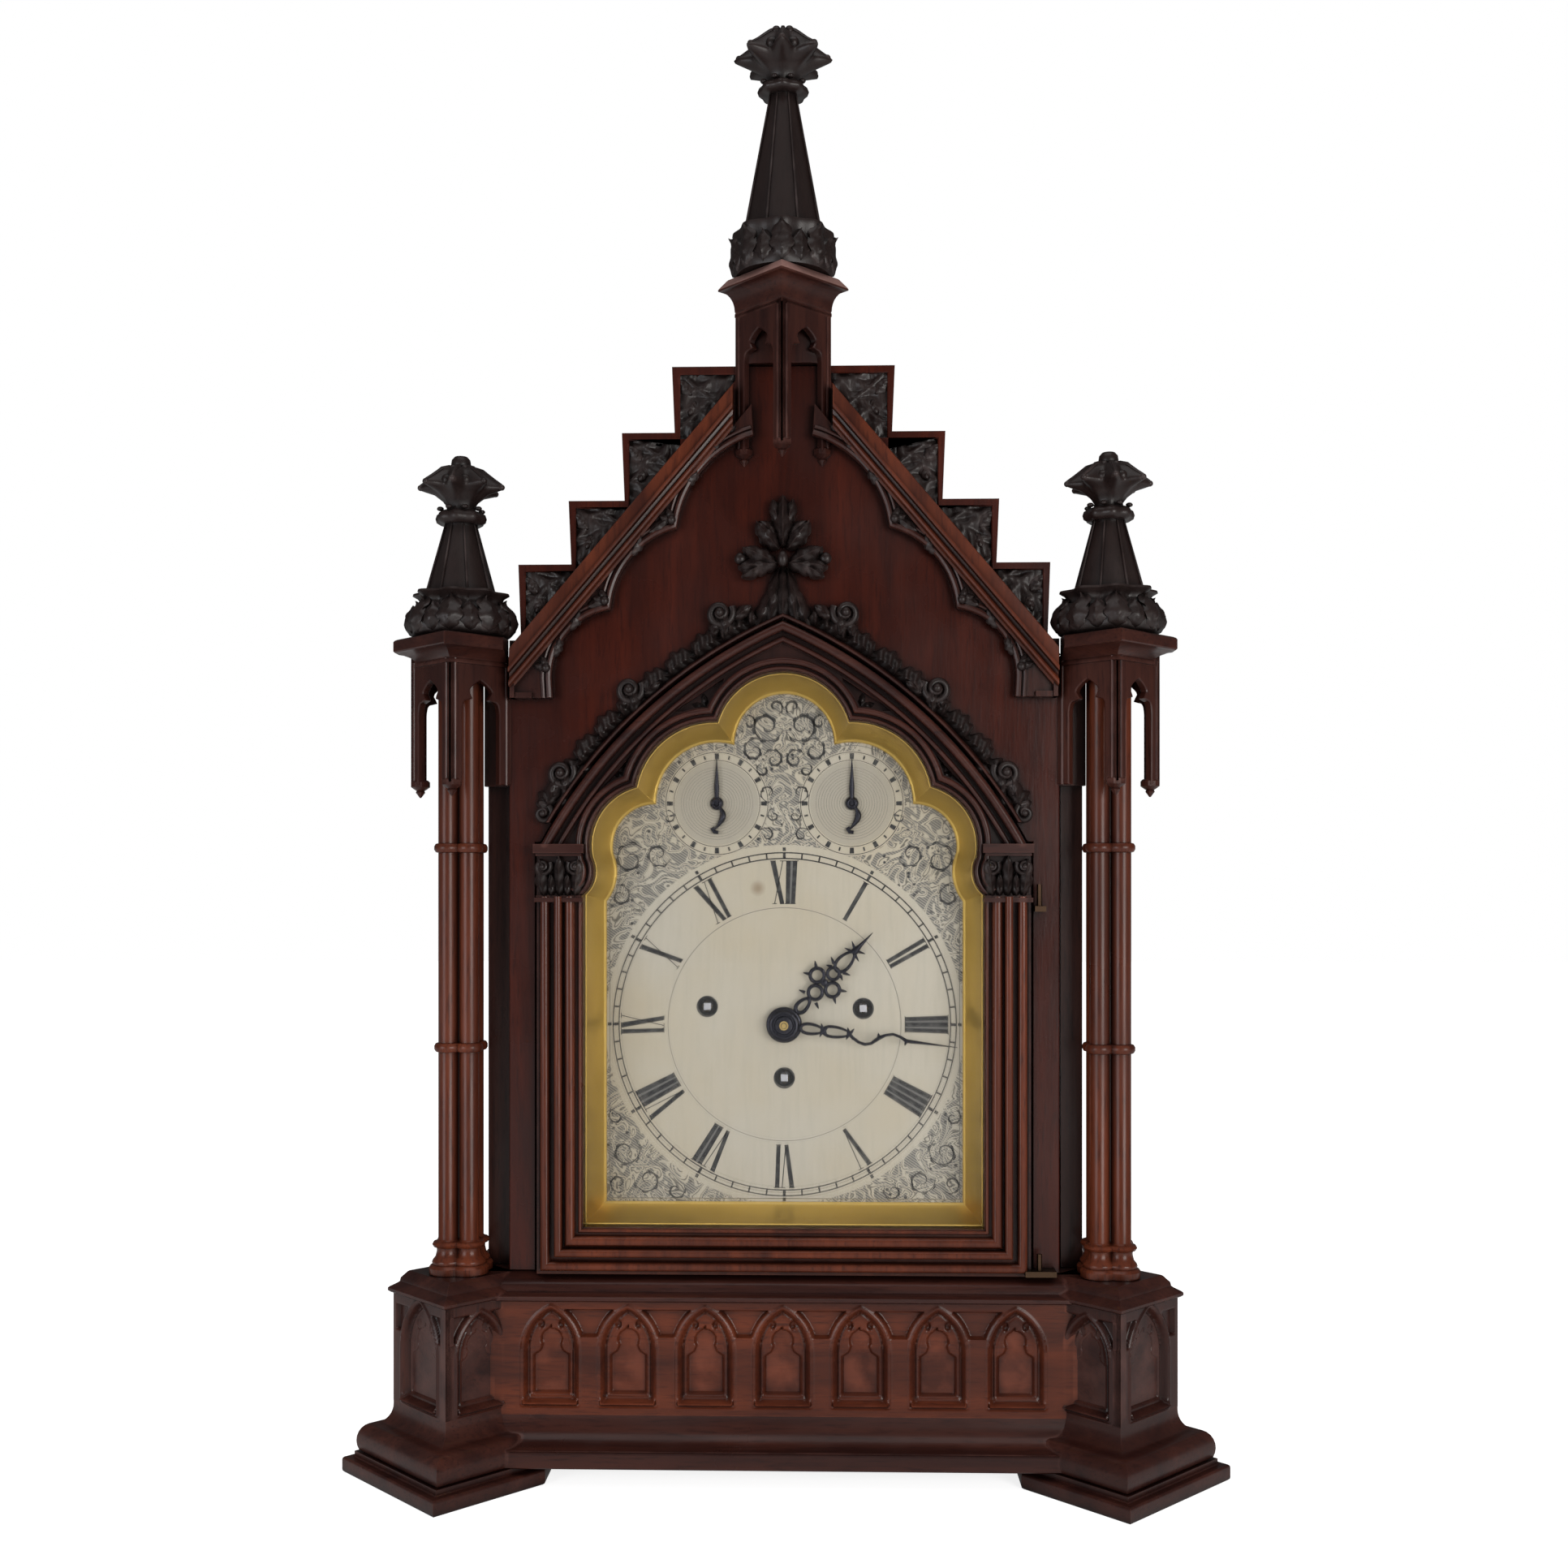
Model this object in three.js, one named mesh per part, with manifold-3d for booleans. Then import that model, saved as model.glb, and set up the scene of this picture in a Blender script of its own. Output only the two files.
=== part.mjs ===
// A Gothic-revival bracket clock: mahogany case with corner columns, spired pinnacles and a
// crow-stepped gable, a hinged glazed door, and a three-train fusee movement behind the dial.
//
// Millimetres, +Z up, the dial faces -Y.  While the pieces are made, y = 0 is the plane through
// the column centres; the finished group is shifted so that the clock stands centred on its base.
import * as THREE from 'three';
import { mergeVertices } from 'three/addons/utils/BufferGeometryUtils.js';
import Module from 'manifold-3d';

const wasm = await Module();
wasm.setup();

// ------------------------------------------------------------------ driving sizes
const seam = 0.3;                // glue line or running gap between pieces that touch
const beyond = 60;               // how far a cutter runs past what it cuts

// half widths grow outwards from the dial, each by a margin beyond the one inside it
const dialHalfWidth = 101.5;
const doorMargin = 35.5;                           // stile of the door
const doorHalfWidth = dialHalfWidth + doorMargin;
const faceHalfWidth = doorHalfWidth + 16;          // front board
const carcassHalfWidth = faceHalfWidth + 15;       // case sides, outer face
const columnX = faceHalfWidth + 27;                // column centres, each side of the middle
const plinthHalfWidth = columnX + 2;

// depths, behind the column centres
const caseDepth = 193;
const boardThickness = 16;       // front board
const sideThickness = 12;
const backThickness = 14;

// heights rise from the floor, each by a rise above the one below it
const footPlateTop = 8.5;
const plinthBottom = footPlateTop + 3.5;
const friezeBottom = plinthBottom + 25;
const friezeTop = friezeBottom + 62.5;
const plinthLipTop = friezeTop + 3.5;
const caseBottom = plinthLipTop + 10;              // top of the plinth, where the case stands
const doorBottom = caseBottom + 1.2;
const dialBottom = doorBottom + doorMargin - 1.9;
const centreZ = dialBottom + 101.1;                // centre of the hands
const doorSpring = centreZ + 102.1;
const slabBottom = doorSpring + 107;               // slabs over the canopies
const slabTop = slabBottom + 7;
const stepTops = [42.3, 77.7, 115.4, 152.1].map((rise) => slabTop + rise);
const gableTop = stepTops.at(-1);

// plinth
const friezeProud = 13;          // frieze face, ahead of the column centres
const baseMouldingProud = 15;
const plinthLipProud = 4;
const plinthFloor = 13;
const archCount = 7;
const archWidth = 30;
const archPitch = archWidth + 12.6;
const archFoot = friezeBottom + 6;
const archSpring = friezeTop - 27.5;
const archRadius = 26.7;
const archSink = 4;
const traceryBorder = 5.5;
const traceryFoot = archFoot + 5;
const tracerySpring = archSpring - 2;
const tracerySink = 2;
const vSinkWidth = 9;
const vSinkHeight = 12;
const vSinkTop = friezeTop - 4.5;

// pedestals, square and set at 45 degrees: sizes are half diagonals
const pedestalDie = 38;
const pedestalLip = pedestalDie + 3.3;
const pedestalTop = pedestalDie - 9;
const pedestalTorusRadius = 10;
const pedestalCoveRadius = 11;
const pedestalTorusZ = plinthBottom + 5.7;
const pedestalLipBottom = friezeTop + 1.2;
const pedestalLipTop = pedestalLipBottom + 3.3;
const outerArchWidth = 37;

// front feet
const footReach = 67;            // front corner, ahead of the column centres
const footInnerX = columnX - 50;
const footBackReach = 51;
const footFilletInset = 7;
const footBevel = 1.5;
const rearFootDepth = 50;

// columns
const shaftLobe = 5.2;
const shaftLobeOffset = 1.2 * shaftLobe;
const columnBaseRadius = 16.7;
const columnBaseTop = caseBottom + 19;
const annuletRadius = 13.2;
const annuletHalfHeight = 2.6;
const annuletHeights = [centreZ - 10.5, doorSpring - 2.1];

// canopies over the columns, square at 45 degrees
const canopyHalfDiagonal = 28.5;
const canopyWall = 6.5;
const canopySpring = slabBottom - 26;
const pendantBottom = slabBottom - 81;
const pendantWidth = 8;
const pendantDrop = 7;
const hoodCrown = 4;             // solid top of a pierced hood
const slabHalfDiagonal = 41.9;
const slabCornerCut = 5;

// side pinnacles
const sideCrocketTop = slabTop + 26;
const sideCrocketRadius = 29.5;
const sideSpireRadius = 19;
const sideSpireTop = sideCrocketTop + 38;
const sideSpireTip = 9;
const sideCollarRadius = 14;
const sideCollarTop = sideSpireTop + 8;
const sideFinialRadius = 24.4;
const sideFinialNeck = 12;       // collar to the widest leaves
const sideFinialCap = 18.7;      // widest leaves to the top

// gable
const stepHalfWidths = [5, 33.2, 63, 91].map((inset) => faceHalfWidth - inset);
const stepUndercut = 1.5;
const rakeFootX = faceHalfWidth - 2;
const rakeFootZ = slabTop - 5.5;
const rakeHeadX = 27;
const rakeHeadZ = gableTop - 12.4;
const rakeBoardProud = 10;
const rakeReeds = [[0, 5, 15], [6, 10, 12.5], [11, 15.5, 14]];
const gableCusps = [[92, 61], [55, 16.2], [22.2, -21.5]]
  .map(([inset, rise]) => [rakeFootX - inset, slabTop + rise]);
const gableLobeRise = 9.5;
const gableTopLobeRadius = gableCusps[0][0] + 0.3;
const gableFootWidth = 12;
const gableFootZ = slabTop - 33;
const stepPanelInset = 4;
const stepPanelSink = 2.5;

// tower and its spire
const towerHalfDiagonal = 27;
const towerWall = 5.5;
const towerPendantBottom = gableTop - 56.1;
const towerPendantWidth = 7.5;
const towerSpring = gableTop + 2.9;
const towerTop = gableTop + 28.9;
const corniceHalfDiagonal = towerHalfDiagonal + 9;
const corniceLipBottom = towerTop + 14;
const corniceTop = corniceLipBottom + 5;
const towerCrocketTop = corniceTop + 25;
const towerCrocketRadius = 28;
const towerSpireRadius = 22.9;
const towerSpireTip = 8;
const towerSpireTop = towerCrocketTop + 76;
const towerCollarRadius = 14;
const towerCollarTop = towerSpireTop + 6;
const towerFinialRadius = 27.5;
const towerFinialNeck = 14.6;
const towerFinialCap = 18;

// door
const doorGap = 1.2;
const hoodRadius = 280;
const hoodShoulder = 2.6;        // where the hood springs, inside the door's side
const hoodRise = 123.6;
const [hoodCentreX, hoodCentreZ] = arcCentre(
  [doorHalfWidth - hoodShoulder, doorSpring], [0, doorSpring + hoodRise], hoodRadius);
const doorFace = -4;
const doorBack = 6;
const doorOpeningOffset = 9.5;   // door opening, outside the visible dial
const glassThickness = 2.5;
const glassRebate = 4;
const glassFront = doorBack - 4.2;
const jambReeds = [[11.5, 17, 9], [18.5, 23, 11], [doorMargin - 6.5, doorMargin - 2.5, 10]];
const reedBevel = 1.2;
const capitalTop = doorSpring;
const capitalBottom = capitalTop - 32;
const capitalInset = 8.5;
const hoodReeds = [[0, 4, 12], [5.5, 9.5, 9.5]];
const hingeX = doorHalfWidth + 4;
const hingeY = -7;
const hingeLugRadius = 4.5;
const hingeLugHeight = 11;
const hingePinRadius = 1.5;
const hingePlate = 3;
const keyholeX = 12 - doorHalfWidth;
const keyholeZ = centreZ + 42;
const lockLeft = 3 - doorHalfWidth;
const lockRight = -(dialHalfWidth + doorOpeningOffset + glassRebate + 2.5);
const lockHalfHeight = 20;
const lockFront = doorBack - 3.6;
const boltHeight = 6;            // half height of the bolt's slot
const boltThrow = 4;
// sunk triangles in the tracery of the door head, right-hand side: x, height above the spring
const traceryTriangles = [
  [[36.5, 72.5], [57, 76.5], [33, 90]],
  [[84, 35], [97, 34], [80, 53]],
];

// hood mould: label, crockets and poppyhead, fixed to the front board
const hoodMouldFoot = 12;
const labelWidth = 7;
const labelProud = 9;
const crocketCount = 6;
const crocketStandOff = 9;
const crocketLeaf = 8;
const crocketBallStandOff = 12;
const crocketBallRises = [1.036, 0.696, 0.324];    // shares of the hood's rise
const crocketBall = 5.5;
const fleuronTop = doorSpring + hoodRise + 66.4;

// visible dial: circles of the cusped head, centre x, centre z, radius
const topFoil = [0, centreZ + 159.8, 28.5];
const upperFoil = [38.5, centreZ + 126, 34.8];
const lowerFoil = [dialHalfWidth - 27.5, centreZ + 101.5, 24];
const neckFoil = [dialHalfWidth + 21.1, centreZ + 87.1, 27.1];
const slipSplay = 10;
const slipLip = 3;
const slipFront = doorBack + 1.5;
const surroundFront = slipFront;
const surroundBack = surroundFront + 16.5;
const dialFace = surroundBack + seam;
const dialThickness = 2;
const dialOverlap = 5;

// going parts
const [subDialX, subDialZ] = upperFoil;
const windingHoleRadius = 5;
const strikeArbor = [-44, centreZ + 10.1];
const chimeArbor = [45, centreZ + 9.1];
const timeArborDrop = 30.6;
const timeArbor = [0, centreZ - timeArborDrop];
const hourAngle = 43.8;          // clockwise from twelve
const minuteAngle = 97.1;
const hourLength = 72.7;
const minuteLength = dialHalfWidth - 2.8;
const handThickness = 1.2;
const pointerY = dialFace - 2.8;
const hourHandY = dialFace - 5.3;
const minuteHandY = dialFace - 9.3;
const pointerLength = 26;
const pointerTail = 17;
const arborRadius = 1.5;
const hourPipeRadius = 4;
const cannonPipeRadius = 2.6;
const hourWheelY = dialFace + 4.7;
const cannonWheelY = hourWheelY + 5;
const motionWheelThickness = 1.5;
const dialFootRadius = 2.5;
const dialFootX = dialHalfWidth - 29.5;
const dialFootHeights = [dialBottom + 30.2, doorSpring - 33];

// movement
const trainModule = 0.9;
const centreTeeth = 36;
const thirdPinionTeeth = 6;
const thirdTeeth = 30;
const escapePinionTeeth = 6;
const thirdZ = centreZ + trainModule * (centreTeeth + thirdPinionTeeth) / 2;
const escapeZ = thirdZ + trainModule * (thirdTeeth + escapePinionTeeth) / 2;
const pendulumPivotZ = escapeZ + 16;
const frontPlateY = cannonWheelY + 4;
const backPlateY = frontPlateY + 70;
const plateThickness = 3;
const plateHalfWidth = 88;
const barrelRadius = 23;
const fuseeLarge = 17.5;
const timeBarrelDrop = timeArborDrop + fuseeLarge + barrelRadius + 4.8;
const plateBottom = centreZ - timeBarrelDrop - barrelRadius - 1.5;
const plateTop = pendulumPivotZ + 35;
const pillarRadius = 4;
const seatTop = plateBottom - seam;
const seatThickness = 12;
const seatLeg = 18;
const greatWheelY = backPlateY - 15;
const barrelFront = frontPlateY + 12;
const barrelBack = greatWheelY - 1.5;
const barrelCentres = {
  strike: [-62, centreZ - 52.9],
  time: [0, centreZ - timeBarrelDrop],
  chime: [62, centreZ - 52.9],
};
const fuseeSmall = 8;
const fuseeFront = frontPlateY + 16;
const fuseeBack = backPlateY - 18;
const wheelThickness = 2.5;
const windingArborRadius = 2.6;
const greatTeeth = 36;
const centrePinionTeeth = 6;
const escapeTeeth = 20;
const escapeRadius = 10.5;
const cannonTeeth = 8;
const minuteWheelTeeth = 24;
const minutePinionTeeth = 7;
const hourWheelTeeth = 28;
const motionDistance = 18;
const sideGreatTeeth = 20;
const sideGreatPitch = 25;
const hammerPivot = [60, plateTop - 13];
const hammerHead = 5;
const hammerRest = 2.5;
const pendulumY = backPlateY + 16;
const chopsBottom = pendulumPivotZ + 3.5;          // the spring is held just above its bending point
const chopsHeight = 22;
const cockHalfWidth = 9;
const crutchLength = 45;
const bobRadius = 27;
const bobZ = pendulumPivotZ - 188;
const bellRadius = 36;
const bellZ = plateTop + 37;

// back
const backOpeningHalfWidth = carcassHalfWidth - 56;
const backOpeningBottom = caseBottom + 21;
const backOpeningTop = slabBottom - 28;
const rearDoorThickness = 8;
const rearDoorGap = 1;
const rearKnobX = backOpeningHalfWidth - 13;
const rearKnobZ = (backOpeningBottom + backOpeningTop) / 2;
const rearDoorRail = 26;
const rearGlassRebate = 4;
const rearHingeInset = 18;       // hinge ends, inside the opening's height
const rearHingeLeaf = 9;
const roofThickness = 10;
const ridgeHalfWidth = 20;
const ridgeZ = slabBottom + 142;
const fretHalfWidth = 45;
const fretBottom = caseBottom + 77;
const fretSpring = slabBottom - 128;
const fretRadius = 80;
const fretCentreY = caseDepth - 91;
const fretRows = 3;
const fretColumns = 3;

// ------------------------------------------------------------------ points and outlines
const TURN = Math.PI * 2;

function arc(cx, cy, radius, from, to, steps) {
  return Array.from({ length: steps + 1 }, (_, i) => {
    const angle = from + (to - from) * i / steps;
    return [cx + radius * Math.cos(angle), cy + radius * Math.sin(angle)];
  });
}

function ring(cx, cy, radius, sides) {
  return arc(cx, cy, radius, 0, TURN * (sides - 1) / sides, sides - 1);
}

function rectangle(left, right, low, high) {
  return [[left, low], [right, low], [right, high], [left, high]];
}

function diamond(cx, cy, halfDiagonal) {
  return ring(cx, cy, halfDiagonal, 4);
}

// adds the left half to the right half of an outline that starts low and ends at the top
function mirrored(right) {
  const left = right.filter(([x]) => Math.abs(x) > 1e-6).map(([x, z]) => [-x, z]);
  return [...right, ...left.reverse()];
}

// a pointed arch on straight jambs: two arcs whose centres lie on the springing line
function lancet(cx, halfWidth, foot, spring, radius, steps = 4) {
  const centre = halfWidth - radius;
  const crown = Math.acos(-centre / radius);
  const right = [[halfWidth, foot], ...arc(centre, spring, radius, 0, crown, steps)];
  return mirrored(right).map(([x, z]) => [x + cx, z]);
}

// where two circles meet; of the two points, the one further from the reference point
function circlesMeet([ax, ay, ar], [bx, by, br], [rx, ry]) {
  const distance = Math.hypot(bx - ax, by - ay);
  const along = (distance ** 2 + ar ** 2 - br ** 2) / (2 * distance);
  const across = Math.sqrt(Math.max(ar ** 2 - along ** 2, 0));
  const ux = (bx - ax) / distance;
  const uy = (by - ay) / distance;
  const both = [1, -1].map((s) => [ax + along * ux - s * across * uy, ay + along * uy + s * across * ux]);
  both.sort((p, q) => Math.hypot(q[0] - rx, q[1] - ry) - Math.hypot(p[0] - rx, p[1] - ry));
  return both[0];
}

// centre of the circle of a given radius through two points, on the left of the way from a to b
function arcCentre([ax, ay], [bx, by], radius) {
  const half = Math.hypot(bx - ax, by - ay) / 2;
  const drop = Math.sqrt(radius ** 2 - half ** 2) / (2 * half);
  return [(ax + bx) / 2 - drop * (by - ay), (ay + by) / 2 + drop * (bx - ax)];
}

// the arc of a circle from one point to another, the shorter way round
function arcBetween([cx, cy, radius], start, end, steps) {
  const from = Math.atan2(start[1] - cy, start[0] - cx);
  let to = Math.atan2(end[1] - cy, end[0] - cx);
  if (to - from > Math.PI) to -= TURN;
  if (to - from < -Math.PI) to += TURN;
  return arc(cx, cy, radius, from, to, steps);
}

// outline of the visible dial moved outwards by a distance: cusped head on straight sides
function foils(offset) {
  const grow = ([x, z, r]) => [x, z, r + offset];
  const top = grow(topFoil);
  const upper = grow(upperFoil);
  const lower = grow(lowerFoil);
  const neck = [neckFoil[0], neckFoil[1], neckFoil[2] - offset];
  const middle = [0, lowerFoil[1]];
  const side = dialHalfWidth + offset;
  const neckRise = Math.sqrt(neck[2] ** 2 - (neck[0] - side) ** 2);
  const neckStart = [side, neck[1] - neckRise];
  const neckEnd = circlesMeet(neck, lower, middle);
  const lowerEnd = circlesMeet(lower, upper, middle);
  const upperEnd = circlesMeet(upper, top, middle);
  const crown = [0, top[1] + top[2]];
  return mirrored([
    [side, dialBottom - offset],
    ...arcBetween(neck, neckStart, neckEnd, 2),
    ...arcBetween(lower, neckEnd, lowerEnd, 4).slice(1),
    ...arcBetween(upper, lowerEnd, upperEnd, 5).slice(1),
    ...arcBetween(top, upperEnd, crown, 3).slice(1),
  ]);
}

// the two arcs of the hood, moved outwards by a distance, from a height to the apex
function hoodArc(offset, fromZ, steps = 6) {
  const radius = hoodRadius + offset;
  const from = Math.asin((fromZ - hoodCentreZ) / radius);
  const to = Math.acos(-hoodCentreX / radius);
  return arc(hoodCentreX, hoodCentreZ, radius, from, to, steps);
}

function doorOutline(offset) {
  const side = doorHalfWidth + offset;
  const spring = doorSpring + offset;
  return mirrored([[side, doorBottom - offset], [side, spring], ...hoodArc(offset, spring)]);
}

// toothed wheel: straight-flanked teeth, one point at each tip and one at each root
function toothed(teeth, pitchRadius, phase) {
  const module = 2 * pitchRadius / teeth;
  const half = Math.PI / teeth;
  return Array.from({ length: teeth }, (_, i) => {
    const angle = phase + i * 2 * half;
    const tip = pitchRadius + 0.6 * module;
    const root = pitchRadius - module;
    return [
      [tip * Math.cos(angle), tip * Math.sin(angle)],
      [root * Math.cos(angle + half), root * Math.sin(angle + half)],
    ];
  }).flat();
}

// ------------------------------------------------------------------ solids
// geometry from shared vertices, turned inside out if its faces point inwards
function closedGeometry(vertices, triangles) {
  let volume = 0;
  const corner = new THREE.Vector3();
  const across = new THREE.Vector3();
  const up = new THREE.Vector3();
  for (const [a, b, c] of triangles) {
    corner.fromArray(vertices, 3 * a);
    across.fromArray(vertices, 3 * b);
    up.fromArray(vertices, 3 * c);
    volume += corner.dot(across.cross(up));
  }
  const index = volume < 0 ? triangles.map(([a, b, c]) => [a, c, b]) : triangles;
  const geometry = new THREE.BufferGeometry();
  geometry.setAttribute('position', new THREE.Float32BufferAttribute(vertices, 3));
  geometry.setIndex(index.flat());
  return geometry;
}

// a three.js geometry as a solid for joining and cutting
function solid(shape) {
  if (shape instanceof wasm.Manifold) return shape;
  const bare = new THREE.BufferGeometry();
  bare.setAttribute('position', shape.getAttribute('position').clone());
  if (shape.index) bare.setIndex(shape.index.clone());
  const merged = mergeVertices(bare, 1e-4);
  const index = merged.index.array;
  const triangles = [];
  for (let i = 0; i < index.length; i += 3) {
    const [a, b, c] = index.slice(i, i + 3);
    if (a !== b && b !== c && a !== c) triangles.push([a, b, c]);
  }
  const closed = closedGeometry(Array.from(merged.getAttribute('position').array), triangles);
  return new wasm.Manifold(new wasm.Mesh({
    numProp: 3,
    vertProperties: new Float32Array(closed.getAttribute('position').array),
    triVerts: new Uint32Array(closed.index.array),
  }));
}

function fuse(...shapes) {
  return shapes.flat().map(solid).reduce((whole, next) => whole.add(next));
}

function carve(body, ...cutters) {
  return cutters.flat().map(solid).reduce((rest, cutter) => rest.subtract(cutter), solid(body));
}

function toShape(outline, holes = []) {
  const shape = new THREE.Shape(outline.map(([x, y]) => new THREE.Vector2(x, y)));
  shape.holes = holes.map((hole) => new THREE.Path(hole.map(([x, y]) => new THREE.Vector2(x, y))));
  return shape;
}

// a plan outline raised from one height to another
function post(plan, low, high, bevel = 0) {
  const geometry = new THREE.ExtrudeGeometry(toShape(plan), {
    depth: high - low - 2 * bevel,
    bevelEnabled: bevel > 0,
    bevelThickness: bevel,
    bevelSize: bevel,
    bevelOffset: -bevel,
    bevelSegments: 1,
  });
  return geometry.translate(0, 0, low + bevel);
}

// a front-view outline (x, z) given thickness from a front plane to a back plane
function board(outline, front, back, holes = [], bevel = 0) {
  const geometry = new THREE.ExtrudeGeometry(toShape(outline, holes), {
    depth: back - front - 2 * bevel,
    bevelEnabled: bevel > 0,
    bevelThickness: bevel,
    bevelSize: bevel,
    bevelOffset: -bevel,
    bevelSegments: 1,
  });
  return geometry.rotateX(Math.PI / 2).translate(0, back - bevel, 0);
}

// a profile of radius and height turned about an upright axis
function turned(profile, sides, cx = 0, cy = 0) {
  const points = profile.map(([r, z]) => new THREE.Vector2(r, z));
  return new THREE.LatheGeometry(points, sides).rotateX(Math.PI / 2).translate(cx, cy, 0);
}

// a profile of radius and depth turned about an axis that runs front to back
function turnedAlongY(profile, sides, cx, cz) {
  const points = profile.map(([r, y]) => new THREE.Vector2(r, y));
  return new THREE.LatheGeometry(points, sides).translate(cx, 0, cz);
}

function rodAlongY(cx, cz, radius, front, back, sides = 6) {
  return turnedAlongY([[0, front], [radius, front], [radius, back], [0, back]], sides, cx, cz);
}

// rings with equal numbers of points, joined side by side and capped at both ends
function loft(rings) {
  const count = rings[0].length;
  const vertices = rings.flat(2);
  const triangles = [];
  for (let r = 0; r + 1 < rings.length; r++) {
    for (let i = 0; i < count; i++) {
      const a = r * count + i;
      const b = r * count + (i + 1) % count;
      triangles.push([a, b, b + count], [a, b + count, a + count]);
    }
  }
  const last = (rings.length - 1) * count;
  const flat = rings[0].map(([x, y, z]) => new THREE.Vector2(x, rings[0][0][2] === rings[0][1][2] ? y : z));
  for (const [a, b, c] of THREE.ShapeUtils.triangulateShape(flat, [])) {
    triangles.push([c, b, a], [last + a, last + b, last + c]);
  }
  return closedGeometry(vertices, triangles);
}

// a moulding that runs round the front and both sides of a box and stops at its flat back:
// the profile gives how far it stands proud at each height
function wrapped(halfWidth, front, back, profile) {
  return loft(profile.map(([proud, z]) => (
    rectangle(-halfWidth - proud, halfWidth + proud, front - proud, back).map(([x, y]) => [x, y, z])
  )));
}

// moves a piece made round the middle so that its front faces the given direction, seen in plan
function faced(geometry, turn, x, y) {
  return geometry.rotateZ(turn).translate(x, y, 0);
}

function mirrorX(shape) {
  return solid(shape).mirror([1, 0, 0]);
}

// ------------------------------------------------------------------ base
function makeFoot() {
  const plan = (inset) => {
    const reach = footReach - inset;
    const back = footBackReach - inset;
    const inner = footInnerX + inset;
    return [
      [columnX, -reach], [columnX + reach, 0], [columnX + reach - back, back],
      [inner, back], [inner, columnX - inner - reach],
    ];
  };
  return fuse(
    post(plan(0), 0, footPlateTop, footBevel),
    post(plan(footFilletInset), footPlateTop - 1, plinthBottom - seam),
  );
}

// a rail across the back, as high as the front feet
function makeRearFoot() {
  const step = 4;
  const width = plinthHalfWidth + baseMouldingProud - step;
  const plan = (inset) => (
    rectangle(inset - width, width - inset, caseDepth - rearFootDepth + inset, caseDepth - inset)
  );
  return fuse(
    post(plan(0), 0, footPlateTop, footBevel),
    post(plan(step), footPlateTop - 1, plinthBottom + 1),
  );
}

// the outer sunk lancet and, deeper inside it, the opening of its tracery with cusped shoulders
function lancetSinks(cx, width, front) {
  const half = width / 2;
  const innerHalf = half - traceryBorder;
  const spring = tracerySpring;
  const inner = mirrored([
    [innerHalf, traceryFoot], [innerHalf, spring - 4], [innerHalf * 0.72, spring - 1],
    ...arc(0, spring + 5, innerHalf * 0.62, -0.4, Math.PI / 2, 2),
  ]).map(([x, z]) => [x + cx, z]);
  return [
    board(lancet(cx, half, archFoot, archSpring, archRadius * width / archWidth, 3), front - 1, front + archSink),
    board(inner, front - 1, front + archSink + tracerySink),
  ];
}

function makePlinth() {
  const cove = arc(baseMouldingProud, friezeBottom, baseMouldingProud, -Math.PI / 2, -Math.PI, 4);
  const body = wrapped(plinthHalfWidth, -friezeProud, caseDepth, [
    [baseMouldingProud, plinthBottom], ...cove, [0, friezeTop],
    [plinthLipProud, friezeTop + 0.5], [plinthLipProud, plinthLipTop],
    [-2, plinthLipTop + 2], [-6, caseBottom - 2], [-friezeProud + 1, caseBottom],
  ]);
  const well = post(
    rectangle(-carcassHalfWidth + sideThickness, carcassHalfWidth - sideThickness,
      boardThickness, caseDepth - backThickness),
    plinthBottom + plinthFloor, caseBottom + 1,
  );
  const sinks = [];
  for (let i = 0; i < archCount; i++) {
    const x = (i - (archCount - 1) / 2) * archPitch;
    sinks.push(...lancetSinks(x, archWidth, -friezeProud));
    if (i + 1 < archCount) {
      const middle = x + archPitch / 2;
      const half = vSinkWidth / 2;
      const v = [[middle - half, vSinkTop], [middle, vSinkTop - vSinkHeight], [middle + half, vSinkTop]];
      sinks.push(board(v, -friezeProud - 1, -friezeProud + 3));
    }
  }
  return carve(fuse(body, makeRearFoot()), well, sinks);
}

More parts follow.
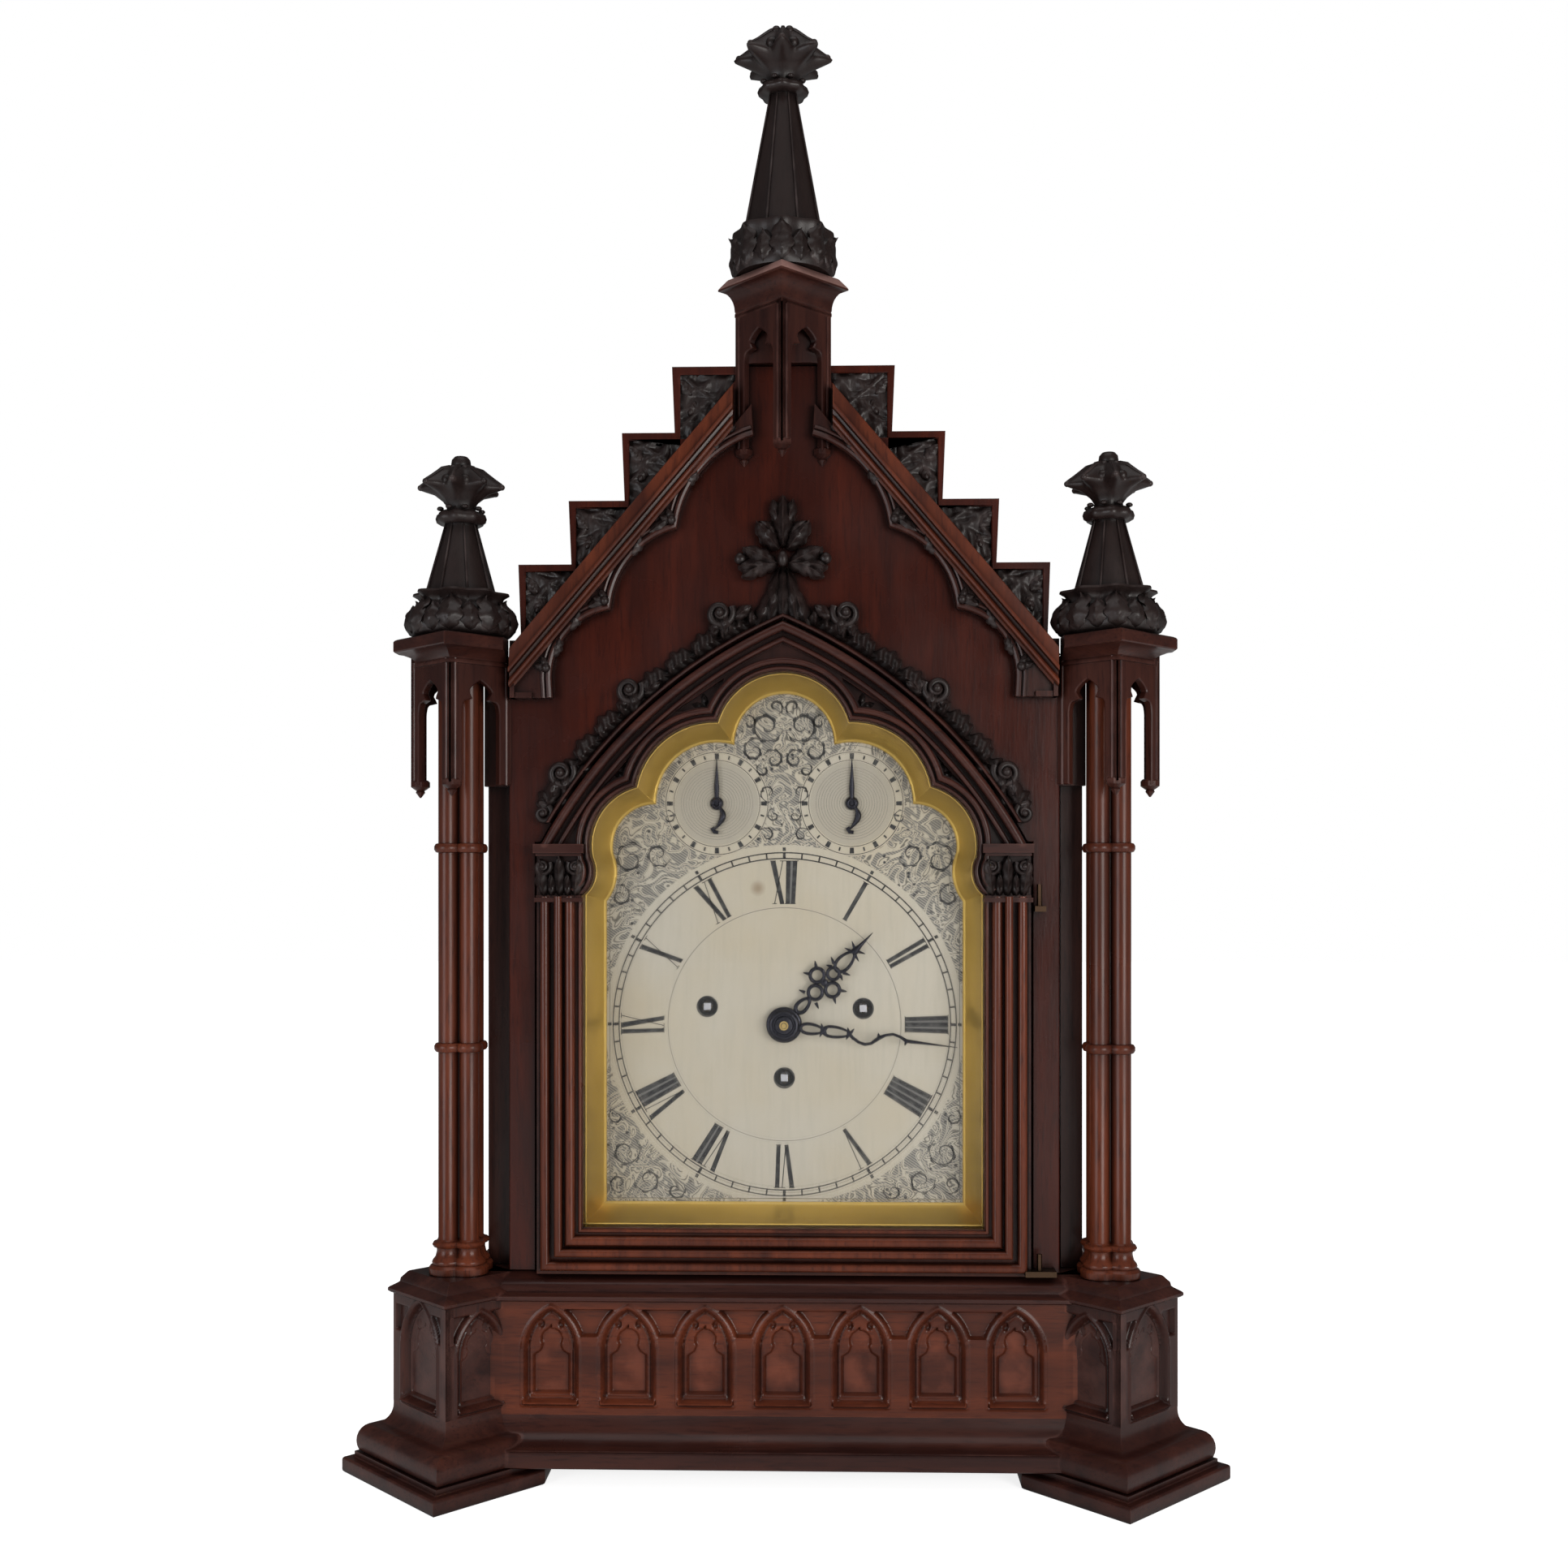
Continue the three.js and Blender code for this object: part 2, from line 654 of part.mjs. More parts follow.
function makePedestal() {
  const torus = arc(pedestalDie + pedestalCoveRadius, pedestalTorusZ, pedestalTorusRadius,
    Math.asin((plinthBottom - pedestalTorusZ) / pedestalTorusRadius), Math.PI / 2, 5);
  const coveZ = pedestalTorusZ + pedestalTorusRadius + pedestalCoveRadius;
  const cove = arc(pedestalDie + pedestalCoveRadius, coveZ, pedestalCoveRadius, -Math.PI / 2, -Math.PI, 4);
  const block = turned([
    [0, plinthBottom], ...torus, ...cove.slice(1), [pedestalDie, pedestalLipBottom],
    [pedestalLip, pedestalLipBottom + 0.5], [pedestalLip, pedestalLipTop],
    [pedestalTop + 5, pedestalLipTop + 4], [pedestalTop, caseBottom], [0, caseBottom],
  ], 4, columnX, 0);
  const faceDistance = pedestalDie / Math.SQRT2;
  const side = pedestalDie * Math.SQRT2;
  const shownSide = side - friezeProud * Math.SQRT2 + seam;
  const outer = lancetSinks(0, outerArchWidth, -faceDistance)
    .map((sink) => faced(sink, Math.PI / 4, columnX, 0));
  const inner = lancetSinks((side - shownSide) / 2, archWidth - 1, -faceDistance)
    .map((sink) => faced(sink, -Math.PI / 4, columnX, 0));
  const corner = wrapped(plinthHalfWidth + seam, -friezeProud - seam, caseDepth, [
    [baseMouldingProud, plinthBottom - 1],
    [baseMouldingProud, plinthBottom],
    ...arc(baseMouldingProud, friezeBottom, baseMouldingProud, -Math.PI / 2, -Math.PI, 4),
    [0, friezeTop - seam], [plinthLipProud, friezeTop + 0.5 - seam], [plinthLipProud, plinthLipTop + seam],
    [-2, plinthLipTop + 2 + seam], [-6, caseBottom - 2 + seam], [-friezeProud + 1, caseBottom + seam],
    [-friezeProud + 1, caseBottom + 1],
  ]);
  return carve(block, corner, outer, inner);
}

// ------------------------------------------------------------------ columns, canopies, pinnacles
// four round shafts clustered about a core
function clusteredPlan(cx, cy) {
  const reach = 0.75 * Math.PI - Math.acos(shaftLobeOffset / Math.SQRT2 / shaftLobe);
  return [0, 1, 2, 3].flatMap((quarter) => {
    const turn = quarter * Math.PI / 2;
    const x = cx + shaftLobeOffset * Math.cos(turn);
    const y = cy + shaftLobeOffset * Math.sin(turn);
    return arc(x, y, shaftLobe, turn - reach, turn + reach, 3).slice(0, -1);
  });
}

function makeColumn() {
  const foot = caseBottom + seam;
  const base = turned([
    [0, foot], [columnBaseRadius, foot], [columnBaseRadius, foot + 4.5], [columnBaseRadius - 3, foot + 7],
    [columnBaseRadius - 1, foot + 9.5], [columnBaseRadius - 4, foot + 14],
    [columnBaseRadius - 4, columnBaseTop], [0, columnBaseTop],
  ], 10, columnX, 0);
  const shaft = post(clusteredPlan(columnX, 0), columnBaseTop - 2, slabBottom - hoodCrown - seam);
  const annulets = annuletHeights.map((z) => turned([
    [0, z - annuletHalfHeight], [annuletRadius - 1.5, z - annuletHalfHeight], [annuletRadius, z],
    [annuletRadius - 1.5, z + annuletHalfHeight], [0, z + annuletHalfHeight],
  ], 10, columnX, 0));
  return fuse(base, shaft, annulets);
}

// a pierced hood, square at 45 degrees: walls with pointed arches, and pendants at its corners
function hangingHood(cx, halfDiagonal, wall, postWidth, bottom, spring, top, drop) {
  const inner = halfDiagonal - wall * Math.SQRT2;
  const side = halfDiagonal * Math.SQRT2;
  const archHalf = side / 2 - postWidth;
  const crown = Math.acos(1 - 1 / 1.7);
  const radius = archHalf * 1.7;
  const rise = radius * Math.sin(crown);
  const archTop = Math.min(spring, top - 6 - rise);
  const walls = carve(
    post(diamond(cx, 0, halfDiagonal), bottom + drop, top),
    post(diamond(cx, 0, inner), bottom, top - hoodCrown),
    [0, 1].map((turn) => faced(
      board(lancet(0, archHalf, bottom - 1, archTop, radius, 3), -halfDiagonal, halfDiagonal),
      Math.PI / 4 + turn * Math.PI / 2, cx, 0)),
  );
  const postCentre = halfDiagonal - postWidth / Math.SQRT2;
  const postHalf = postWidth / Math.SQRT2;
  const drops = [0, 1, 2, 3].map((quarter) => turned([
    [0, bottom], [postHalf * 0.6, bottom + drop * 0.4], [postHalf, bottom + drop],
    [postHalf, bottom + drop + 2], [0, bottom + drop + 2],
  ], 4, cx + postCentre * Math.cos(quarter * Math.PI / 2), postCentre * Math.sin(quarter * Math.PI / 2)));
  return { walls, drops };
}

// everything behind these planes belongs to the case
function caseRegion(low, high) {
  return [
    post(rectangle(-faceHalfWidth - seam, faceHalfWidth + seam, -seam, caseDepth), low, high),
    post(rectangle(-carcassHalfWidth - seam, carcassHalfWidth + seam, boardThickness - seam, caseDepth), low, high),
  ];
}

function makeCanopy() {
  const { walls, drops } = hangingHood(columnX, canopyHalfDiagonal, canopyWall, pendantWidth,
    pendantBottom, canopySpring, slabBottom, pendantDrop);
  const reach = slabHalfDiagonal;
  const slab = post([
    [columnX - reach, 0], [columnX, -reach], [columnX + reach - slabCornerCut, -slabCornerCut],
    [columnX + reach - slabCornerCut, slabCornerCut], [columnX, reach],
  ], slabBottom - 0.5, slabTop, 1);
  const rakeKeepOut = post(
    rectangle(0, faceHalfWidth + seam, -rakeReeds[0][2] - seam, 0), gableFootZ - 1, slabTop + 1);
  return carve(fuse(walls, drops, slab), caseRegion(pendantBottom - 1, slabTop + 1), rakeKeepOut);
}

// rings of a carved band: pointed leaves stand out at the corners of a star
function leafBand(cx, profile, leaves, valley) {
  return loft(profile.map(([radius, z]) => Array.from({ length: 2 * leaves }, (_, i) => {
    const angle = i * Math.PI / leaves;
    const reach = i % 2 ? radius * valley : radius;
    return [cx + reach * Math.cos(angle), reach * Math.sin(angle), z];
  })));
}

function makeSpire(cx, foot, crocketRadius, crocketTop, spireRadius, tip, spireTop, collarRadius, collarTop) {
  const rise = crocketTop - foot;
  const crockets = leafBand(cx, [
    [crocketRadius * 0.86, foot], [crocketRadius, foot + rise * 0.22],
    [crocketRadius * 0.78, foot + rise * 0.7], [crocketRadius * 0.8, crocketTop],
  ], 8, 0.86);
  const collarHeight = collarTop - spireTop;
  const shaft = turned([
    [0, foot + 1], [spireRadius, foot + 1], [spireRadius, crocketTop - 1], [tip, spireTop],
    [tip, spireTop + 0.5], [collarRadius, spireTop + collarHeight * 0.3],
    [collarRadius, spireTop + collarHeight * 0.7], [tip, collarTop], [0, collarTop],
  ], 8, cx, 0);
  return fuse(crockets, shaft);
}

function makeSidePinnacle() {
  return fuse(
    makeSpire(columnX, slabTop + seam, sideCrocketRadius, sideCrocketTop, sideSpireRadius,
      sideSpireTip, sideSpireTop, sideCollarRadius, sideCollarTop),
    makePoppyhead(columnX, sideCollarTop, sideSpireTip, sideFinialRadius, sideFinialNeck, sideFinialCap),
  );
}

// a poppyhead: a narrow neck opening into drooping leaves, closed by a small knob
function makePoppyhead(cx, foot, stalk, radius, neck, cap) {
  const widest = foot + neck;
  return leafBand(cx, [
    [stalk * 0.85, foot - 1], [stalk, foot + 0.4 * neck], [radius, widest],
    [radius * 0.7, widest + 0.5 * cap], [radius * 0.26, widest + 0.7 * cap], [radius * 0.24, widest + cap],
  ], 8, 0.84);
}

// ------------------------------------------------------------------ front board and gable
function makeCaseFront() {
  const steps = stepTops.flatMap((top, i) => {
    const low = i === 0 ? slabTop : stepTops[i - 1];
    return [[stepHalfWidths[i] - stepUndercut, low], [stepHalfWidths[i], top]];
  });
  const outline = mirrored([
    [faceHalfWidth, caseBottom + seam], [faceHalfWidth, slabTop], ...steps,
  ]);
  const opening = board(doorOutline(doorGap), -1, boardThickness + 1);
  const sill = board(rectangle(-doorHalfWidth - doorGap, doorHalfWidth + doorGap, caseBottom - 5, doorBottom),
    -1, boardThickness + 1);
  const slope = (rakeHeadZ - rakeFootZ) / (rakeFootX - rakeHeadX);
  const rakeX = (z) => rakeFootX - (z - rakeFootZ) / slope;
  const panels = stepTops.flatMap((top, i) => {
    const outer = stepHalfWidths[i] - stepPanelInset;
    const high = top - stepPanelInset;
    const meet = rakeFootZ + (rakeFootX - outer) * slope + stepPanelInset;
    const right = [[outer, meet], [outer, high], [rakeX(high) + stepPanelInset, high]];
    const left = right.map(([x, z]) => [-x, z]).reverse();
    return [right, left].map((panel) => board(panel, -1, stepPanelSink));
  });
  const boltEnd = -doorHalfWidth - doorGap - boltThrow - 1;
  const boltMortise = board(
    rectangle(boltEnd, -doorHalfWidth, keyholeZ - boltHeight, keyholeZ + boltHeight), lockFront - 0.5, doorBack);
  return carve(board(outline, 0, boardThickness), opening, sill, panels, boltMortise);
}

// one raking board of the gable, right-hand side: reeds along its outer edge and a cusped inner edge
function makeRake() {
  const length = Math.hypot(rakeFootX - rakeHeadX, rakeHeadZ - rakeFootZ);
  const along = [(rakeHeadX - rakeFootX) / length, (rakeHeadZ - rakeFootZ) / length];
  const inward = [-along[1], along[0]];
  const reedLine = (distance) => {
    const foot = [rakeFootX + inward[0] * distance, rakeFootZ + inward[1] * distance];
    const reach = (foot[0] - 1) / -along[0];
    return [foot, [foot[0] + along[0] * reach, foot[1] + along[1] * reach]];
  };
  const reeds = rakeReeds.map(([near, far, proud]) => {
    const [a, b] = reedLine(near);
    const [d, c] = reedLine(far);
    return board([a, b, c, d], -proud, -seam - 1, [], reedBevel);
  });
  const [highCusp, middleCusp, lowCusp] = gableCusps;
  const lobes = [
    ...bulged(lowCusp, middleCusp, gableLobeRise, 4),
    ...bulged(middleCusp, highCusp, gableLobeRise, 4).slice(1),
  ];
  const [cuspX, cuspZ] = highCusp;
  const lobeZ = cuspZ - Math.sqrt(gableTopLobeRadius ** 2 - cuspX ** 2);
  const from = Math.atan2(cuspZ - lobeZ, cuspX);
  const topLobe = arc(0, lobeZ, gableTopLobeRadius, from, Math.PI / 2 - 0.02, 6).slice(1);
  const [, head] = reedLine(0);
  const outline = [
    [rakeFootX, gableFootZ], [rakeFootX, rakeFootZ], head,
    [1, topLobe.at(-1)[1]], ...topLobe.reverse(), ...lobes.reverse(),
    [lowCusp[0] + gableFootWidth, gableFootZ + gableFootWidth / 2],
    [lowCusp[0] + gableFootWidth, gableFootZ],
  ];
  const spandrel = board(outline, -rakeBoardProud, -seam);
  const aboveGable = board(rectangle(-1, faceHalfWidth, gableTop, gableTop + beyond), -beyond, 1);
  return carve(fuse(spandrel, reeds), aboveGable, towerKeepOut());
}

// a shallow arc between two points, rising to the right of the way from a to b
function bulged(a, b, rise, steps) {
  const chord = Math.hypot(b[0] - a[0], b[1] - a[1]);
  const radius = (chord ** 2 / 4 + rise ** 2) / (2 * rise);
  const ux = (b[0] - a[0]) / chord;
  const uz = (b[1] - a[1]) / chord;
  const cx = (a[0] + b[0]) / 2 - uz * (radius - rise);
  const cz = (a[1] + b[1]) / 2 + ux * (radius - rise);
  return arcBetween([cx, cz, radius], a, b, steps);
}

function towerKeepOut() {
  const reach = towerHalfDiagonal + seam;
  return post(diamond(0, 0, reach), towerPendantBottom - 2, gableTop + beyond);
}

function makeTower() {
  const { walls, drops } = hangingHood(0, towerHalfDiagonal, towerWall, towerPendantWidth,
    towerPendantBottom, towerSpring, towerTop, pendantDrop);
  const cornice = turned([
    [0, towerTop - 3], [towerHalfDiagonal, towerTop - 3], [towerHalfDiagonal, towerTop],
    ...arc(corniceHalfDiagonal, towerTop + 1, corniceHalfDiagonal - towerHalfDiagonal, Math.PI, Math.PI / 2, 4),
    [corniceHalfDiagonal, corniceLipBottom], [corniceHalfDiagonal, corniceTop - 3],
    [corniceHalfDiagonal - 9, corniceTop], [0, corniceTop],
  ], 4);
  const gable = post(rectangle(-faceHalfWidth, faceHalfWidth, -seam, caseDepth),
    towerPendantBottom - 1, gableTop + seam);
  return carve(fuse(walls, drops, cornice), gable);
}

function makeCentralSpire() {
  return fuse(
    makeSpire(0, corniceTop + seam, towerCrocketRadius, towerCrocketTop, towerSpireRadius,
      towerSpireTip, towerSpireTop, towerCollarRadius, towerCollarTop),
    makePoppyhead(0, towerCollarTop, towerSpireTip, towerFinialRadius, towerFinialNeck, towerFinialCap),
  );
}

// ------------------------------------------------------------------ hood mould, crockets and poppyhead
function lump(x, y, z, rx, ry, rz, around = 5, up = 3) {
  return new THREE.SphereGeometry(1, around, up).rotateX(Math.PI / 2).scale(rx, ry, rz).translate(x, y, z);
}

function band(inner, outer, fromZ) {
  return [...mirrored(hoodArc(outer, fromZ)), ...mirrored(hoodArc(inner, fromZ)).reverse()];
}

function makeHoodMould() {
  const foot = doorSpring + hoodMouldFoot;
  const label = board(band(doorGap + 0.4, labelWidth, foot), -labelProud, -seam);
  const line = hoodArc(crocketStandOff, foot + 6, crocketCount).slice(0, -1);
  const leaves = line.flatMap(([x, z]) => [1, -1].map((side) => (
    lump(side * x, -crocketLeaf * 0.7, z, crocketLeaf, crocketLeaf * 0.9, crocketLeaf)
  )));
  const balls = crocketBallRises.flatMap((rise) => {
    const [x, z] = hoodArc(crocketBallStandOff, doorSpring + rise * hoodRise, 1)[0];
    return [1, -1].map((side) => lump(side * x, -crocketBall, z, crocketBall, crocketBall, crocketBall + 2));
  });
  const apex = hoodCentreZ + Math.sqrt((hoodRadius + labelWidth) ** 2 - hoodCentreX ** 2);
  const stem = board(
    mirrored([[6, apex - 4], [4, apex + 20], [3, fleuronTop - 12], [0, fleuronTop]]), -labelProud, -seam);
  const fleuron = [
    ...[1, -1].map((side) => lump(side * 14, -6, apex + 26, 10, 6, 9)),
    lump(0, -7, apex + 30, 9, 7, 14),
    lump(0, -6, apex + 46, 9, 5, 9),
  ];
  const behind = post(
    rectangle(-faceHalfWidth, faceHalfWidth, -seam, boardThickness), doorSpring, fleuronTop + 5);
  const doorWay = board(doorOutline(doorGap + 0.4), -2 * labelProud - 10, 0);
  return carve(fuse(label, leaves, balls, stem, fleuron), behind, doorWay);
}

// ------------------------------------------------------------------ door
function uMoulding([inner, outer, proud]) {
  const wide = dialHalfWidth + outer;
  const narrow = dialHalfWidth + inner;
  const low = dialBottom - outer;
  const high = dialBottom - inner;
  const top = capitalBottom + 4;
  return board([
    [-wide, low], [wide, low], [wide, top], [narrow, top],
    [narrow, high], [-narrow, high], [-narrow, top], [-wide, top],
  ], -proud, doorFace + 3, [], reedBevel);
}

function capital(side) {
  const inner = dialHalfWidth + capitalInset;
  const spread = doorHalfWidth - inner;
  const abacus = board(rectangle(inner, doorHalfWidth, capitalTop - 6, capitalTop), -12, doorFace + 3, [], 1);
  const leaves = [0.16, 0.5, 0.84].map((share) => (
    lump(inner + spread * share, doorFace - 2, (capitalBottom + capitalTop) / 2, spread * 0.22, 6, 12)
  ));
  const end = post(ring(hingeX, hingeY, hingeLugRadius, 8), capitalBottom - 1, capitalTop);
  const bridge = post(rectangle(doorHalfWidth - 4, hingeX, hingeY - 3, hingeY + 3), capitalBottom - 1, capitalTop);
  const parts = fuse(abacus, leaves, end, bridge);
  return side < 0 ? mirrorX(parts) : parts;
}

function pinHole(low, high) {
  return post(ring(hingeX, hingeY, hingePinRadius + seam, 6), low, high);
}

function makeDoorFrame() {
  const panel = board(doorOutline(0), doorFace, doorBack, [foils(doorOpeningOffset)]);
  const hood = hoodReeds.map(([near, far, proud]) => (
    board(band(-far, -near, doorSpring - 1), -proud, doorFace + 3)
  ));
  const lugLow = caseBottom + 2 * seam + hingePlate + 1.2;
  const lug = post(ring(hingeX, hingeY, hingeLugRadius, 8), lugLow, lugLow + hingeLugHeight);
  const bridge = post(rectangle(hingeX - 10, hingeX, hingeY - 3, hingeY + 4), lugLow, lugLow + hingeLugHeight);
  const body = fuse(panel, jambReeds.map(uMoulding), hood, capital(1), capital(-1), lug, bridge);
  const notch = post(
    rectangle(hingeX - hingeLugRadius - 5, hingeX + 10, -beyond, doorBack + 1), doorBottom - 1, lugLow);
  const rebate = board(foils(doorOpeningOffset + glassRebate), glassFront - seam, doorBack + 1);
  const sinkings = traceryTriangles.flatMap((triangle) => {
    const right = triangle.map(([x, rise]) => [x, doorSpring + rise]);
    const left = right.map(([x, z]) => [-x, z]).reverse();
    return [right, left].map((outline) => board(outline, -beyond, doorFace + 2.5));
  });
  const keyhole = rodAlongY(keyholeX, keyholeZ, 1.8, -beyond, doorBack + 1, 8);
  const mortise = board(lockOutline(seam), lockFront - seam, doorBack + 1);
  const boltWay = board(
    rectangle(-doorHalfWidth - 1, lockRight - 4, keyholeZ - boltHeight + 1, keyholeZ + boltHeight - 1),
    lockFront - seam, doorBack + 1);
  return carve(body, notch, rebate, sinkings, keyhole, mortise, boltWay,
    pinHole(lugLow - 1, lugLow + 9), pinHole(capitalBottom - 2, capitalBottom + 11));
}

function lockOutline(grow) {
  const half = lockHalfHeight + grow;
  return rectangle(lockLeft - grow, lockRight + grow, keyholeZ - half, keyholeZ + half);
}

function makeDoorGlass() {
  return board(foils(doorOpeningOffset + glassRebate - seam), glassFront, glassFront + glassThickness);
}

function makeDoorLock() {
  const box = board(lockOutline(0), lockFront, doorBack - seam);
  const boltWay = board(
    rectangle(lockLeft - 1, lockRight - 4, keyholeZ - boltHeight + 1, keyholeZ + boltHeight - 1),
    lockFront + 0.7, doorBack);
  return carve(box, boltWay);
}

function makeLockBolt() {
  const half = boltHeight - 1 - seam;
  return board(
    rectangle(0.4 - doorHalfWidth, lockRight - 5 - boltThrow, keyholeZ - half, keyholeZ + half),
    lockFront + 1, doorBack - seam);
}

function makeHingeLower() {
  const low = caseBottom + 2 * seam;
  return fuse(
    post(rectangle(hingeX - 8, hingeX + 9, hingeY - 4, -seam), low, low + hingePlate),
    post(ring(hingeX, hingeY, hingePinRadius, 6), low + 1, low + hingePlate + 9),
  );
}

function makeHingeUpper() {
  const high = capitalBottom - 2.2;
  return fuse(
    post(rectangle(hingeX - 2.6, hingeX + 3.5, hingeY - 2.5, -seam), high - hingePlate, high),
    post(ring(hingeX, hingeY, hingePinRadius, 6), high - 1, high + 12),
  );
}

// ------------------------------------------------------------------ dial
function makeDialSurround() {
  return board(doorOutline(doorGap - seam), surroundFront, surroundBack, [foils(slipSplay + slipLip + seam)]);
}

function makeDialMask() {
  const splay = slipSplay / (dialFace - seam - slipFront);
  const ringAt = (y) => foils((dialFace - seam - y) * splay).map(([x, z]) => [x, y, z]);
  const blank = board(foils(slipSplay + slipLip), slipFront, dialFace - seam);
  return carve(blank, loft([ringAt(slipFront - 0.2), ringAt(dialFace - seam + 0.2)]));
}

function makeDialPlate() {
  const back = dialFace + dialThickness;
  const holes = [
    ...[strikeArbor, chimeArbor, timeArbor].map(([x, z]) => ring(x, z, windingHoleRadius, 10)),
    ring(0, centreZ, hourPipeRadius + seam, 10),
    ...[1, -1].map((side) => ring(side * subDialX, subDialZ, arborRadius + seam, 6)),
  ];
  const plate = board(foils(dialOverlap), dialFace, back, holes);
  const feet = [-1, 1].flatMap((side) => dialFootHeights.map((z) => (
    rodAlongY(side * dialFootX, z, dialFootRadius, back - 1, frontPlateY - seam, 6)
  )));
  return fuse(plate, feet);
}

// hands are drawn pointing at twelve, then turned clockwise about the centre
function hand(outlines, y, angle, bore) {
  const blank = fuse(outlines.map(([outline, ...holes]) => board(outline, y, y + handThickness, holes)));
  const bored = carve(blank, rodAlongY(0, 0, bore, y - 1, y + handThickness + 1, 12));
  return solid(toGeometry(bored).rotateY(THREE.MathUtils.degToRad(angle)).translate(0, 0, centreZ));
}

function pierced(rings) {
  return rings.map(([x, z, outer, inner]) => [ring(x, z, outer, 8), ring(x, z, inner, 6)]);
}

function makeHourHand() {
  const tip = mirrored([[1.1, 45], [4.6, 54], [1.6, 58], [0, hourLength]]);
  return hand([
    [ring(0, 0, 10, 12)], [rectangle(-1.4, 1.4, 8, 22)],
    ...pierced([[0, 27, 6.5, 4], [0, 40, 6, 3.6], [6.5, 33.5, 4.6, 2.6], [-6.5, 33.5, 4.6, 2.6]]),
    [tip],
  ], hourHandY, hourAngle, hourPipeRadius + seam / 2);
}

function makeMinuteHand() {
  const tip = mirrored([[1, 42], [1.9, 56], [0.9, 60], [0.8, 84], [0, minuteLength]]);
  return hand([
    [ring(0, 0, 8.5, 12)], [rectangle(-1, 1, 7, 45)],
    ...pierced([[0, 18, 4.6, 2.8], [0, 33, 3.6, 2], [2.6, 44, 2.6, 1.2]]),
    [tip],
  ], minuteHandY, minuteAngle, cannonPipeRadius + seam / 2);
}

function makePointer(side) {
  const x = side * subDialX;
  const tail = [
    [-0.9, 0], [-0.9, -9], [2, 4 - pointerTail], [4.4, 3 - pointerTail], [1.6, -6], [0.9, 0],
  ];
  const needle = mirrored([[1.3, 0], [1.5, 8], [0, pointerLength]]);
  const flat = [ring(0, 0, 3.6, 8), needle, tail, ring(1.6, 2.6 - pointerTail, 2.9, 8)].map((outline) => (
    board(outline.map(([u, v]) => [u + x, v + subDialZ]), pointerY, pointerY + handThickness)
  ));
  return fuse(
    flat,
    rodAlongY(x, subDialZ, arborRadius, pointerY, dialFace + dialThickness + 6),
    rodAlongY(x, subDialZ, 4, dialFace + dialThickness + seam, dialFace + dialThickness + 2),
  );
}

// ------------------------------------------------------------------ motion work behind the dial
const cannonPitch = motionDistance * cannonTeeth / (cannonTeeth + minuteWheelTeeth);
const hourPitch = motionDistance * hourWheelTeeth / (hourWheelTeeth + minutePinionTeeth);

function wheel(teeth, pitch, phase, cx, cz, front, back) {
  return board(toothed(teeth, pitch, phase).map(([x, z]) => [x + cx, z + cz]), front, back);
}

function makeHourWheel() {
  const back = hourWheelY + motionWheelThickness;
  return carve(
    fuse(
      wheel(hourWheelTeeth, hourPitch, 0, 0, centreZ, hourWheelY, back),
      rodAlongY(0, centreZ, hourPipeRadius, hourHandY - 1, back, 12),
    ),
    rodAlongY(0, centreZ, cannonPipeRadius + seam, hourHandY - 2, back + 1, 12));
}

function makeCannonWheel() {
  const back = cannonWheelY + motionWheelThickness;
  return carve(
    fuse(
      wheel(cannonTeeth, cannonPitch, 0, 0, centreZ, cannonWheelY, back),
      rodAlongY(0, centreZ, cannonPipeRadius, minuteHandY - 2, back, 12),
    ),
    rodAlongY(0, centreZ, arborRadius + seam, minuteHandY - 3, back + 1, 10));
}

function makeMinuteWheel() {
  const meet = Math.PI;
  const back = cannonWheelY + motionWheelThickness;
  const body = fuse(
    wheel(minuteWheelTeeth, motionDistance - cannonPitch, meet + Math.PI / minuteWheelTeeth,
      motionDistance, centreZ, cannonWheelY, back),
    wheel(minutePinionTeeth, motionDistance - hourPitch, meet + Math.PI / minutePinionTeeth,
      motionDistance, centreZ, hourWheelY - 0.5, cannonWheelY + 0.5),
  );
  return carve(body, rodAlongY(motionDistance, centreZ, arborRadius + seam, hourWheelY - 2, back + 1, 8));
}

// ------------------------------------------------------------------ movement
const greatDistance = centreZ - timeArbor[1];
const greatPitch = greatDistance * greatTeeth / (greatTeeth + centrePinionTeeth);
const plateInnerFront = frontPlateY + plateThickness;
const trainWheelY = plateInnerFront + 5;
const thirdWheelY = trainWheelY + 8;
const escapeWheelY = thirdWheelY + 7;

function makeFrontPlate() {
  const bores = [
    ...[strikeArbor, chimeArbor, timeArbor].map(([x, z]) => [x, z, windingArborRadius]),
    [0, centreZ, arborRadius],
  ];
  const plate = board(rectangle(-plateHalfWidth, plateHalfWidth, plateBottom, plateTop),
    frontPlateY, plateInnerFront, bores.map(([x, z, r]) => ring(x, z, r + seam, 8)));
  const stud = rodAlongY(motionDistance, centreZ, arborRadius, hourWheelY - 1, frontPlateY + 1);
  return fuse(plate, stud);
}

function makeBackPlate() {
  const plate = board(rectangle(-plateHalfWidth, plateHalfWidth, plateBottom, plateTop),
    backPlateY, backPlateY + plateThickness, [ring(0, pendulumPivotZ, 3, 10)]);
  const pillars = [-1, 1].flatMap((side) => [plateBottom + 9, plateTop - 9].map((z) => (
    rodAlongY(side * (plateHalfWidth - 8), z, pillarRadius, plateInnerFront + seam, backPlateY + 1)
  )));
  const cockTop = chopsBottom + chopsHeight;
  const cock = fuse(
    board(rectangle(-cockHalfWidth, cockHalfWidth, cockTop - 6, cockTop), backPlateY + 1, pendulumY + 3),
    board(rectangle(-cockHalfWidth, cockHalfWidth, chopsBottom, cockTop), pendulumY - 3, pendulumY + 3),
  );
  return fuse(plate, pillars, cock);
}

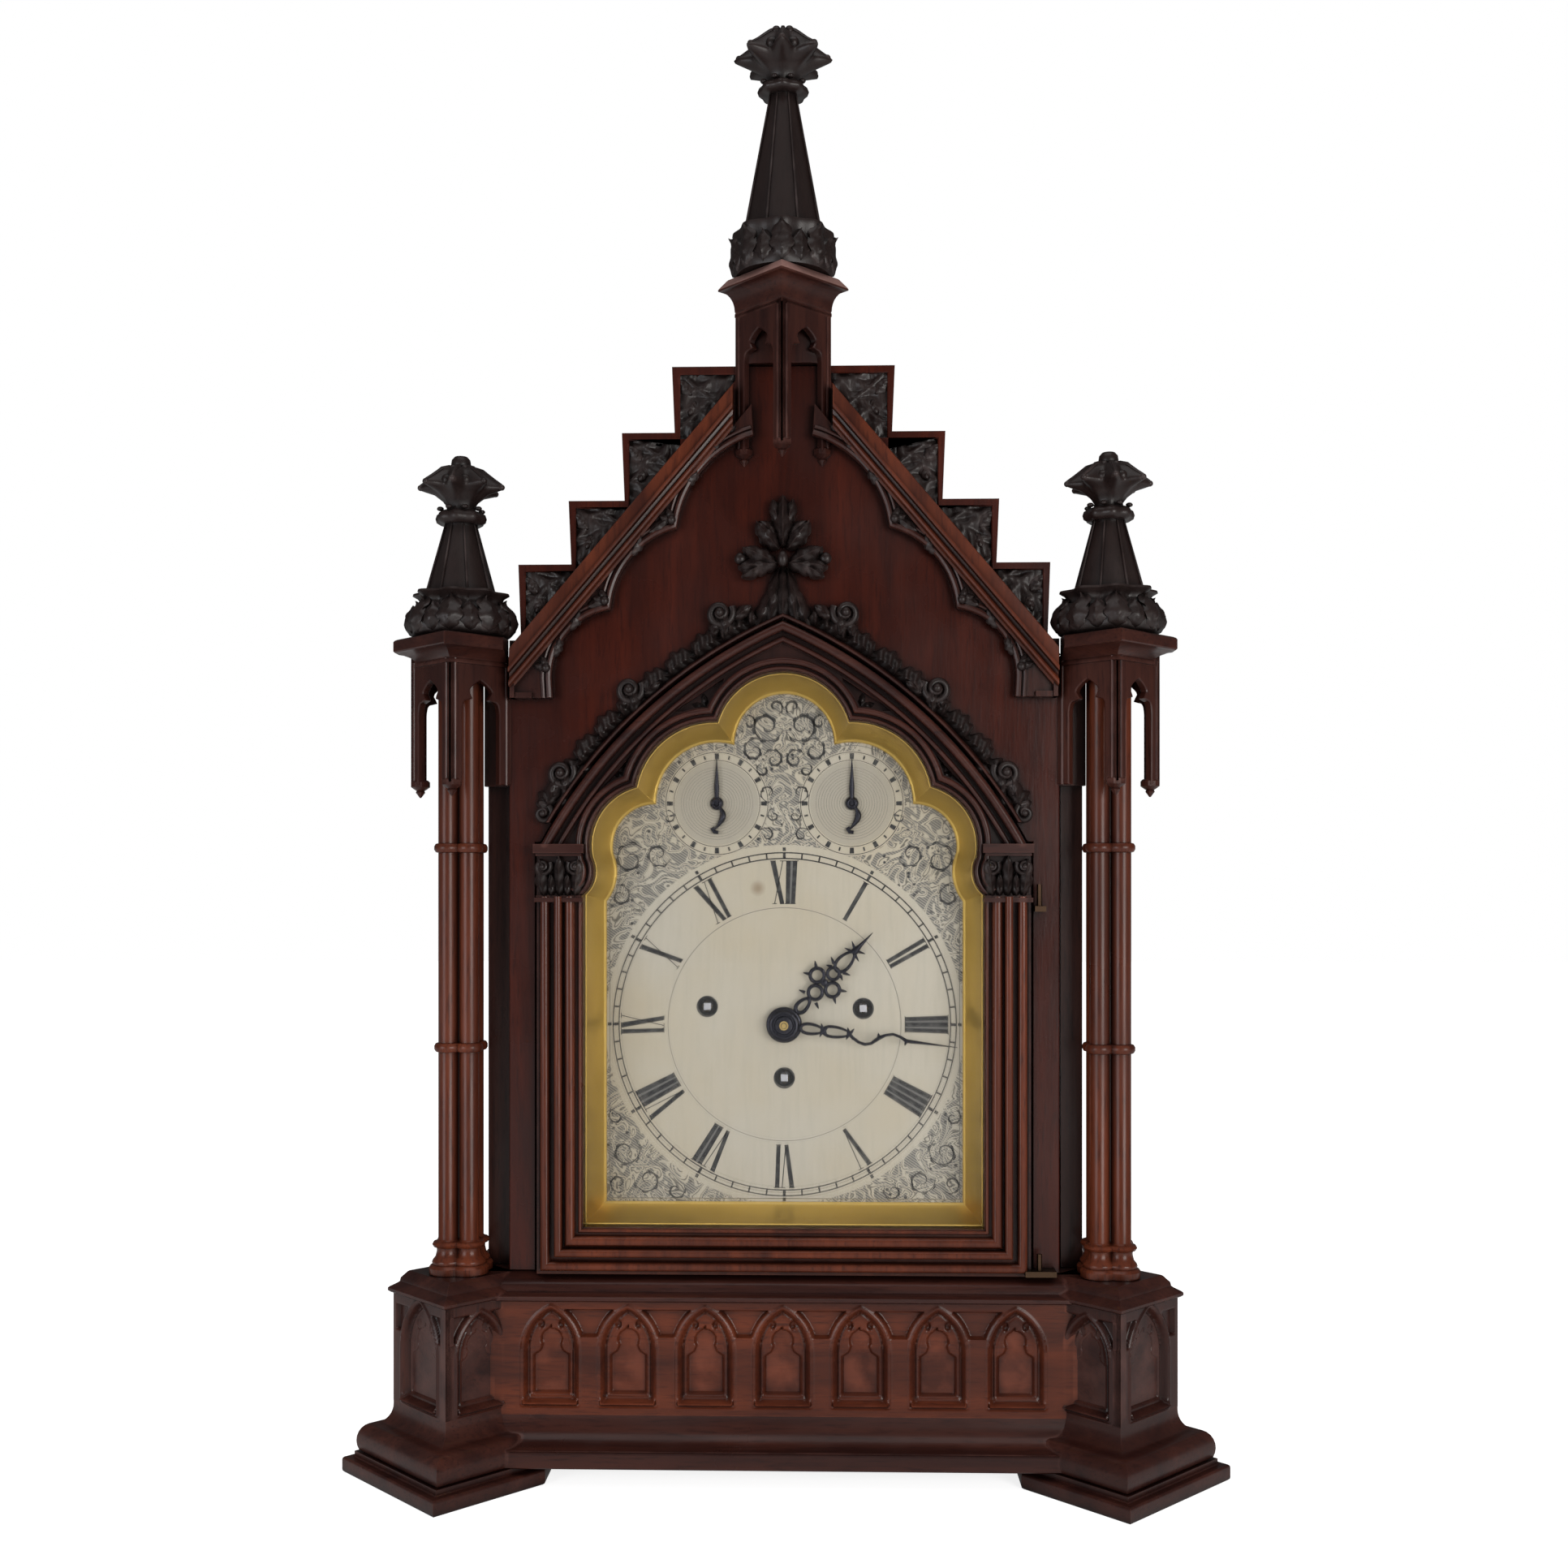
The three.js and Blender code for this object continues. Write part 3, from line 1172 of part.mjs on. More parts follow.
function makeBarrel([x, z]) {
  return turnedAlongY([
    [0, plateInnerFront + seam], [arborRadius + 1, plateInnerFront + seam], [arborRadius + 1, barrelFront],
    [barrelRadius, barrelFront], [barrelRadius, barrelBack],
    [arborRadius + 1, barrelBack], [arborRadius + 1, backPlateY - seam], [0, backPlateY - seam],
  ], 12, x, z);
}

// a fusee: a cone with hollow flanks for the line, its great wheel, and a square for the winding key
function makeFusee([x, z], teeth, pitch, phase) {
  const flank = Array.from({ length: 4 }, (_, i) => {
    const share = i / 3;
    const radius = 1 / ((1 - share) / fuseeSmall + share / fuseeLarge);
    return [radius, fuseeFront + 2 + (fuseeBack - fuseeFront - 2) * share];
  });
  const cone = turnedAlongY([
    [0, plateInnerFront - plateThickness - 1], [windingArborRadius, plateInnerFront - plateThickness - 1],
    [windingArborRadius, fuseeFront], [fuseeSmall + 3, fuseeFront], [fuseeSmall + 3, fuseeFront + 1.5],
    ...flank, [windingArborRadius, fuseeBack + 0.5], [windingArborRadius, backPlateY - seam], [0, backPlateY - seam],
  ], 10, x, z);
  const square = board(ring(x, z, windingArborRadius - 0.2, 4), dialFace + 3.5, plateInnerFront - 1);
  return fuse(cone, square, wheel(teeth, pitch, phase, x, z, greatWheelY, greatWheelY + wheelThickness));
}

function spokes(cx, cz, hub, rim, front, back) {
  return [0, 1, 2, 3].map((quarter) => {
    const turn = quarter * Math.PI / 2 + Math.PI / 4;
    const spread = 0.5;
    const inner = arc(cx, cz, hub, turn - spread, turn + spread, 1);
    const outer = arc(cx, cz, rim, turn + spread * 1.15, turn - spread * 1.15, 2);
    return board([...inner, ...outer], front - 1, back + 1);
  });
}

function makeCentreWheel() {
  const back = trainWheelY + wheelThickness;
  const pitch = trainModule * centreTeeth / 2;
  return fuse(
    carve(wheel(centreTeeth, pitch, Math.PI / 2, 0, centreZ, trainWheelY, back),
      spokes(0, centreZ, 5, pitch - 3, trainWheelY, back)),
    rodAlongY(0, centreZ, arborRadius, minuteHandY - 3, backPlateY - seam),
    wheel(centrePinionTeeth, greatDistance - greatPitch, Math.PI / 2, 0, centreZ, greatWheelY - 2, greatWheelY + 5),
  );
}

function makeThirdWheel() {
  const back = thirdWheelY + wheelThickness;
  const pitch = trainModule * thirdTeeth / 2;
  return fuse(
    carve(wheel(thirdTeeth, pitch, Math.PI / 2, 0, thirdZ, thirdWheelY, back),
      spokes(0, thirdZ, 5, pitch - 3, thirdWheelY, back)),
    wheel(thirdPinionTeeth, trainModule * thirdPinionTeeth / 2, -Math.PI / 2 + Math.PI / thirdPinionTeeth,
      0, thirdZ, trainWheelY - 1, thirdWheelY + 1),
    rodAlongY(0, thirdZ, arborRadius, plateInnerFront + seam, backPlateY - seam),
  );
}

function makeEscapeWheel() {
  const back = escapeWheelY + wheelThickness;
  const step = TURN / escapeTeeth;
  const rim = Array.from({ length: escapeTeeth }, (_, i) => [
    [escapeRadius * Math.sin(i * step), escapeRadius * Math.cos(i * step)],
    [(escapeRadius - 2.2) * Math.sin((i + 0.35) * step), (escapeRadius - 2.2) * Math.cos((i + 0.35) * step)],
  ]).flat().map(([x, z]) => [x, z + escapeZ]).reverse();
  return fuse(
    board(rim, escapeWheelY, back),
    wheel(escapePinionTeeth, trainModule * escapePinionTeeth / 2, -Math.PI / 2 + Math.PI / escapePinionTeeth,
      0, escapeZ, thirdWheelY - 1, escapeWheelY + 1),
    rodAlongY(0, escapeZ, arborRadius, plateInnerFront + seam, backPlateY - seam),
  );
}

// the anchor straddles the escape wheel; its arbor passes the back plate and ends in the crutch
function makeAnchor() {
  const spread = escapeRadius * 0.72;
  const reach = pendulumPivotZ - escapeZ;
  const clear = 1.2;
  const outerX = spread + 5;
  const tipZ = escapeZ + escapeRadius * 0.72 - 1;
  const outline = mirrored([
    [outerX - 3, tipZ], [outerX, tipZ + 1], [outerX - 1, pendulumPivotZ - 3], [3, pendulumPivotZ + 4],
  ]);
  const hollow = mirrored([
    [outerX - 3.6, tipZ - 2], [outerX - 3.6, escapeZ + reach * 0.55],
    [4, pendulumPivotZ - 4.5], [0, pendulumPivotZ - 4],
  ]);
  const rim = rodAlongY(0, escapeZ, escapeRadius + clear, escapeWheelY - 2, escapeWheelY + 5, 24);
  const back = escapeWheelY + wheelThickness;
  return fuse(
    carve(board(outline, escapeWheelY, back), board(hollow, escapeWheelY - 1, back + 1), rim),
    rodAlongY(0, pendulumPivotZ, arborRadius + 0.5, plateInnerFront + seam, pendulumY - 4),
    board(rectangle(-1.5, 1.5, pendulumPivotZ - crutchLength, pendulumPivotZ), pendulumY - 6, pendulumY - 4),
  );
}

function makePendulumRod() {
  return fuse(
    board(rectangle(-1.5, 1.5, bobZ - bobRadius - 12, pendulumPivotZ), pendulumY - 1, pendulumY + 1),
    board(rectangle(-3, 3, pendulumPivotZ - 8, chopsBottom - seam), pendulumY - 2, pendulumY + 2),
  );
}

function makePendulumBob() {
  const half = 6;
  const lens = turnedAlongY([
    [0, pendulumY - half], [bobRadius * 0.6, pendulumY - half * 0.8], [bobRadius, pendulumY - 1],
    [bobRadius, pendulumY + 1], [bobRadius * 0.6, pendulumY + half * 0.8], [0, pendulumY + half],
  ], 16, 0, bobZ);
  const slot = board(rectangle(-1.5 - seam, 1.5 + seam, bobZ - bobRadius - 1, bobZ + bobRadius + 1),
    pendulumY - 1 - seam, pendulumY + 1 + seam);
  return carve(lens, slot);
}

function makeSeatBoard() {
  const width = carcassHalfWidth - sideThickness - seam;
  const front = frontPlateY - 4;
  const back = backPlateY + 4;
  const low = seatTop - seatThickness;
  const leg = post(rectangle(width - 14, width, front, back), low - seatLeg, low + 1);
  return fuse(post(rectangle(-width, width, front, back), low, seatTop), leg, mirrorX(leg));
}

function makeBell() {
  const wall = 1.6;
  const foot = plateTop + seam;
  const rise = bellRadius * 0.55;
  const rim = bellZ - rise;
  const middle = (plateInnerFront + backPlateY) / 2;
  const quarter = (radius, height) => (
    arc(0, 0, 1, 0, Math.PI / 2, 3).slice(0, -1).map(([c, s]) => [radius * c, rim + height * s])
  );
  const outside = [[0, rim], ...quarter(bellRadius, rise), [0, bellZ]];
  const inside = [
    [0, rim - 1], [bellRadius - wall, rim - 1], ...quarter(bellRadius - wall, rise - wall), [0, bellZ - wall],
  ];
  return fuse(
    carve(turned(outside, 12, 0, middle), turned(inside, 12, 0, middle)),
    turned([[0, foot], [3, foot], [3, bellZ + 4], [0, bellZ + 4]], 8, 0, middle),
    post(rectangle(-9, 9, frontPlateY, backPlateY + plateThickness), foot, foot + 3),
  );
}

function makeBellHammer() {
  const middle = (plateInnerFront + backPlateY) / 2;
  const [pivotX, pivotZ] = hammerPivot;
  const headX = bellRadius + hammerHead + hammerRest;
  const headZ = bellZ - bellRadius * 0.5;
  return fuse(
    rodAlongY(pivotX, pivotZ, 2, plateInnerFront + seam, backPlateY - seam),
    board([[pivotX - 1.5, pivotZ], [pivotX + 1.5, pivotZ], [headX + 1.5, headZ], [headX - 1.5, headZ]],
      middle - 1.5, middle + 1.5),
    lump(headX, middle, headZ, hammerHead, hammerHead, hammerHead, 7, 4),
  );
}

// ------------------------------------------------------------------ carcass
function sideBoard(outline, inner, outer, holes = []) {
  return board(outline, -outer, -inner, holes).rotateZ(Math.PI / 2);
}

function makeSide() {
  const outer = carcassHalfWidth;
  const inner = outer - sideThickness;
  const front = boardThickness + seam;
  const back = caseDepth - backThickness - seam;
  return carve(
    sideBoard(rectangle(front, back, caseBottom + seam, slabBottom), inner, outer),
    sideBoard(lancet(fretCentreY, fretHalfWidth, fretBottom, fretSpring, fretRadius, 6), inner - 1, outer + 1),
  );
}

function makeSoundFret() {
  const middle = carcassHalfWidth - sideThickness / 2;
  const pitchY = 2 * (fretHalfWidth - 6) / fretColumns;
  const pitchZ = (fretSpring + 30 - fretBottom - 12) / fretRows;
  const holes = [];
  for (let column = 0; column < fretColumns; column++) {
    for (let row = 0; row < fretRows; row++) {
      const y = fretCentreY + (column - (fretColumns - 1) / 2) * pitchY;
      const z = fretBottom + 12 + (row + 0.5) * pitchZ;
      const half = Math.min(pitchY, pitchZ) * 0.36;
      holes.push(diamond(y, z, half));
    }
  }
  return sideBoard(lancet(fretCentreY, fretHalfWidth - seam, fretBottom + seam, fretSpring, fretRadius, 6),
    middle - 1.5, middle + 1.5, holes);
}

function roofOutline(inset) {
  const foot = carcassHalfWidth - sideThickness - inset;
  return mirrored([[foot, slabBottom + seam], [ridgeHalfWidth - inset / 2, ridgeZ - inset]]);
}

function makeRoof() {
  const front = boardThickness + seam;
  const back = caseDepth - backThickness - seam;
  return carve(
    board(roofOutline(0), front, back),
    board(roofOutline(roofThickness * 1.3).map(([x, z]) => [x, z - 0.5]), front - 1, back + 1),
  );
}

function makeBackFrame() {
  const front = caseDepth - backThickness;
  const outline = mirrored([
    [carcassHalfWidth, caseBottom + seam], [carcassHalfWidth, slabBottom],
    [carcassHalfWidth - sideThickness, slabBottom], [ridgeHalfWidth, ridgeZ],
  ]);
  const opening = rectangle(-backOpeningHalfWidth, backOpeningHalfWidth, backOpeningBottom, backOpeningTop);
  return carve(board(outline, front, caseDepth, [opening]), rearHingeParts(0.4));
}

const rearDoorBack = caseDepth - 6;
const rearHingeRadius = 1.9;
const rearHingeX = -backOpeningHalfWidth + rearDoorGap / 2;

// knuckle and case-side leaf of the rear hinge, grown by a clearance
function rearHingeParts(clearance) {
  const low = backOpeningBottom + rearHingeInset - clearance;
  const high = backOpeningTop - rearHingeInset + clearance;
  const leafEnd = -backOpeningHalfWidth - rearHingeLeaf - clearance;
  const half = 0.5 + 0.75 * clearance;
  return [
    post(ring(rearHingeX, rearDoorBack, rearHingeRadius + clearance, 10), low, high),
    post(rectangle(leafEnd, -backOpeningHalfWidth, rearDoorBack - half, rearDoorBack + half), low, high),
  ];
}

function rearDoorRectangle(inset) {
  return rectangle(-backOpeningHalfWidth + inset, backOpeningHalfWidth - inset,
    backOpeningBottom + inset, backOpeningTop - inset);
}

function makeRearDoor() {
  const front = rearDoorBack - rearDoorThickness;
  return carve(
    board(rearDoorRectangle(rearDoorGap), front, rearDoorBack, [rearDoorRectangle(rearDoorRail)]),
    board(rearDoorRectangle(rearDoorRail - rearGlassRebate), front - 1, front + glassThickness + 2 * seam),
    rearHingeParts(0.5)[0],
    rodAlongY(rearKnobX, rearKnobZ, 2.5 + seam, front - 1, rearDoorBack + 1, 10),
  );
}

function makeRearGlass() {
  const front = rearDoorBack - rearDoorThickness + seam;
  return board(rearDoorRectangle(rearDoorRail - rearGlassRebate + seam), front, front + glassThickness);
}

function makeRearKnob() {
  const front = rearDoorBack - rearDoorThickness;
  const grip = board(rectangle(rearKnobX - 2, rearKnobX + 2, rearKnobZ - 9, rearKnobZ + 9),
    rearDoorBack + 1.5, caseDepth - 0.5, [], 0.8);
  return fuse(
    turnedAlongY([[0, front], [2.5, front], [2.5, rearDoorBack + seam], [7, rearDoorBack + seam],
      [7, rearDoorBack + 2], [0, rearDoorBack + 2]], 12, rearKnobX, rearKnobZ),
    grip,
  );
}

// ------------------------------------------------------------------ the assembled clock
const finishes = {
  mahogany: new THREE.MeshStandardMaterial({ color: 0x4a1a12, roughness: 0.45 }),
  darkCarving: new THREE.MeshStandardMaterial({ color: 0x2a1512, roughness: 0.6 }),
  gilt: new THREE.MeshStandardMaterial({ color: 0xb98c2e, roughness: 0.4, metalness: 0.8 }),
  silvered: new THREE.MeshStandardMaterial({ color: 0xb9b3a2, roughness: 0.5, metalness: 0.6 }),
  blued: new THREE.MeshStandardMaterial({ color: 0x16171c, roughness: 0.35, metalness: 0.8 }),
  brass: new THREE.MeshStandardMaterial({ color: 0xa8843c, roughness: 0.35, metalness: 0.9 }),
  steel: new THREE.MeshStandardMaterial({ color: 0x8a8c8e, roughness: 0.35, metalness: 0.9 }),
  glass: new THREE.MeshStandardMaterial({ color: 0xdfe6e4, roughness: 0.05, transparent: true, opacity: 0.2 }),
};

function toGeometry(shape) {
  const mesh = shape.getMesh();
  const geometry = new THREE.BufferGeometry();
  geometry.setAttribute('position', new THREE.Float32BufferAttribute(Array.from(mesh.vertProperties), 3));
  geometry.setIndex(Array.from(mesh.triVerts));
  return geometry;
}

const clock = new THREE.Group();

// facets that lie within this distance of a simpler surface are merged
const facetTolerance = 0.02;

function add(name, shape, finish) {
  const geometry = toGeometry(solid(shape).asOriginal().simplify(facetTolerance));
  geometry.computeVertexNormals();
  const mesh = new THREE.Mesh(geometry, finishes[finish]);
  mesh.name = name;
  clock.add(mesh);
}

// a right-hand piece and its mirror image
function addPair(name, shape, finish) {
  add(`${name}_right`, shape, finish);
  add(`${name}_left`, mirrorX(shape), finish);
}

addPair('front_foot', makeFoot(), 'mahogany');
add('plinth', makePlinth(), 'mahogany');
addPair('pedestal', makePedestal(), 'mahogany');
addPair('column', makeColumn(), 'mahogany');
addPair('canopy', makeCanopy(), 'mahogany');
addPair('pinnacle', makeSidePinnacle(), 'darkCarving');

add('case_front', makeCaseFront(), 'mahogany');
addPair('gable_rake', makeRake(), 'mahogany');
add('tower', makeTower(), 'mahogany');
add('central_spire', makeCentralSpire(), 'darkCarving');
add('hood_mould', makeHoodMould(), 'darkCarving');

addPair('case_side', makeSide(), 'mahogany');
addPair('sound_fret', makeSoundFret(), 'brass');
add('roof', makeRoof(), 'mahogany');
add('back_frame', makeBackFrame(), 'mahogany');
add('rear_hinge', fuse(rearHingeParts(0)), 'brass');
add('rear_door', makeRearDoor(), 'mahogany');
add('rear_glass', makeRearGlass(), 'glass');
add('rear_knob', makeRearKnob(), 'brass');

add('door_frame', makeDoorFrame(), 'mahogany');
add('door_glass', makeDoorGlass(), 'glass');
add('door_lock', makeDoorLock(), 'brass');
add('lock_bolt', makeLockBolt(), 'brass');
add('hinge_lower', makeHingeLower(), 'brass');
add('hinge_upper', makeHingeUpper(), 'brass');

add('dial_surround', makeDialSurround(), 'mahogany');
add('dial_mask', makeDialMask(), 'gilt');
add('dial_plate', makeDialPlate(), 'silvered');
add('hour_hand', makeHourHand(), 'blued');
add('minute_hand', makeMinuteHand(), 'blued');
add('strike_pointer', makePointer(-1), 'blued');
add('chime_pointer', makePointer(1), 'blued');

add('cannon_wheel', makeCannonWheel(), 'brass');
add('minute_wheel', makeMinuteWheel(), 'brass');
add('hour_wheel', makeHourWheel(), 'brass');

add('seat_board', makeSeatBoard(), 'mahogany');
add('front_plate', makeFrontPlate(), 'brass');
add('back_plate', makeBackPlate(), 'brass');
for (const [train, centre] of Object.entries(barrelCentres)) {
  add(`${train}_barrel`, makeBarrel(centre), 'brass');
}
add('time_fusee', makeFusee(timeArbor, greatTeeth, greatPitch, Math.PI / 2 + Math.PI / greatTeeth), 'brass');
add('strike_fusee', makeFusee(strikeArbor, sideGreatTeeth, sideGreatPitch, 0), 'brass');
add('chime_fusee', makeFusee(chimeArbor, sideGreatTeeth, sideGreatPitch, 0), 'brass');
add('centre_wheel', makeCentreWheel(), 'brass');
add('third_wheel', makeThirdWheel(), 'brass');
add('escape_wheel', makeEscapeWheel(), 'brass');
add('anchor', makeAnchor(), 'steel');
add('pendulum_rod', makePendulumRod(), 'steel');
add('pendulum_bob', makePendulumBob(), 'brass');
add('bell', makeBell(), 'brass');
add('bell_hammer', makeBellHammer(), 'steel');

// centred front to back between the front feet and the back of the case
clock.position.y = (footReach - caseDepth) / 2;

export default clock;
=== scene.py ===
import math

import bmesh
import bpy
import numpy as np
from bpy.props import FloatProperty, FloatVectorProperty, PointerProperty
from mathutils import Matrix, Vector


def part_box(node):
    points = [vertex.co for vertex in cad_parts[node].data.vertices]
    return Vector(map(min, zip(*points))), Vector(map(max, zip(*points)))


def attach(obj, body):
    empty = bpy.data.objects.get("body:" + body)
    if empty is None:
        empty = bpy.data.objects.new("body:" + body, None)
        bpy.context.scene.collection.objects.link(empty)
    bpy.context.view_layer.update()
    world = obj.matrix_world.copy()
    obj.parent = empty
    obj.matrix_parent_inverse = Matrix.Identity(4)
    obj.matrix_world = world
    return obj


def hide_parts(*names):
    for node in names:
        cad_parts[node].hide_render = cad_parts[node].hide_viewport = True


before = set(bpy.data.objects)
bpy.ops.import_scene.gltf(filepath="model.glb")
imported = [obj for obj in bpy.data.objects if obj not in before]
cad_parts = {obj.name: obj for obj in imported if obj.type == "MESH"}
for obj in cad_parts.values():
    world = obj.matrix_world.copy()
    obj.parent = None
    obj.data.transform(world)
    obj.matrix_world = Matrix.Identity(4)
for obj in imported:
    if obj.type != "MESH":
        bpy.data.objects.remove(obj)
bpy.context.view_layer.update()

bl_info = {
    "name": "Gothic Bracket Clock",
    "version": (1, 0, 0),
    "blender": (4, 5, 0),
    "location": "View3D > Sidebar > Clock",
    "description": "Dresses a Gothic bracket clock: mouldings, carving, engraved dial, hands and finishes",
    "category": "Object",
}

# Shapes are worked out in millimetres, y = 0 in the plane of the column centres, -y towards the viewer.
MM = 0.001


def extent(node):
    """Lowest and highest corner of a node of the frame, in millimetres of the clock's own frame."""
    low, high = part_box(node)
    return np.array(low) / MM, np.array(high) / MM


COLUMN_X, COLUMN_Y, _ = sum(extent("column_right")) / 2
CASE_HALF = extent("case_front")[1][0]


def level(node, top=True):
    """Height of the top or the foot of a node."""
    return extent(node)[1 if top else 0][2]


# ---------------------------------------------------------------- outlines, as arrays of (x, z) points
def arc(cx, cz, radius, start, end, count=16):
    """Points on a circle from one angle to another, angles in radians."""
    angle = np.linspace(start, end, count)
    return np.stack([cx + radius * np.cos(angle), cz + radius * np.sin(angle)], axis=1)


def circle(cx, cz, radius, count):
    """Evenly spaced points right round a circle."""
    return arc(cx, cz, radius, 0, 2 * math.pi, count + 1)[:-1]


def full_turn(count):
    """Angles evenly spaced round a circle."""
    return np.linspace(0, 2 * math.pi, count, endpoint=False)


def mirrored(right):
    """Adds the left half, point by point reversed, to a right half that ends on the middle line."""
    left = right[np.abs(right[:, 0]) > 1e-6][::-1] * [-1, 1]
    return np.vstack([right, left])


def lancet(half, foot, spring, radius, count=12):
    """Pointed arch: two arcs of the given radius whose centres lie on the springing line."""
    centre = half - radius
    crown = math.acos(-centre / radius)
    return mirrored(np.vstack([[[half, foot]], arc(centre, spring, radius, 0, crown, count)]))


def circles_meet(a, b, inner):
    """Of the two points where circles (x, z, radius) cross, the one further from the inner point."""
    (ax, az, ar), (bx, bz, br) = a, b
    gap = math.hypot(bx - ax, bz - az)
    along = (gap ** 2 + ar ** 2 - br ** 2) / (2 * gap)
    across = math.sqrt(max(ar ** 2 - along ** 2, 0))
    unit = np.array([bx - ax, bz - az]) / gap
    square = across * np.array([-unit[1], unit[0]])
    both = [np.array([ax, az]) + along * unit + side * square for side in (1, -1)]
    return max(both, key=lambda p: math.hypot(*(p - inner)))


def arc_between(circle, start, end, count):
    """The shorter arc of a circle (x, z, radius) from one of its points to another."""
    cx, cz, radius = circle
    first = math.atan2(start[1] - cz, start[0] - cx)
    turn = math.atan2(end[1] - cz, end[0] - cx) - first
    turn = (turn + math.pi) % (2 * math.pi) - math.pi
    return arc(cx, cz, radius, first, first + turn, count)


# circles of the visible dial's head: x, z, radius
TOP_FOIL = (0, 408.7, 28.5)
UPPER_FOIL = (38.5, 374.9, 34.8)
LOWER_FOIL = (74, 350.4, 24)
NECK_FOIL = (122.6, 336, 27.1)
DIAL_HALF = 101.5
DIAL_BOTTOM = 147.8
DIAL_CENTRE_Z = 248.9


def foil_head(offset, count=14):
    """Right half of the cusped head, from the neck to the crown, moved outwards by a distance."""
    grow = [(x, z, r + offset) for x, z, r in (TOP_FOIL, UPPER_FOIL, LOWER_FOIL)]
    top, upper, lower = grow
    neck = (NECK_FOIL[0], NECK_FOIL[1], NECK_FOIL[2] - offset)
    middle = np.array([0, LOWER_FOIL[1]])
    side = DIAL_HALF + offset
    start = np.array([side, neck[1] - math.sqrt(neck[2] ** 2 - (neck[0] - side) ** 2)])
    low = circles_meet(neck, lower, middle)
    mid = circles_meet(lower, upper, middle)
    high = circles_meet(upper, top, middle)
    crown = np.array([0, top[1] + top[2]])
    return np.vstack([
        arc_between(neck, start, low, count),
        arc_between(lower, low, mid, count)[1:],
        arc_between(upper, mid, high, count)[1:],
        arc_between(top, high, crown, count)[1:],
    ])


def foils(offset, count=14):
    """Closed outline of the visible dial moved outwards: cusped head on straight sides."""
    return mirrored(np.vstack([[[DIAL_HALF + offset, DIAL_BOTTOM - offset]], foil_head(offset, count)]))


DOOR_HALF = 137
DOOR_BOTTOM = 114.2
DOOR_SPRING = 351
HOOD_RADIUS = 280
HOOD_CENTRE = np.array([-112, 218])      # centre of the right-hand arc of the hood


def hood(offset, from_z, count=32):
    """Right-hand arc of the door's hood, moved outwards, from a height to the apex."""
    radius = HOOD_RADIUS + offset
    start = math.asin((from_z - HOOD_CENTRE[1]) / radius)
    end = math.acos(-HOOD_CENTRE[0] / radius)
    return arc(*HOOD_CENTRE, radius, start, end, count)


def door_outline(offset, count=32):
    """Closed outline of the door moved outwards by a distance."""
    side = DOOR_HALF + offset
    corner = [[side, DOOR_BOTTOM - offset], [side, DOOR_SPRING + offset]]
    return mirrored(np.vstack([corner, hood(offset, DOOR_SPRING + offset, count)]))


def inside(points, outline):
    """Signed distance of points from a closed outline, positive inside it."""
    a = outline
    b = np.roll(outline, -1, axis=0)
    shortest = np.full(points.shape[:-1], np.inf)
    crossings = np.zeros(points.shape[:-1], int)
    for (ax, az), (bx, bz) in zip(a, b):
        run = np.array([bx - ax, bz - az])
        length = run @ run
        if length < 1e-12:
            continue
        rel = points - [ax, az]
        share = np.clip((rel @ run) / length, 0, 1)
        shortest = np.minimum(shortest, np.linalg.norm(rel - share[..., None] * run, axis=-1))
        straddles = (points[..., 1] < az) != (points[..., 1] < bz)
        if bz != az:
            crossing_x = ax + (points[..., 1] - az) * run[0] / (bz - az)
            crossings += straddles & (points[..., 0] < crossing_x)
    return np.where(crossings % 2 == 1, shortest, -shortest)


def smooth_step(value, low, high):
    """0 below low, 1 above high, with a soft S between."""
    share = np.clip((value - low) / (high - low), 0, 1)
    return share * share * (3 - 2 * share)


# ---------------------------------------------------------------- shells: (points, faces) in millimetres
def grid_faces(rows, columns, wrap_rows=False, wrap_columns=False):
    """Quads between neighbouring points of a grid; wrapping joins its last line to its first."""
    row = np.arange(rows if wrap_rows else rows - 1)[:, None]
    column = np.arange(columns if wrap_columns else columns - 1)[None, :]
    right = (column + 1) % columns
    below = (row + 1) % rows
    corners = [row * columns + column, row * columns + right, below * columns + right,
               below * columns + column]
    return np.stack([c.ravel() for c in corners], axis=1).tolist()


def loft(rings):
    """Closed rings of equal count joined one after another, with a flat face on each end."""
    rings = np.asarray(rings, float)
    rows, columns, _ = rings.shape
    faces = grid_faces(rows, columns, wrap_columns=True)
    faces.append(list(range(columns)))
    faces.append(list(range((rows - 1) * columns, rows * columns)))
    return rings.reshape(-1, 3), faces


def loop(rings):
    """Closed rings joined one after another and the last to the first, as a picture frame is."""
    rings = np.asarray(rings, float)
    rows, columns, _ = rings.shape
    return rings.reshape(-1, 3), grid_faces(rows, columns, True, True)


def join(shells):
    """One shell that holds them all."""
    points, faces, start = [], [], 0
    for some, theirs in shells:
        points.append(some)
        faces += [[start + i for i in face] for face in theirs]
        start += len(some)
    return np.vstack(points), faces


def raised(plan, z):
    """A plan outline (x, y) lifted to a height."""
    return np.column_stack([plan, np.full(len(plan), z)])


def stack(plan, profile, cx=0.0, cy=0.0):
    """A plan outline (x, y) scaled by each radius of the profile and lifted to its height."""
    return loft([raised(radius * plan + [cx, cy], z) for radius, z in profile])


def polygon(sides, turn=0.0):
    """Corners of a regular polygon of unit radius."""
    angle = turn + np.arange(sides) * 2 * math.pi / sides
    return np.stack([np.cos(angle), np.sin(angle)], axis=1)


DIAMOND = polygon(4)


def box_shell(low, high):
    """A rectangular block between two corners."""
    (x0, y0, z0), (x1, y1, z1) = low, high
    plan = np.array([[x0, y0], [x1, y0], [x1, y1], [x0, y1]], float)
    return loft([raised(plan, z) for z in (z0, z1)])


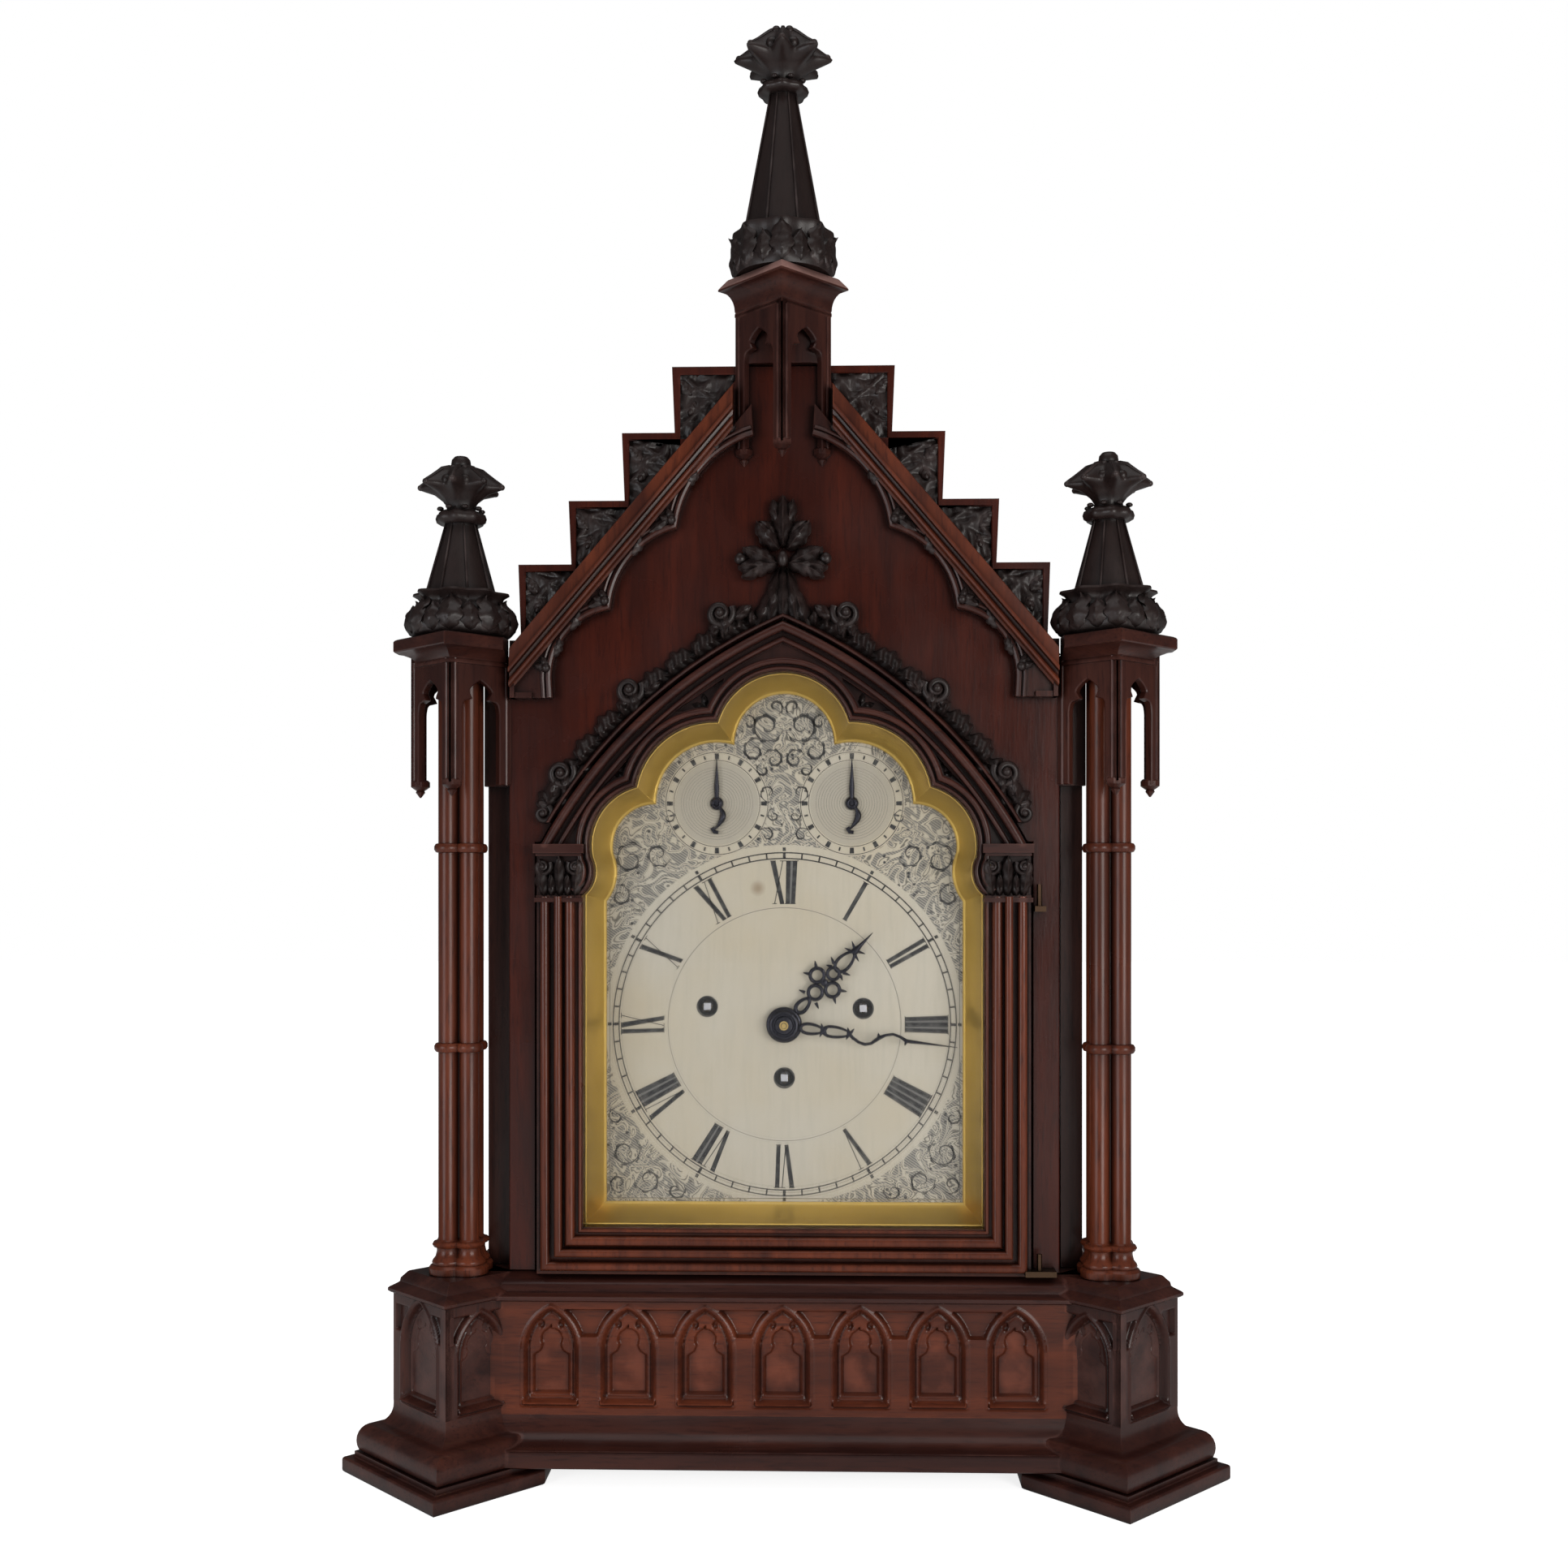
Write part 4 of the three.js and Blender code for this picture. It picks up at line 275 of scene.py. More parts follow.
def moulding(path, profile, closed):
    """A profile of (offset, depth) points carried along a path: path(offset) gives the line moved outwards."""
    rows = [np.insert(path(offset), 1, depth, axis=1) for offset, depth in profile]
    if closed:
        return loop(rows)
    return loft(np.transpose(np.asarray(rows), (1, 0, 2)))


def roll(centre, depth, radius, start=-90, end=270, count=12):
    """Points (offset, depth) round a bead, angles in degrees, depth falling towards the viewer."""
    angle = np.radians(np.linspace(start, end, count))
    return list(zip(centre + radius * np.cos(angle), depth - radius * np.sin(angle)))


def slab(u, v, sunk, thickness):
    """A board whose face is sunk by a grid of depths: rows of the grid close round a flat back."""
    wide, high = np.meshgrid(u, v)
    front = np.stack([wide, sunk, high], axis=-1)
    back = np.empty((len(v), 2, 3))
    back[:, 0] = np.column_stack([np.full(len(v), u[-1]), np.full(len(v), thickness), v])
    back[:, 1] = np.column_stack([np.full(len(v), u[0]), np.full(len(v), thickness), v])
    return loft(np.concatenate([front, back], axis=1))


def plate(outline, front, back, holes=(), bevel=0.0):
    """A flat outline with holes, filled, given thickness and a small chamfer round its edges."""
    curve = bpy.data.curves.new("outline", "CURVE")
    curve.dimensions = "2D"
    curve.fill_mode = "BOTH"
    curve.extrude = (back - front) / 2 - bevel
    curve.bevel_depth = bevel
    curve.bevel_resolution = 0
    curve.offset = -bevel
    for points in (outline, *holes):
        spline = curve.splines.new("POLY")
        spline.points.add(len(points) - 1)
        flat = np.column_stack([points, np.zeros(len(points)), np.ones(len(points))])
        spline.points.foreach_set("co", flat.ravel())
        spline.use_cyclic_u = True
    holder = bpy.data.objects.new("outline", curve)
    mesh = bpy.data.meshes.new_from_object(holder)
    flat = np.empty(len(mesh.vertices) * 3)
    mesh.vertices.foreach_get("co", flat)
    flat = flat.reshape(-1, 3)
    points = np.column_stack([flat[:, 0], (front + back) / 2 + flat[:, 2], flat[:, 1]])
    faces = [list(p.vertices) for p in mesh.polygons]
    bpy.data.objects.remove(holder)
    bpy.data.curves.remove(curve)
    bpy.data.meshes.remove(mesh)
    return points, faces


def turned_shell(shell, degrees, cx=0.0, cy=0.0):
    """A shell turned about the upright axis, then moved in plan."""
    points, faces = shell
    angle = math.radians(degrees)
    x = points[:, 0] * math.cos(angle) - points[:, 1] * math.sin(angle) + cx
    y = points[:, 0] * math.sin(angle) + points[:, 1] * math.cos(angle) + cy
    return np.column_stack([x, y, points[:, 2]]), faces


def flipped(shell):
    """The mirror image across the middle of the clock."""
    points, faces = shell
    return points * [-1, 1, 1], [face[::-1] for face in faces]


def both_sides(shells):
    """Shells and their mirror images."""
    return shells + [flipped(shell) for shell in shells]


def tube(path, radii, around=10, flat=1.0, up=(0, 1, 0)):
    """A path of points with a radius at each: sections square to the path, squeezed to flat along up."""
    path = np.asarray(path, float)
    radii = np.broadcast_to(np.asarray(radii, float), (len(path),))
    tangent = np.gradient(path, axis=0)
    tangent /= np.linalg.norm(tangent, axis=1, keepdims=True) + 1e-12
    side = np.cross(tangent, np.asarray(up, float))
    side /= np.linalg.norm(side, axis=1, keepdims=True) + 1e-12
    lift = np.cross(side, tangent)
    angle = np.arange(around) * 2 * math.pi / around
    ring = np.cos(angle)[None, :, None] * side[:, None] + flat * np.sin(angle)[None, :, None] * lift[:, None]
    return loft(path[:, None] + radii[:, None, None] * ring)


def ball(centre, radii, rows=9, columns=14):
    """An ellipsoid: rings between two small polar caps."""
    polar = np.linspace(0.12, math.pi - 0.12, rows)
    plan = polygon(columns)
    return loft([
        np.column_stack([
            centre[0] + radii[0] * math.sin(a) * plan[:, 0],
            centre[1] + radii[1] * math.sin(a) * plan[:, 1],
            np.full(columns, centre[2] - radii[2] * math.cos(a)),
        ]) for a in polar
    ])


# ---------------------------------------------------------------- pieces
def make_piece(name, shells, material, slot, body="case", nodes=(), smooth=35.0, bevel=0.0):
    """Shells joined to one mesh in metres, with outward faces and sharp edges kept where they turn enough."""
    points, faces = join(shells)
    mesh = bpy.data.meshes.new(name)
    mesh.from_pydata(((points + [0, COLUMN_Y, 0]) * MM).tolist(), [], faces)
    work = bmesh.new()
    work.from_mesh(mesh)
    bmesh.ops.remove_doubles(work, verts=work.verts, dist=1e-6)
    bmesh.ops.recalc_face_normals(work, faces=work.faces)
    work.to_mesh(mesh)
    work.free()
    mesh.shade_smooth()
    mesh.set_sharp_from_angle(angle=math.radians(smooth))
    piece = bpy.data.objects.new(name, mesh)
    bpy.context.scene.collection.objects.link(piece)
    mesh.materials.append(material)
    if bevel:
        softened = piece.modifiers.new("edges", "BEVEL")
        softened.width = bevel * MM
        softened.segments = 2
        softened.limit_method = "ANGLE"
        softened.angle_limit = math.radians(38)
        softened.harden_normals = True
    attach(piece, body)
    if nodes:
        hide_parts(*nodes)
    return piece


def make_pair(name, shells, material, slot, nodes=(), **options):
    """A right-hand piece and its mirror image; nodes are named without their side."""
    for side, turned in (("right", shells), ("left", [flipped(s) for s in shells])):
        make_piece(f"{name}_{side}", turned, material, slot, nodes=[f"{n}_{side}" for n in nodes], **options)


def dress(material, *nodes):
    """Gives frame nodes that keep their own shape a finish."""
    for name in nodes:
        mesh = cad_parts[name].data
        mesh.materials.clear()
        mesh.materials.append(material)


# ---------------------------------------------------------------- sizes and colours that a user would change
def length(name, description, default):
    """A size property in metres."""
    return FloatProperty(name=name, description=description, default=default, unit="LENGTH", precision=5)


def tint(name, description, default):
    """A colour property."""
    return FloatVectorProperty(name=name, description=description, default=default, subtype="COLOR", size=3,
                               min=0.0, max=1.0)


class ClockSizes(bpy.types.PropertyGroup):
    """Sizes of the dressing."""
    relief_step: length("Relief step", "Grid step of carved faces", 0.0007)
    edge: length("Edge", "Width of the worn rounding of wooden edges", 0.0004)
    sink: length("Sinking", "Depth of the lancet panels", 0.004)
    grain: FloatProperty(name="Grain", description="Scale of the wood's figure", default=9.0, min=1.0,
                         max=40.0)


class ClockColours(bpy.types.PropertyGroup):
    """Colours of the finishes, linear."""
    mahogany_light: tint("Mahogany, light", "Polished faces where they catch the light",
                         (0.155, 0.034, 0.013))
    mahogany_dark: tint("Mahogany, dark", "Grain and shaded wood", (0.040, 0.010, 0.006))
    carving: tint("Carving", "Darkened carved wood", (0.017, 0.0095, 0.0085))
    gilt: tint("Gilt", "Gilt slip round the dial", (0.74, 0.47, 0.105))
    silver: tint("Silvering", "Silvered dial", (0.465, 0.43, 0.355))
    wax: tint("Wax", "Black wax in the engraving", (0.011, 0.011, 0.012))
    brass: tint("Brass", "Movement and fittings", (0.56, 0.36, 0.12))
    blued: tint("Blued steel", "Hands", (0.012, 0.012, 0.016))


# ---------------------------------------------------------------- finishes
def add_node(tree, kind, values=None, **settings):
    """A shader node with settings on itself and values on its inputs; a value may be another node's output."""
    node = tree.nodes.new(kind)
    for key, value in settings.items():
        setattr(node, key, value)
    for key, value in (values or {}).items():
        if isinstance(value, bpy.types.NodeSocket):
            tree.links.new(value, node.inputs[key])
        else:
            node.inputs[key].default_value = value
    return node


def mix(tree, factor, a, b):
    """Colour b over colour a by a factor."""
    return add_node(tree, "ShaderNodeMix", {0: factor, 6: a, 7: b}, data_type="RGBA").outputs[2]


def calc(tree, kind, a, b=0.0):
    """One step of arithmetic on two values."""
    return add_node(tree, "ShaderNodeMath", {0: a, 1: b}, operation=kind).outputs[0]


def object_place(tree):
    """Where a point lies on its piece, in metres."""
    return add_node(tree, "ShaderNodeTexCoord").outputs["Object"]


def noise(tree, place, scale, detail, **more):
    """The value of a noise pattern; more holds its other inputs."""
    values = {"Vector": place, "Scale": scale, "Detail": detail, **more}
    return add_node(tree, "ShaderNodeTexNoise", values).outputs["Fac"]


def stretched(tree, place, by):
    """A place drawn out by a factor for each axis."""
    return add_node(tree, "ShaderNodeVectorMath", {0: place, 1: by}, operation="MULTIPLY").outputs["Vector"]


def shade(colour, factor=1.0):
    """A colour with full alpha, made darker by one factor or by one for each part."""
    return (*(np.array(colour) * factor), 1)


def scaled(tree, value, low, high, to_low, to_high):
    """A value mapped from one range to another, clamped."""
    return add_node(tree, "ShaderNodeMapRange", {
        "Value": value, "From Min": low, "From Max": high, "To Min": to_low, "To Max": to_high,
    }).outputs["Result"]


def new_group(name, inputs, outputs):
    """An empty node group with named inputs (name, socket type, default) and outputs (name, socket type)."""
    group = bpy.data.node_groups.new(name, "ShaderNodeTree")
    for label, kind, default in inputs:
        socket = group.interface.new_socket(name=label, in_out="INPUT", socket_type=kind)
        if default is not None:
            socket.default_value = default
    for label, kind in outputs:
        group.interface.new_socket(name=label, in_out="OUTPUT", socket_type=kind)
    return group, group.nodes.new("NodeGroupInput"), group.nodes.new("NodeGroupOutput")


def figure_group():
    """Wood figure: fine pores drawn out along the grain, wider streaks, and slow changes of colour."""
    group, given, out = new_group("Wood figure", [
        ("Stretch", "NodeSocketVector", (1.0, 1.0, 1.0)), ("Grain", "NodeSocketFloat", 9.0),
        ("Light", "NodeSocketColor", (0.15, 0.03, 0.01, 1)),
        ("Dark", "NodeSocketColor", (0.04, 0.01, 0.01, 1)),
    ], [("Color", "NodeSocketColor"), ("Height", "NodeSocketFloat"), ("Streak", "NodeSocketFloat")])
    place = object_place(group)
    drawn = stretched(group, place, given.outputs["Stretch"])
    streak_scale = calc(group, "MULTIPLY", given.outputs["Grain"], 6.0)
    pore_scale = calc(group, "MULTIPLY", given.outputs["Grain"], 70.0)
    streak = noise(group, drawn, streak_scale, 5.0, Roughness=0.6, Distortion=0.6)
    pores = noise(group, drawn, pore_scale, 3.0, Roughness=0.6)
    cloud = noise(group, place, 7.0, 2.0)
    wide = scaled(group, streak, 0.3, 0.7, 0.0, 1.0)
    base = mix(group, wide, given.outputs["Light"], given.outputs["Dark"])
    pored = mix(group, scaled(group, pores, 0.52, 0.7, 0.0, 0.75), base, given.outputs["Dark"])
    shaded = mix(group, scaled(group, cloud, 0.35, 0.7, 0.0, 0.45), pored, given.outputs["Dark"])
    group.links.new(shaded, out.inputs["Color"])
    group.links.new(pores, out.inputs["Height"])
    group.links.new(wide, out.inputs["Streak"])
    return group


def wear_group():
    """Wear and darkening: hollows are darkened by an ambient-occlusion mask, proud edges are rubbed paler in patches
    of noise.
    """
    group, given, out = new_group("Wear and darkening", [
        ("Color", "NodeSocketColor", (0.1, 0.03, 0.02, 1)),
        ("Dark hollows", "NodeSocketColor", (0.01, 0.006, 0.005, 1)),
        ("Rubbed", "NodeSocketColor", (0.25, 0.1, 0.06, 1)), ("Dark hollows amount", "NodeSocketFloat", 0.8),
        ("Rub amount", "NodeSocketFloat", 0.5), ("Reach", "NodeSocketFloat", 0.006),
    ], [("Color", "NodeSocketColor"), ("Hollow", "NodeSocketFloat"), ("Edge", "NodeSocketFloat")])
    place = object_place(group)
    patch = noise(group, place, 60.0, 4.0)
    hollow_ao = add_node(group, "ShaderNodeAmbientOcclusion", {"Distance": given.outputs["Reach"]},
                         samples=8).outputs["AO"]
    edge_ao = add_node(group, "ShaderNodeAmbientOcclusion", {"Distance": 0.0012}, samples=8,
                       inside=True).outputs["AO"]
    hollow = scaled(group, hollow_ao, 0.45, 0.95, 1.0, 0.0)
    hollow = calc(group, "MULTIPLY", hollow, given.outputs["Dark hollows amount"])
    edge = scaled(group, edge_ao, 0.35, 0.8, 1.0, 0.0)
    broken = scaled(group, patch, 0.4, 0.62, 0.0, 1.0)
    edge = calc(group, "MULTIPLY", calc(group, "MULTIPLY", edge, broken), given.outputs["Rub amount"])
    rubbed = mix(group, edge, given.outputs["Color"], given.outputs["Rubbed"])
    darkened = mix(group, hollow, rubbed, given.outputs["Dark hollows"])
    group.links.new(darkened, out.inputs["Color"])
    group.links.new(hollow, out.inputs["Hollow"])
    group.links.new(edge, out.inputs["Edge"])
    return group


def shared_group(tree, name, maker, values=None):
    """A node that holds the node group of that name, made once, with values set or linked."""
    group = bpy.data.node_groups.get(name) or maker()
    return add_node(tree, "ShaderNodeGroup", values, node_tree=group)


def start_material(name):
    """A material with its tree cleared to a Principled surface."""
    material = bpy.data.materials.new(name)
    material.use_nodes = True
    tree = material.node_tree
    tree.nodes.clear()
    shader = add_node(tree, "ShaderNodeBsdfPrincipled")
    out = add_node(tree, "ShaderNodeOutputMaterial")
    tree.links.new(shader.outputs["BSDF"], out.inputs["Surface"])
    return material, tree, shader


def bump(tree, height, distance, strength=1.0):
    """A bump normal from a height."""
    return add_node(tree, "ShaderNodeBump", {"Height": height, "Distance": distance, "Strength": strength}
                    ).outputs["Normal"]


def wood(name, light, dark, stretch, rough=(0.26, 0.40), darkening=0.85, rub=0.35, coat=0.10, shine=0.22):
    """French-polished wood: figure along the grain, hollows darkened by an ambient-occlusion mask, rubbed edges, a
    thin coat.
    """
    found = bpy.data.materials.get(name)
    if found:
        return found
    sizes = bpy.context.scene.clock_sizes
    material, tree, shader = start_material(name)
    figure = shared_group(tree, "Wood figure", figure_group, {
        "Stretch": stretch, "Grain": sizes.grain, "Light": shade(light), "Dark": shade(dark),
    })
    wear = shared_group(tree, "Wear and darkening", wear_group, {
        "Color": figure.outputs["Color"], "Dark hollows": shade(dark, 0.35),
        "Rubbed": tuple(min(1.0, 1.6 * c + 0.02) for c in light) + (1,),
        "Dark hollows amount": darkening, "Rub amount": rub,
    })
    tree.links.new(wear.outputs["Color"], shader.inputs["Base Color"])
    smudge = noise(tree, object_place(tree), 22.0, 4.0)
    tree.links.new(scaled(tree, smudge, 0.3, 0.7, *rough), shader.inputs["Roughness"])
    tree.links.new(bump(tree, figure.outputs["Height"], 0.00012, 0.5), shader.inputs["Normal"])
    shader.inputs["Specular IOR Level"].default_value = shine
    shader.inputs["Coat Weight"].default_value = coat
    shader.inputs["Coat Roughness"].default_value = 0.14
    return material


ALONG_X = (0.10, 1.0, 1.0)
ALONG_Z = (1.0, 1.0, 0.10)


def red_wood(upright=True):
    """The brighter polished mahogany of faces, columns and rakes."""
    colours = bpy.context.scene.clock_colours
    name = "mahogany_upright" if upright else "mahogany_level"
    return wood(name, colours.mahogany_light, colours.mahogany_dark, ALONG_Z if upright else ALONG_X)


def brown_wood(upright=False):
    """The darker mahogany of mouldings."""
    colours = bpy.context.scene.clock_colours
    light = (0.55 * np.array(colours.mahogany_light) + 0.3 * np.array(colours.mahogany_dark)) * [0.72, 0.95,
                                                                                                 1.5]
    dark = 0.6 * np.array(colours.mahogany_dark) * [0.8, 1.0, 1.4]
    return wood("brown_upright" if upright else "brown_level", tuple(light), tuple(dark),
                ALONG_Z if upright else ALONG_X)


def sheen_painted_wood():
    """Mahogany on a ledge, paled with grey as a painted sheen of the light from above."""
    colours = bpy.context.scene.clock_colours
    # Painted highlight: grey is added to the colour for the sheen that the sloping top catches.
    light = 0.8 * np.array(colours.mahogany_light) + [0.16, 0.125, 0.12]
    return wood("sheen_painted_wood", tuple(light), tuple(0.55 * light), ALONG_X, (0.5, 0.7), 0.5, 0.2, 0.0, 0.2)


def gable_wood():
    """The deep red mahogany of the gable field, darkened as painted shade for the little light that reaches it."""
    colours = bpy.context.scene.clock_colours
    light = np.array(colours.mahogany_light) * [0.42, 0.30, 0.34]
    dark = np.array(colours.mahogany_dark) * [0.55, 0.45, 0.5]
    return wood("gable_wood", tuple(light), tuple(dark), ALONG_Z, (0.22, 0.36), 0.9, 0.2, 0.1, 0.22)


def carved_wood():
    """Dark carved wood, darkened further in its hollows by the ambient-occlusion mask."""
    colours = bpy.context.scene.clock_colours
    carving = np.array(colours.carving)
    return wood("carved_wood", tuple(carving * 1.5), tuple(carving * 0.7), ALONG_Z, (0.34, 0.5), 0.9, 0.6,
                0.05, 0.30)


def metal(name, colour, rough=(0.2, 0.4), speck=0.35, metallic=1.0, shade_below=None):
    """Metal with tarnish clouds, hollows darkened by an ambient-occlusion mask and, where asked for, painted shade
    that darkens it below a height.
    """
    found = bpy.data.materials.get(name)
    if found:
        return found
    material, tree, shader = start_material(name)
    place = object_place(tree)
    cloud = noise(tree, place, 45.0, 6.0)
    tarnished_and_shaded = mix(tree, scaled(tree, cloud, 0.42, 0.75, 0.0, speck), shade(colour),
                    shade(colour, 0.35))
    # Painted shade: below the given heights the colour is darkened, for the light that the lower part does not
    # catch.
    if shade_below:
        height = add_node(tree, "ShaderNodeSeparateXYZ", {"Vector": place}).outputs["Z"]
        tarnished_and_shaded = mix(tree, scaled(tree, height, *shade_below, 0.9, 0.0), tarnished_and_shaded,
                        shade(colour, 0.22))
    wear = shared_group(tree, "Wear and darkening", wear_group, {
        "Color": tarnished_and_shaded, "Dark hollows": shade(colour, 0.18),
        "Rubbed": tuple(min(1.0, 1.25 * c) for c in colour) + (1,), "Dark hollows amount": 0.6, "Rub amount": 0.3,
    })
    tree.links.new(wear.outputs["Color"], shader.inputs["Base Color"])
    tree.links.new(scaled(tree, cloud, 0.3, 0.7, *rough), shader.inputs["Roughness"])
    shader.inputs["Metallic"].default_value = metallic
    tree.links.new(bump(tree, cloud, 0.00004, 0.5), shader.inputs["Normal"])
    return material


def gilt():
    """Worn gilding, with painted shade that darkens it towards its foot."""
    return metal("gilt", bpy.context.scene.clock_colours.gilt, (0.3, 0.48), 0.45, shade_below=(0.14, 0.36))


def brass():
    """Tarnished brass."""
    return metal("brass", bpy.context.scene.clock_colours.brass, (0.18, 0.38), 0.4)


def old_bronze():
    """Brass gone brown."""
    return metal("old_bronze", (0.075, 0.045, 0.028), (0.35, 0.5), 0.5)


def steel():
    """Bright steel."""
    return metal("steel", (0.42, 0.42, 0.43), (0.2, 0.36), 0.2)


def blued():
    """Steel blued nearly black."""
    return metal("blued_steel", bpy.context.scene.clock_colours.blued, (0.28, 0.42), 0.3, 0.6)


def radius_from(tree, place, x, z, fold=False):
    """Distance in metres of a point from an upright axis through (x, z) millimetres on the dial."""
    parts = add_node(tree, "ShaderNodeSeparateXYZ", {"Vector": place})
    across = parts.outputs["X"]
    if fold:
        across = calc(tree, "ABSOLUTE", across)
    flat = add_node(tree, "ShaderNodeCombineXYZ", {"X": across, "Z": parts.outputs["Z"]}).outputs["Vector"]
    apart = add_node(tree, "ShaderNodeVectorMath", {0: flat, 1: (x * MM, 0, z * MM)}, operation="DISTANCE")
    return apart.outputs["Value"]


def engraving_group():
    """Engraved foliage outside the hour ring and the small dials: curling outlines on hatched ground."""
    group, given, out = new_group("Engraved foliage", [], [
        ("Ground", "NodeSocketFloat"), ("Lines", "NodeSocketFloat"), ("Small dials", "NodeSocketFloat"),
        ("Stain", "NodeSocketFloat")])

    place = object_place(group)
    ring = scaled(group, radius_from(group, place, 0, DIAL_CENTRE_Z), 0.1022, 0.1026, 0.0, 1.0)
    small = radius_from(group, place, *UPPER_FOIL[:2], fold=True)
    field = calc(group, "MULTIPLY", ring, scaled(group, small, 0.0298, 0.0302, 0.0, 1.0))
    curls = noise(group, place, 62.0, 1.5, Roughness=0.45, Distortion=1.4)
    bands = calc(group, "PINGPONG", calc(group, "MULTIPLY", curls, 13.0), 1.0)
    outline = scaled(group, bands, 0.06, 0.16, 1.0, 0.0)
    ground = scaled(group, bands, 0.48, 0.56, 0.0, 1.0)
    slant = add_node(group, "ShaderNodeVectorMath", {0: place, 1: (900.0, 0.0, 1300.0)},
                     operation="DOT_PRODUCT")
    hatch = scaled(group, calc(group, "PINGPONG", slant.outputs["Value"], 1.0), 0.25, 0.6, 0.35, 0.85)
    specks = add_node(group, "ShaderNodeTexVoronoi", {"Vector": place, "Scale": 210.0}).outputs["Distance"]
    dotted = scaled(group, specks, 0.16, 0.24, 1.0, 0.0)
    seeds = calc(group, "MULTIPLY", dotted, scaled(group, curls, 0.5, 0.56, 0.0, 1.0))
    lines = calc(group, "MAXIMUM", calc(group, "MULTIPLY", outline, 0.75), seeds)
    hatched = calc(group, "MULTIPLY", ground, hatch)
    group.links.new(calc(group, "MULTIPLY", hatched, field), out.inputs["Ground"])
    group.links.new(calc(group, "MULTIPLY", lines, field), out.inputs["Lines"])
    group.links.new(scaled(group, small, 0.0236, 0.0240, 0.55, 0.0), out.inputs["Small dials"])
    spot = scaled(group, radius_from(group, place, -15.2, 326.5), 0.001, 0.005, 0.6, 0.0)
    group.links.new(spot, out.inputs["Stain"])
    return group


def silvering():
    """Silvered brass dial: faint upright brushing, yellowed clouds and small stains."""
    found = bpy.data.materials.get("silvered_dial")
    if found:
        return found
    colour = np.array(bpy.context.scene.clock_colours.silver)
    material, tree, shader = start_material("silvered_dial")
    place = object_place(tree)
    cloud = noise(tree, place, 16.0, 4.0)
    brushing = noise(tree, stretched(tree, place, (1.0, 1.0, 0.08)), 420.0, 3.0)
    clouded = scaled(tree, cloud, 0.4, 0.72, 0.0, 0.6)
    yellowed = mix(tree, clouded, shade(colour), shade(colour, [0.93, 0.86, 0.72]))
    streaked = mix(tree, scaled(tree, brushing, 0.45, 0.75, 0.0, 0.22), yellowed, shade(colour, 0.72))
    engraved = shared_group(tree, "Engraved foliage", engraving_group)
    toned = mix(tree, engraved.outputs["Small dials"], streaked, shade(colour, 0.66))
    stained = mix(tree, engraved.outputs["Stain"], toned, shade(colour, [0.42, 0.30, 0.18]))
    hatched = mix(tree, engraved.outputs["Ground"], stained, (0.075, 0.08, 0.085, 1))
    lined = mix(tree, engraved.outputs["Lines"], hatched, (0.03, 0.031, 0.034, 1))
    tree.links.new(lined, shader.inputs["Base Color"])
    shader.inputs["Metallic"].default_value = 0.3
    tree.links.new(scaled(tree, cloud, 0.3, 0.7, 0.42, 0.55), shader.inputs["Roughness"])
    tree.links.new(bump(tree, brushing, 0.00003, 0.4), shader.inputs["Normal"])
    return material


def wax():
    """Black wax that fills engraving, thinned to grey here and there."""
    found = bpy.data.materials.get("engraving_wax")
    if found:
        return found
    colour = bpy.context.scene.clock_colours.wax
    material, tree, shader = start_material("engraving_wax")
    place = object_place(tree)
    thin = noise(tree, place, 180.0, 3.0)
    tree.links.new(mix(tree, scaled(tree, thin, 0.45, 0.8, 0.0, 0.5), shade(colour), (0.16, 0.155, 0.14, 1)),
                   shader.inputs["Base Color"])
    shader.inputs["Roughness"].default_value = 0.5
    return material


def glass():
    """Clear old plate glass that shadows nothing: clear to light, with a faint mirror on top."""
    found = bpy.data.materials.get("clock_glass")
    if found:
        return found
    material, _, shader = start_material("clock_glass")
    shader.inputs["Base Color"].default_value = (1, 1, 1, 1)
    shader.inputs["Roughness"].default_value = 0.02
    shader.inputs["Transmission Weight"].default_value = 1.0
    shader.inputs["Alpha"].default_value = 0.12
    return material


def plain(name, colour, rough):
    """A quiet finish with slight unevenness."""
    found = bpy.data.materials.get(name)
    if found:
        return found
    material, tree, shader = start_material(name)
    place = object_place(tree)
    weave = noise(tree, place, 300.0, 2.0)
    tree.links.new(mix(tree, weave, shade(colour), shade(colour, 0.7)),
                   shader.inputs["Base Color"])
    shader.inputs["Roughness"].default_value = rough
    return material


# ---------------------------------------------------------------- stage
EYE = np.array([0.0, -925.0, 329.5])      # camera at azimuth 0, millimetres from the column plane
EYE_TURN = 1.5                            # degrees that the camera stands to the right
FOCAL_PIXELS = 2050.0
FRAME_PIXELS = 1932.0
HORIZON_PIXEL = 1088.0
PRINCIPAL_PIXEL = 965.0
SENSOR = 36.0
WORLD_LIGHT = 0.42                        # strength of the world in the light that falls on the clock
WORLD_MIRRORED = 0.08                     # strength of the world that polished pieces mirror
FLOOR_SIDE = 6.0                          # metres from the middle to each edge
FLOOR_GLOW = 0.8                          # light that the floor shows but does not cast
GLOW_MIRRORED = 0.10                      # share of that glow that polished pieces mirror


def area_light(name, place, target, size, power, colour):
    """A rectangular soft light aimed at a point, all in metres."""
    data = bpy.data.lights.new(name, "AREA")
    data.shape = "RECTANGLE"
    data.size, data.size_y = size
    data.energy = power
    data.color = colour
    light = bpy.data.objects.new(name, data)
    bpy.context.scene.collection.objects.link(light)
    from_to = np.array(target) - np.array(place)
    light.location = place
    light.rotation_euler = Vector(from_to).to_track_quat("-Z", "Y").to_euler()
    return light


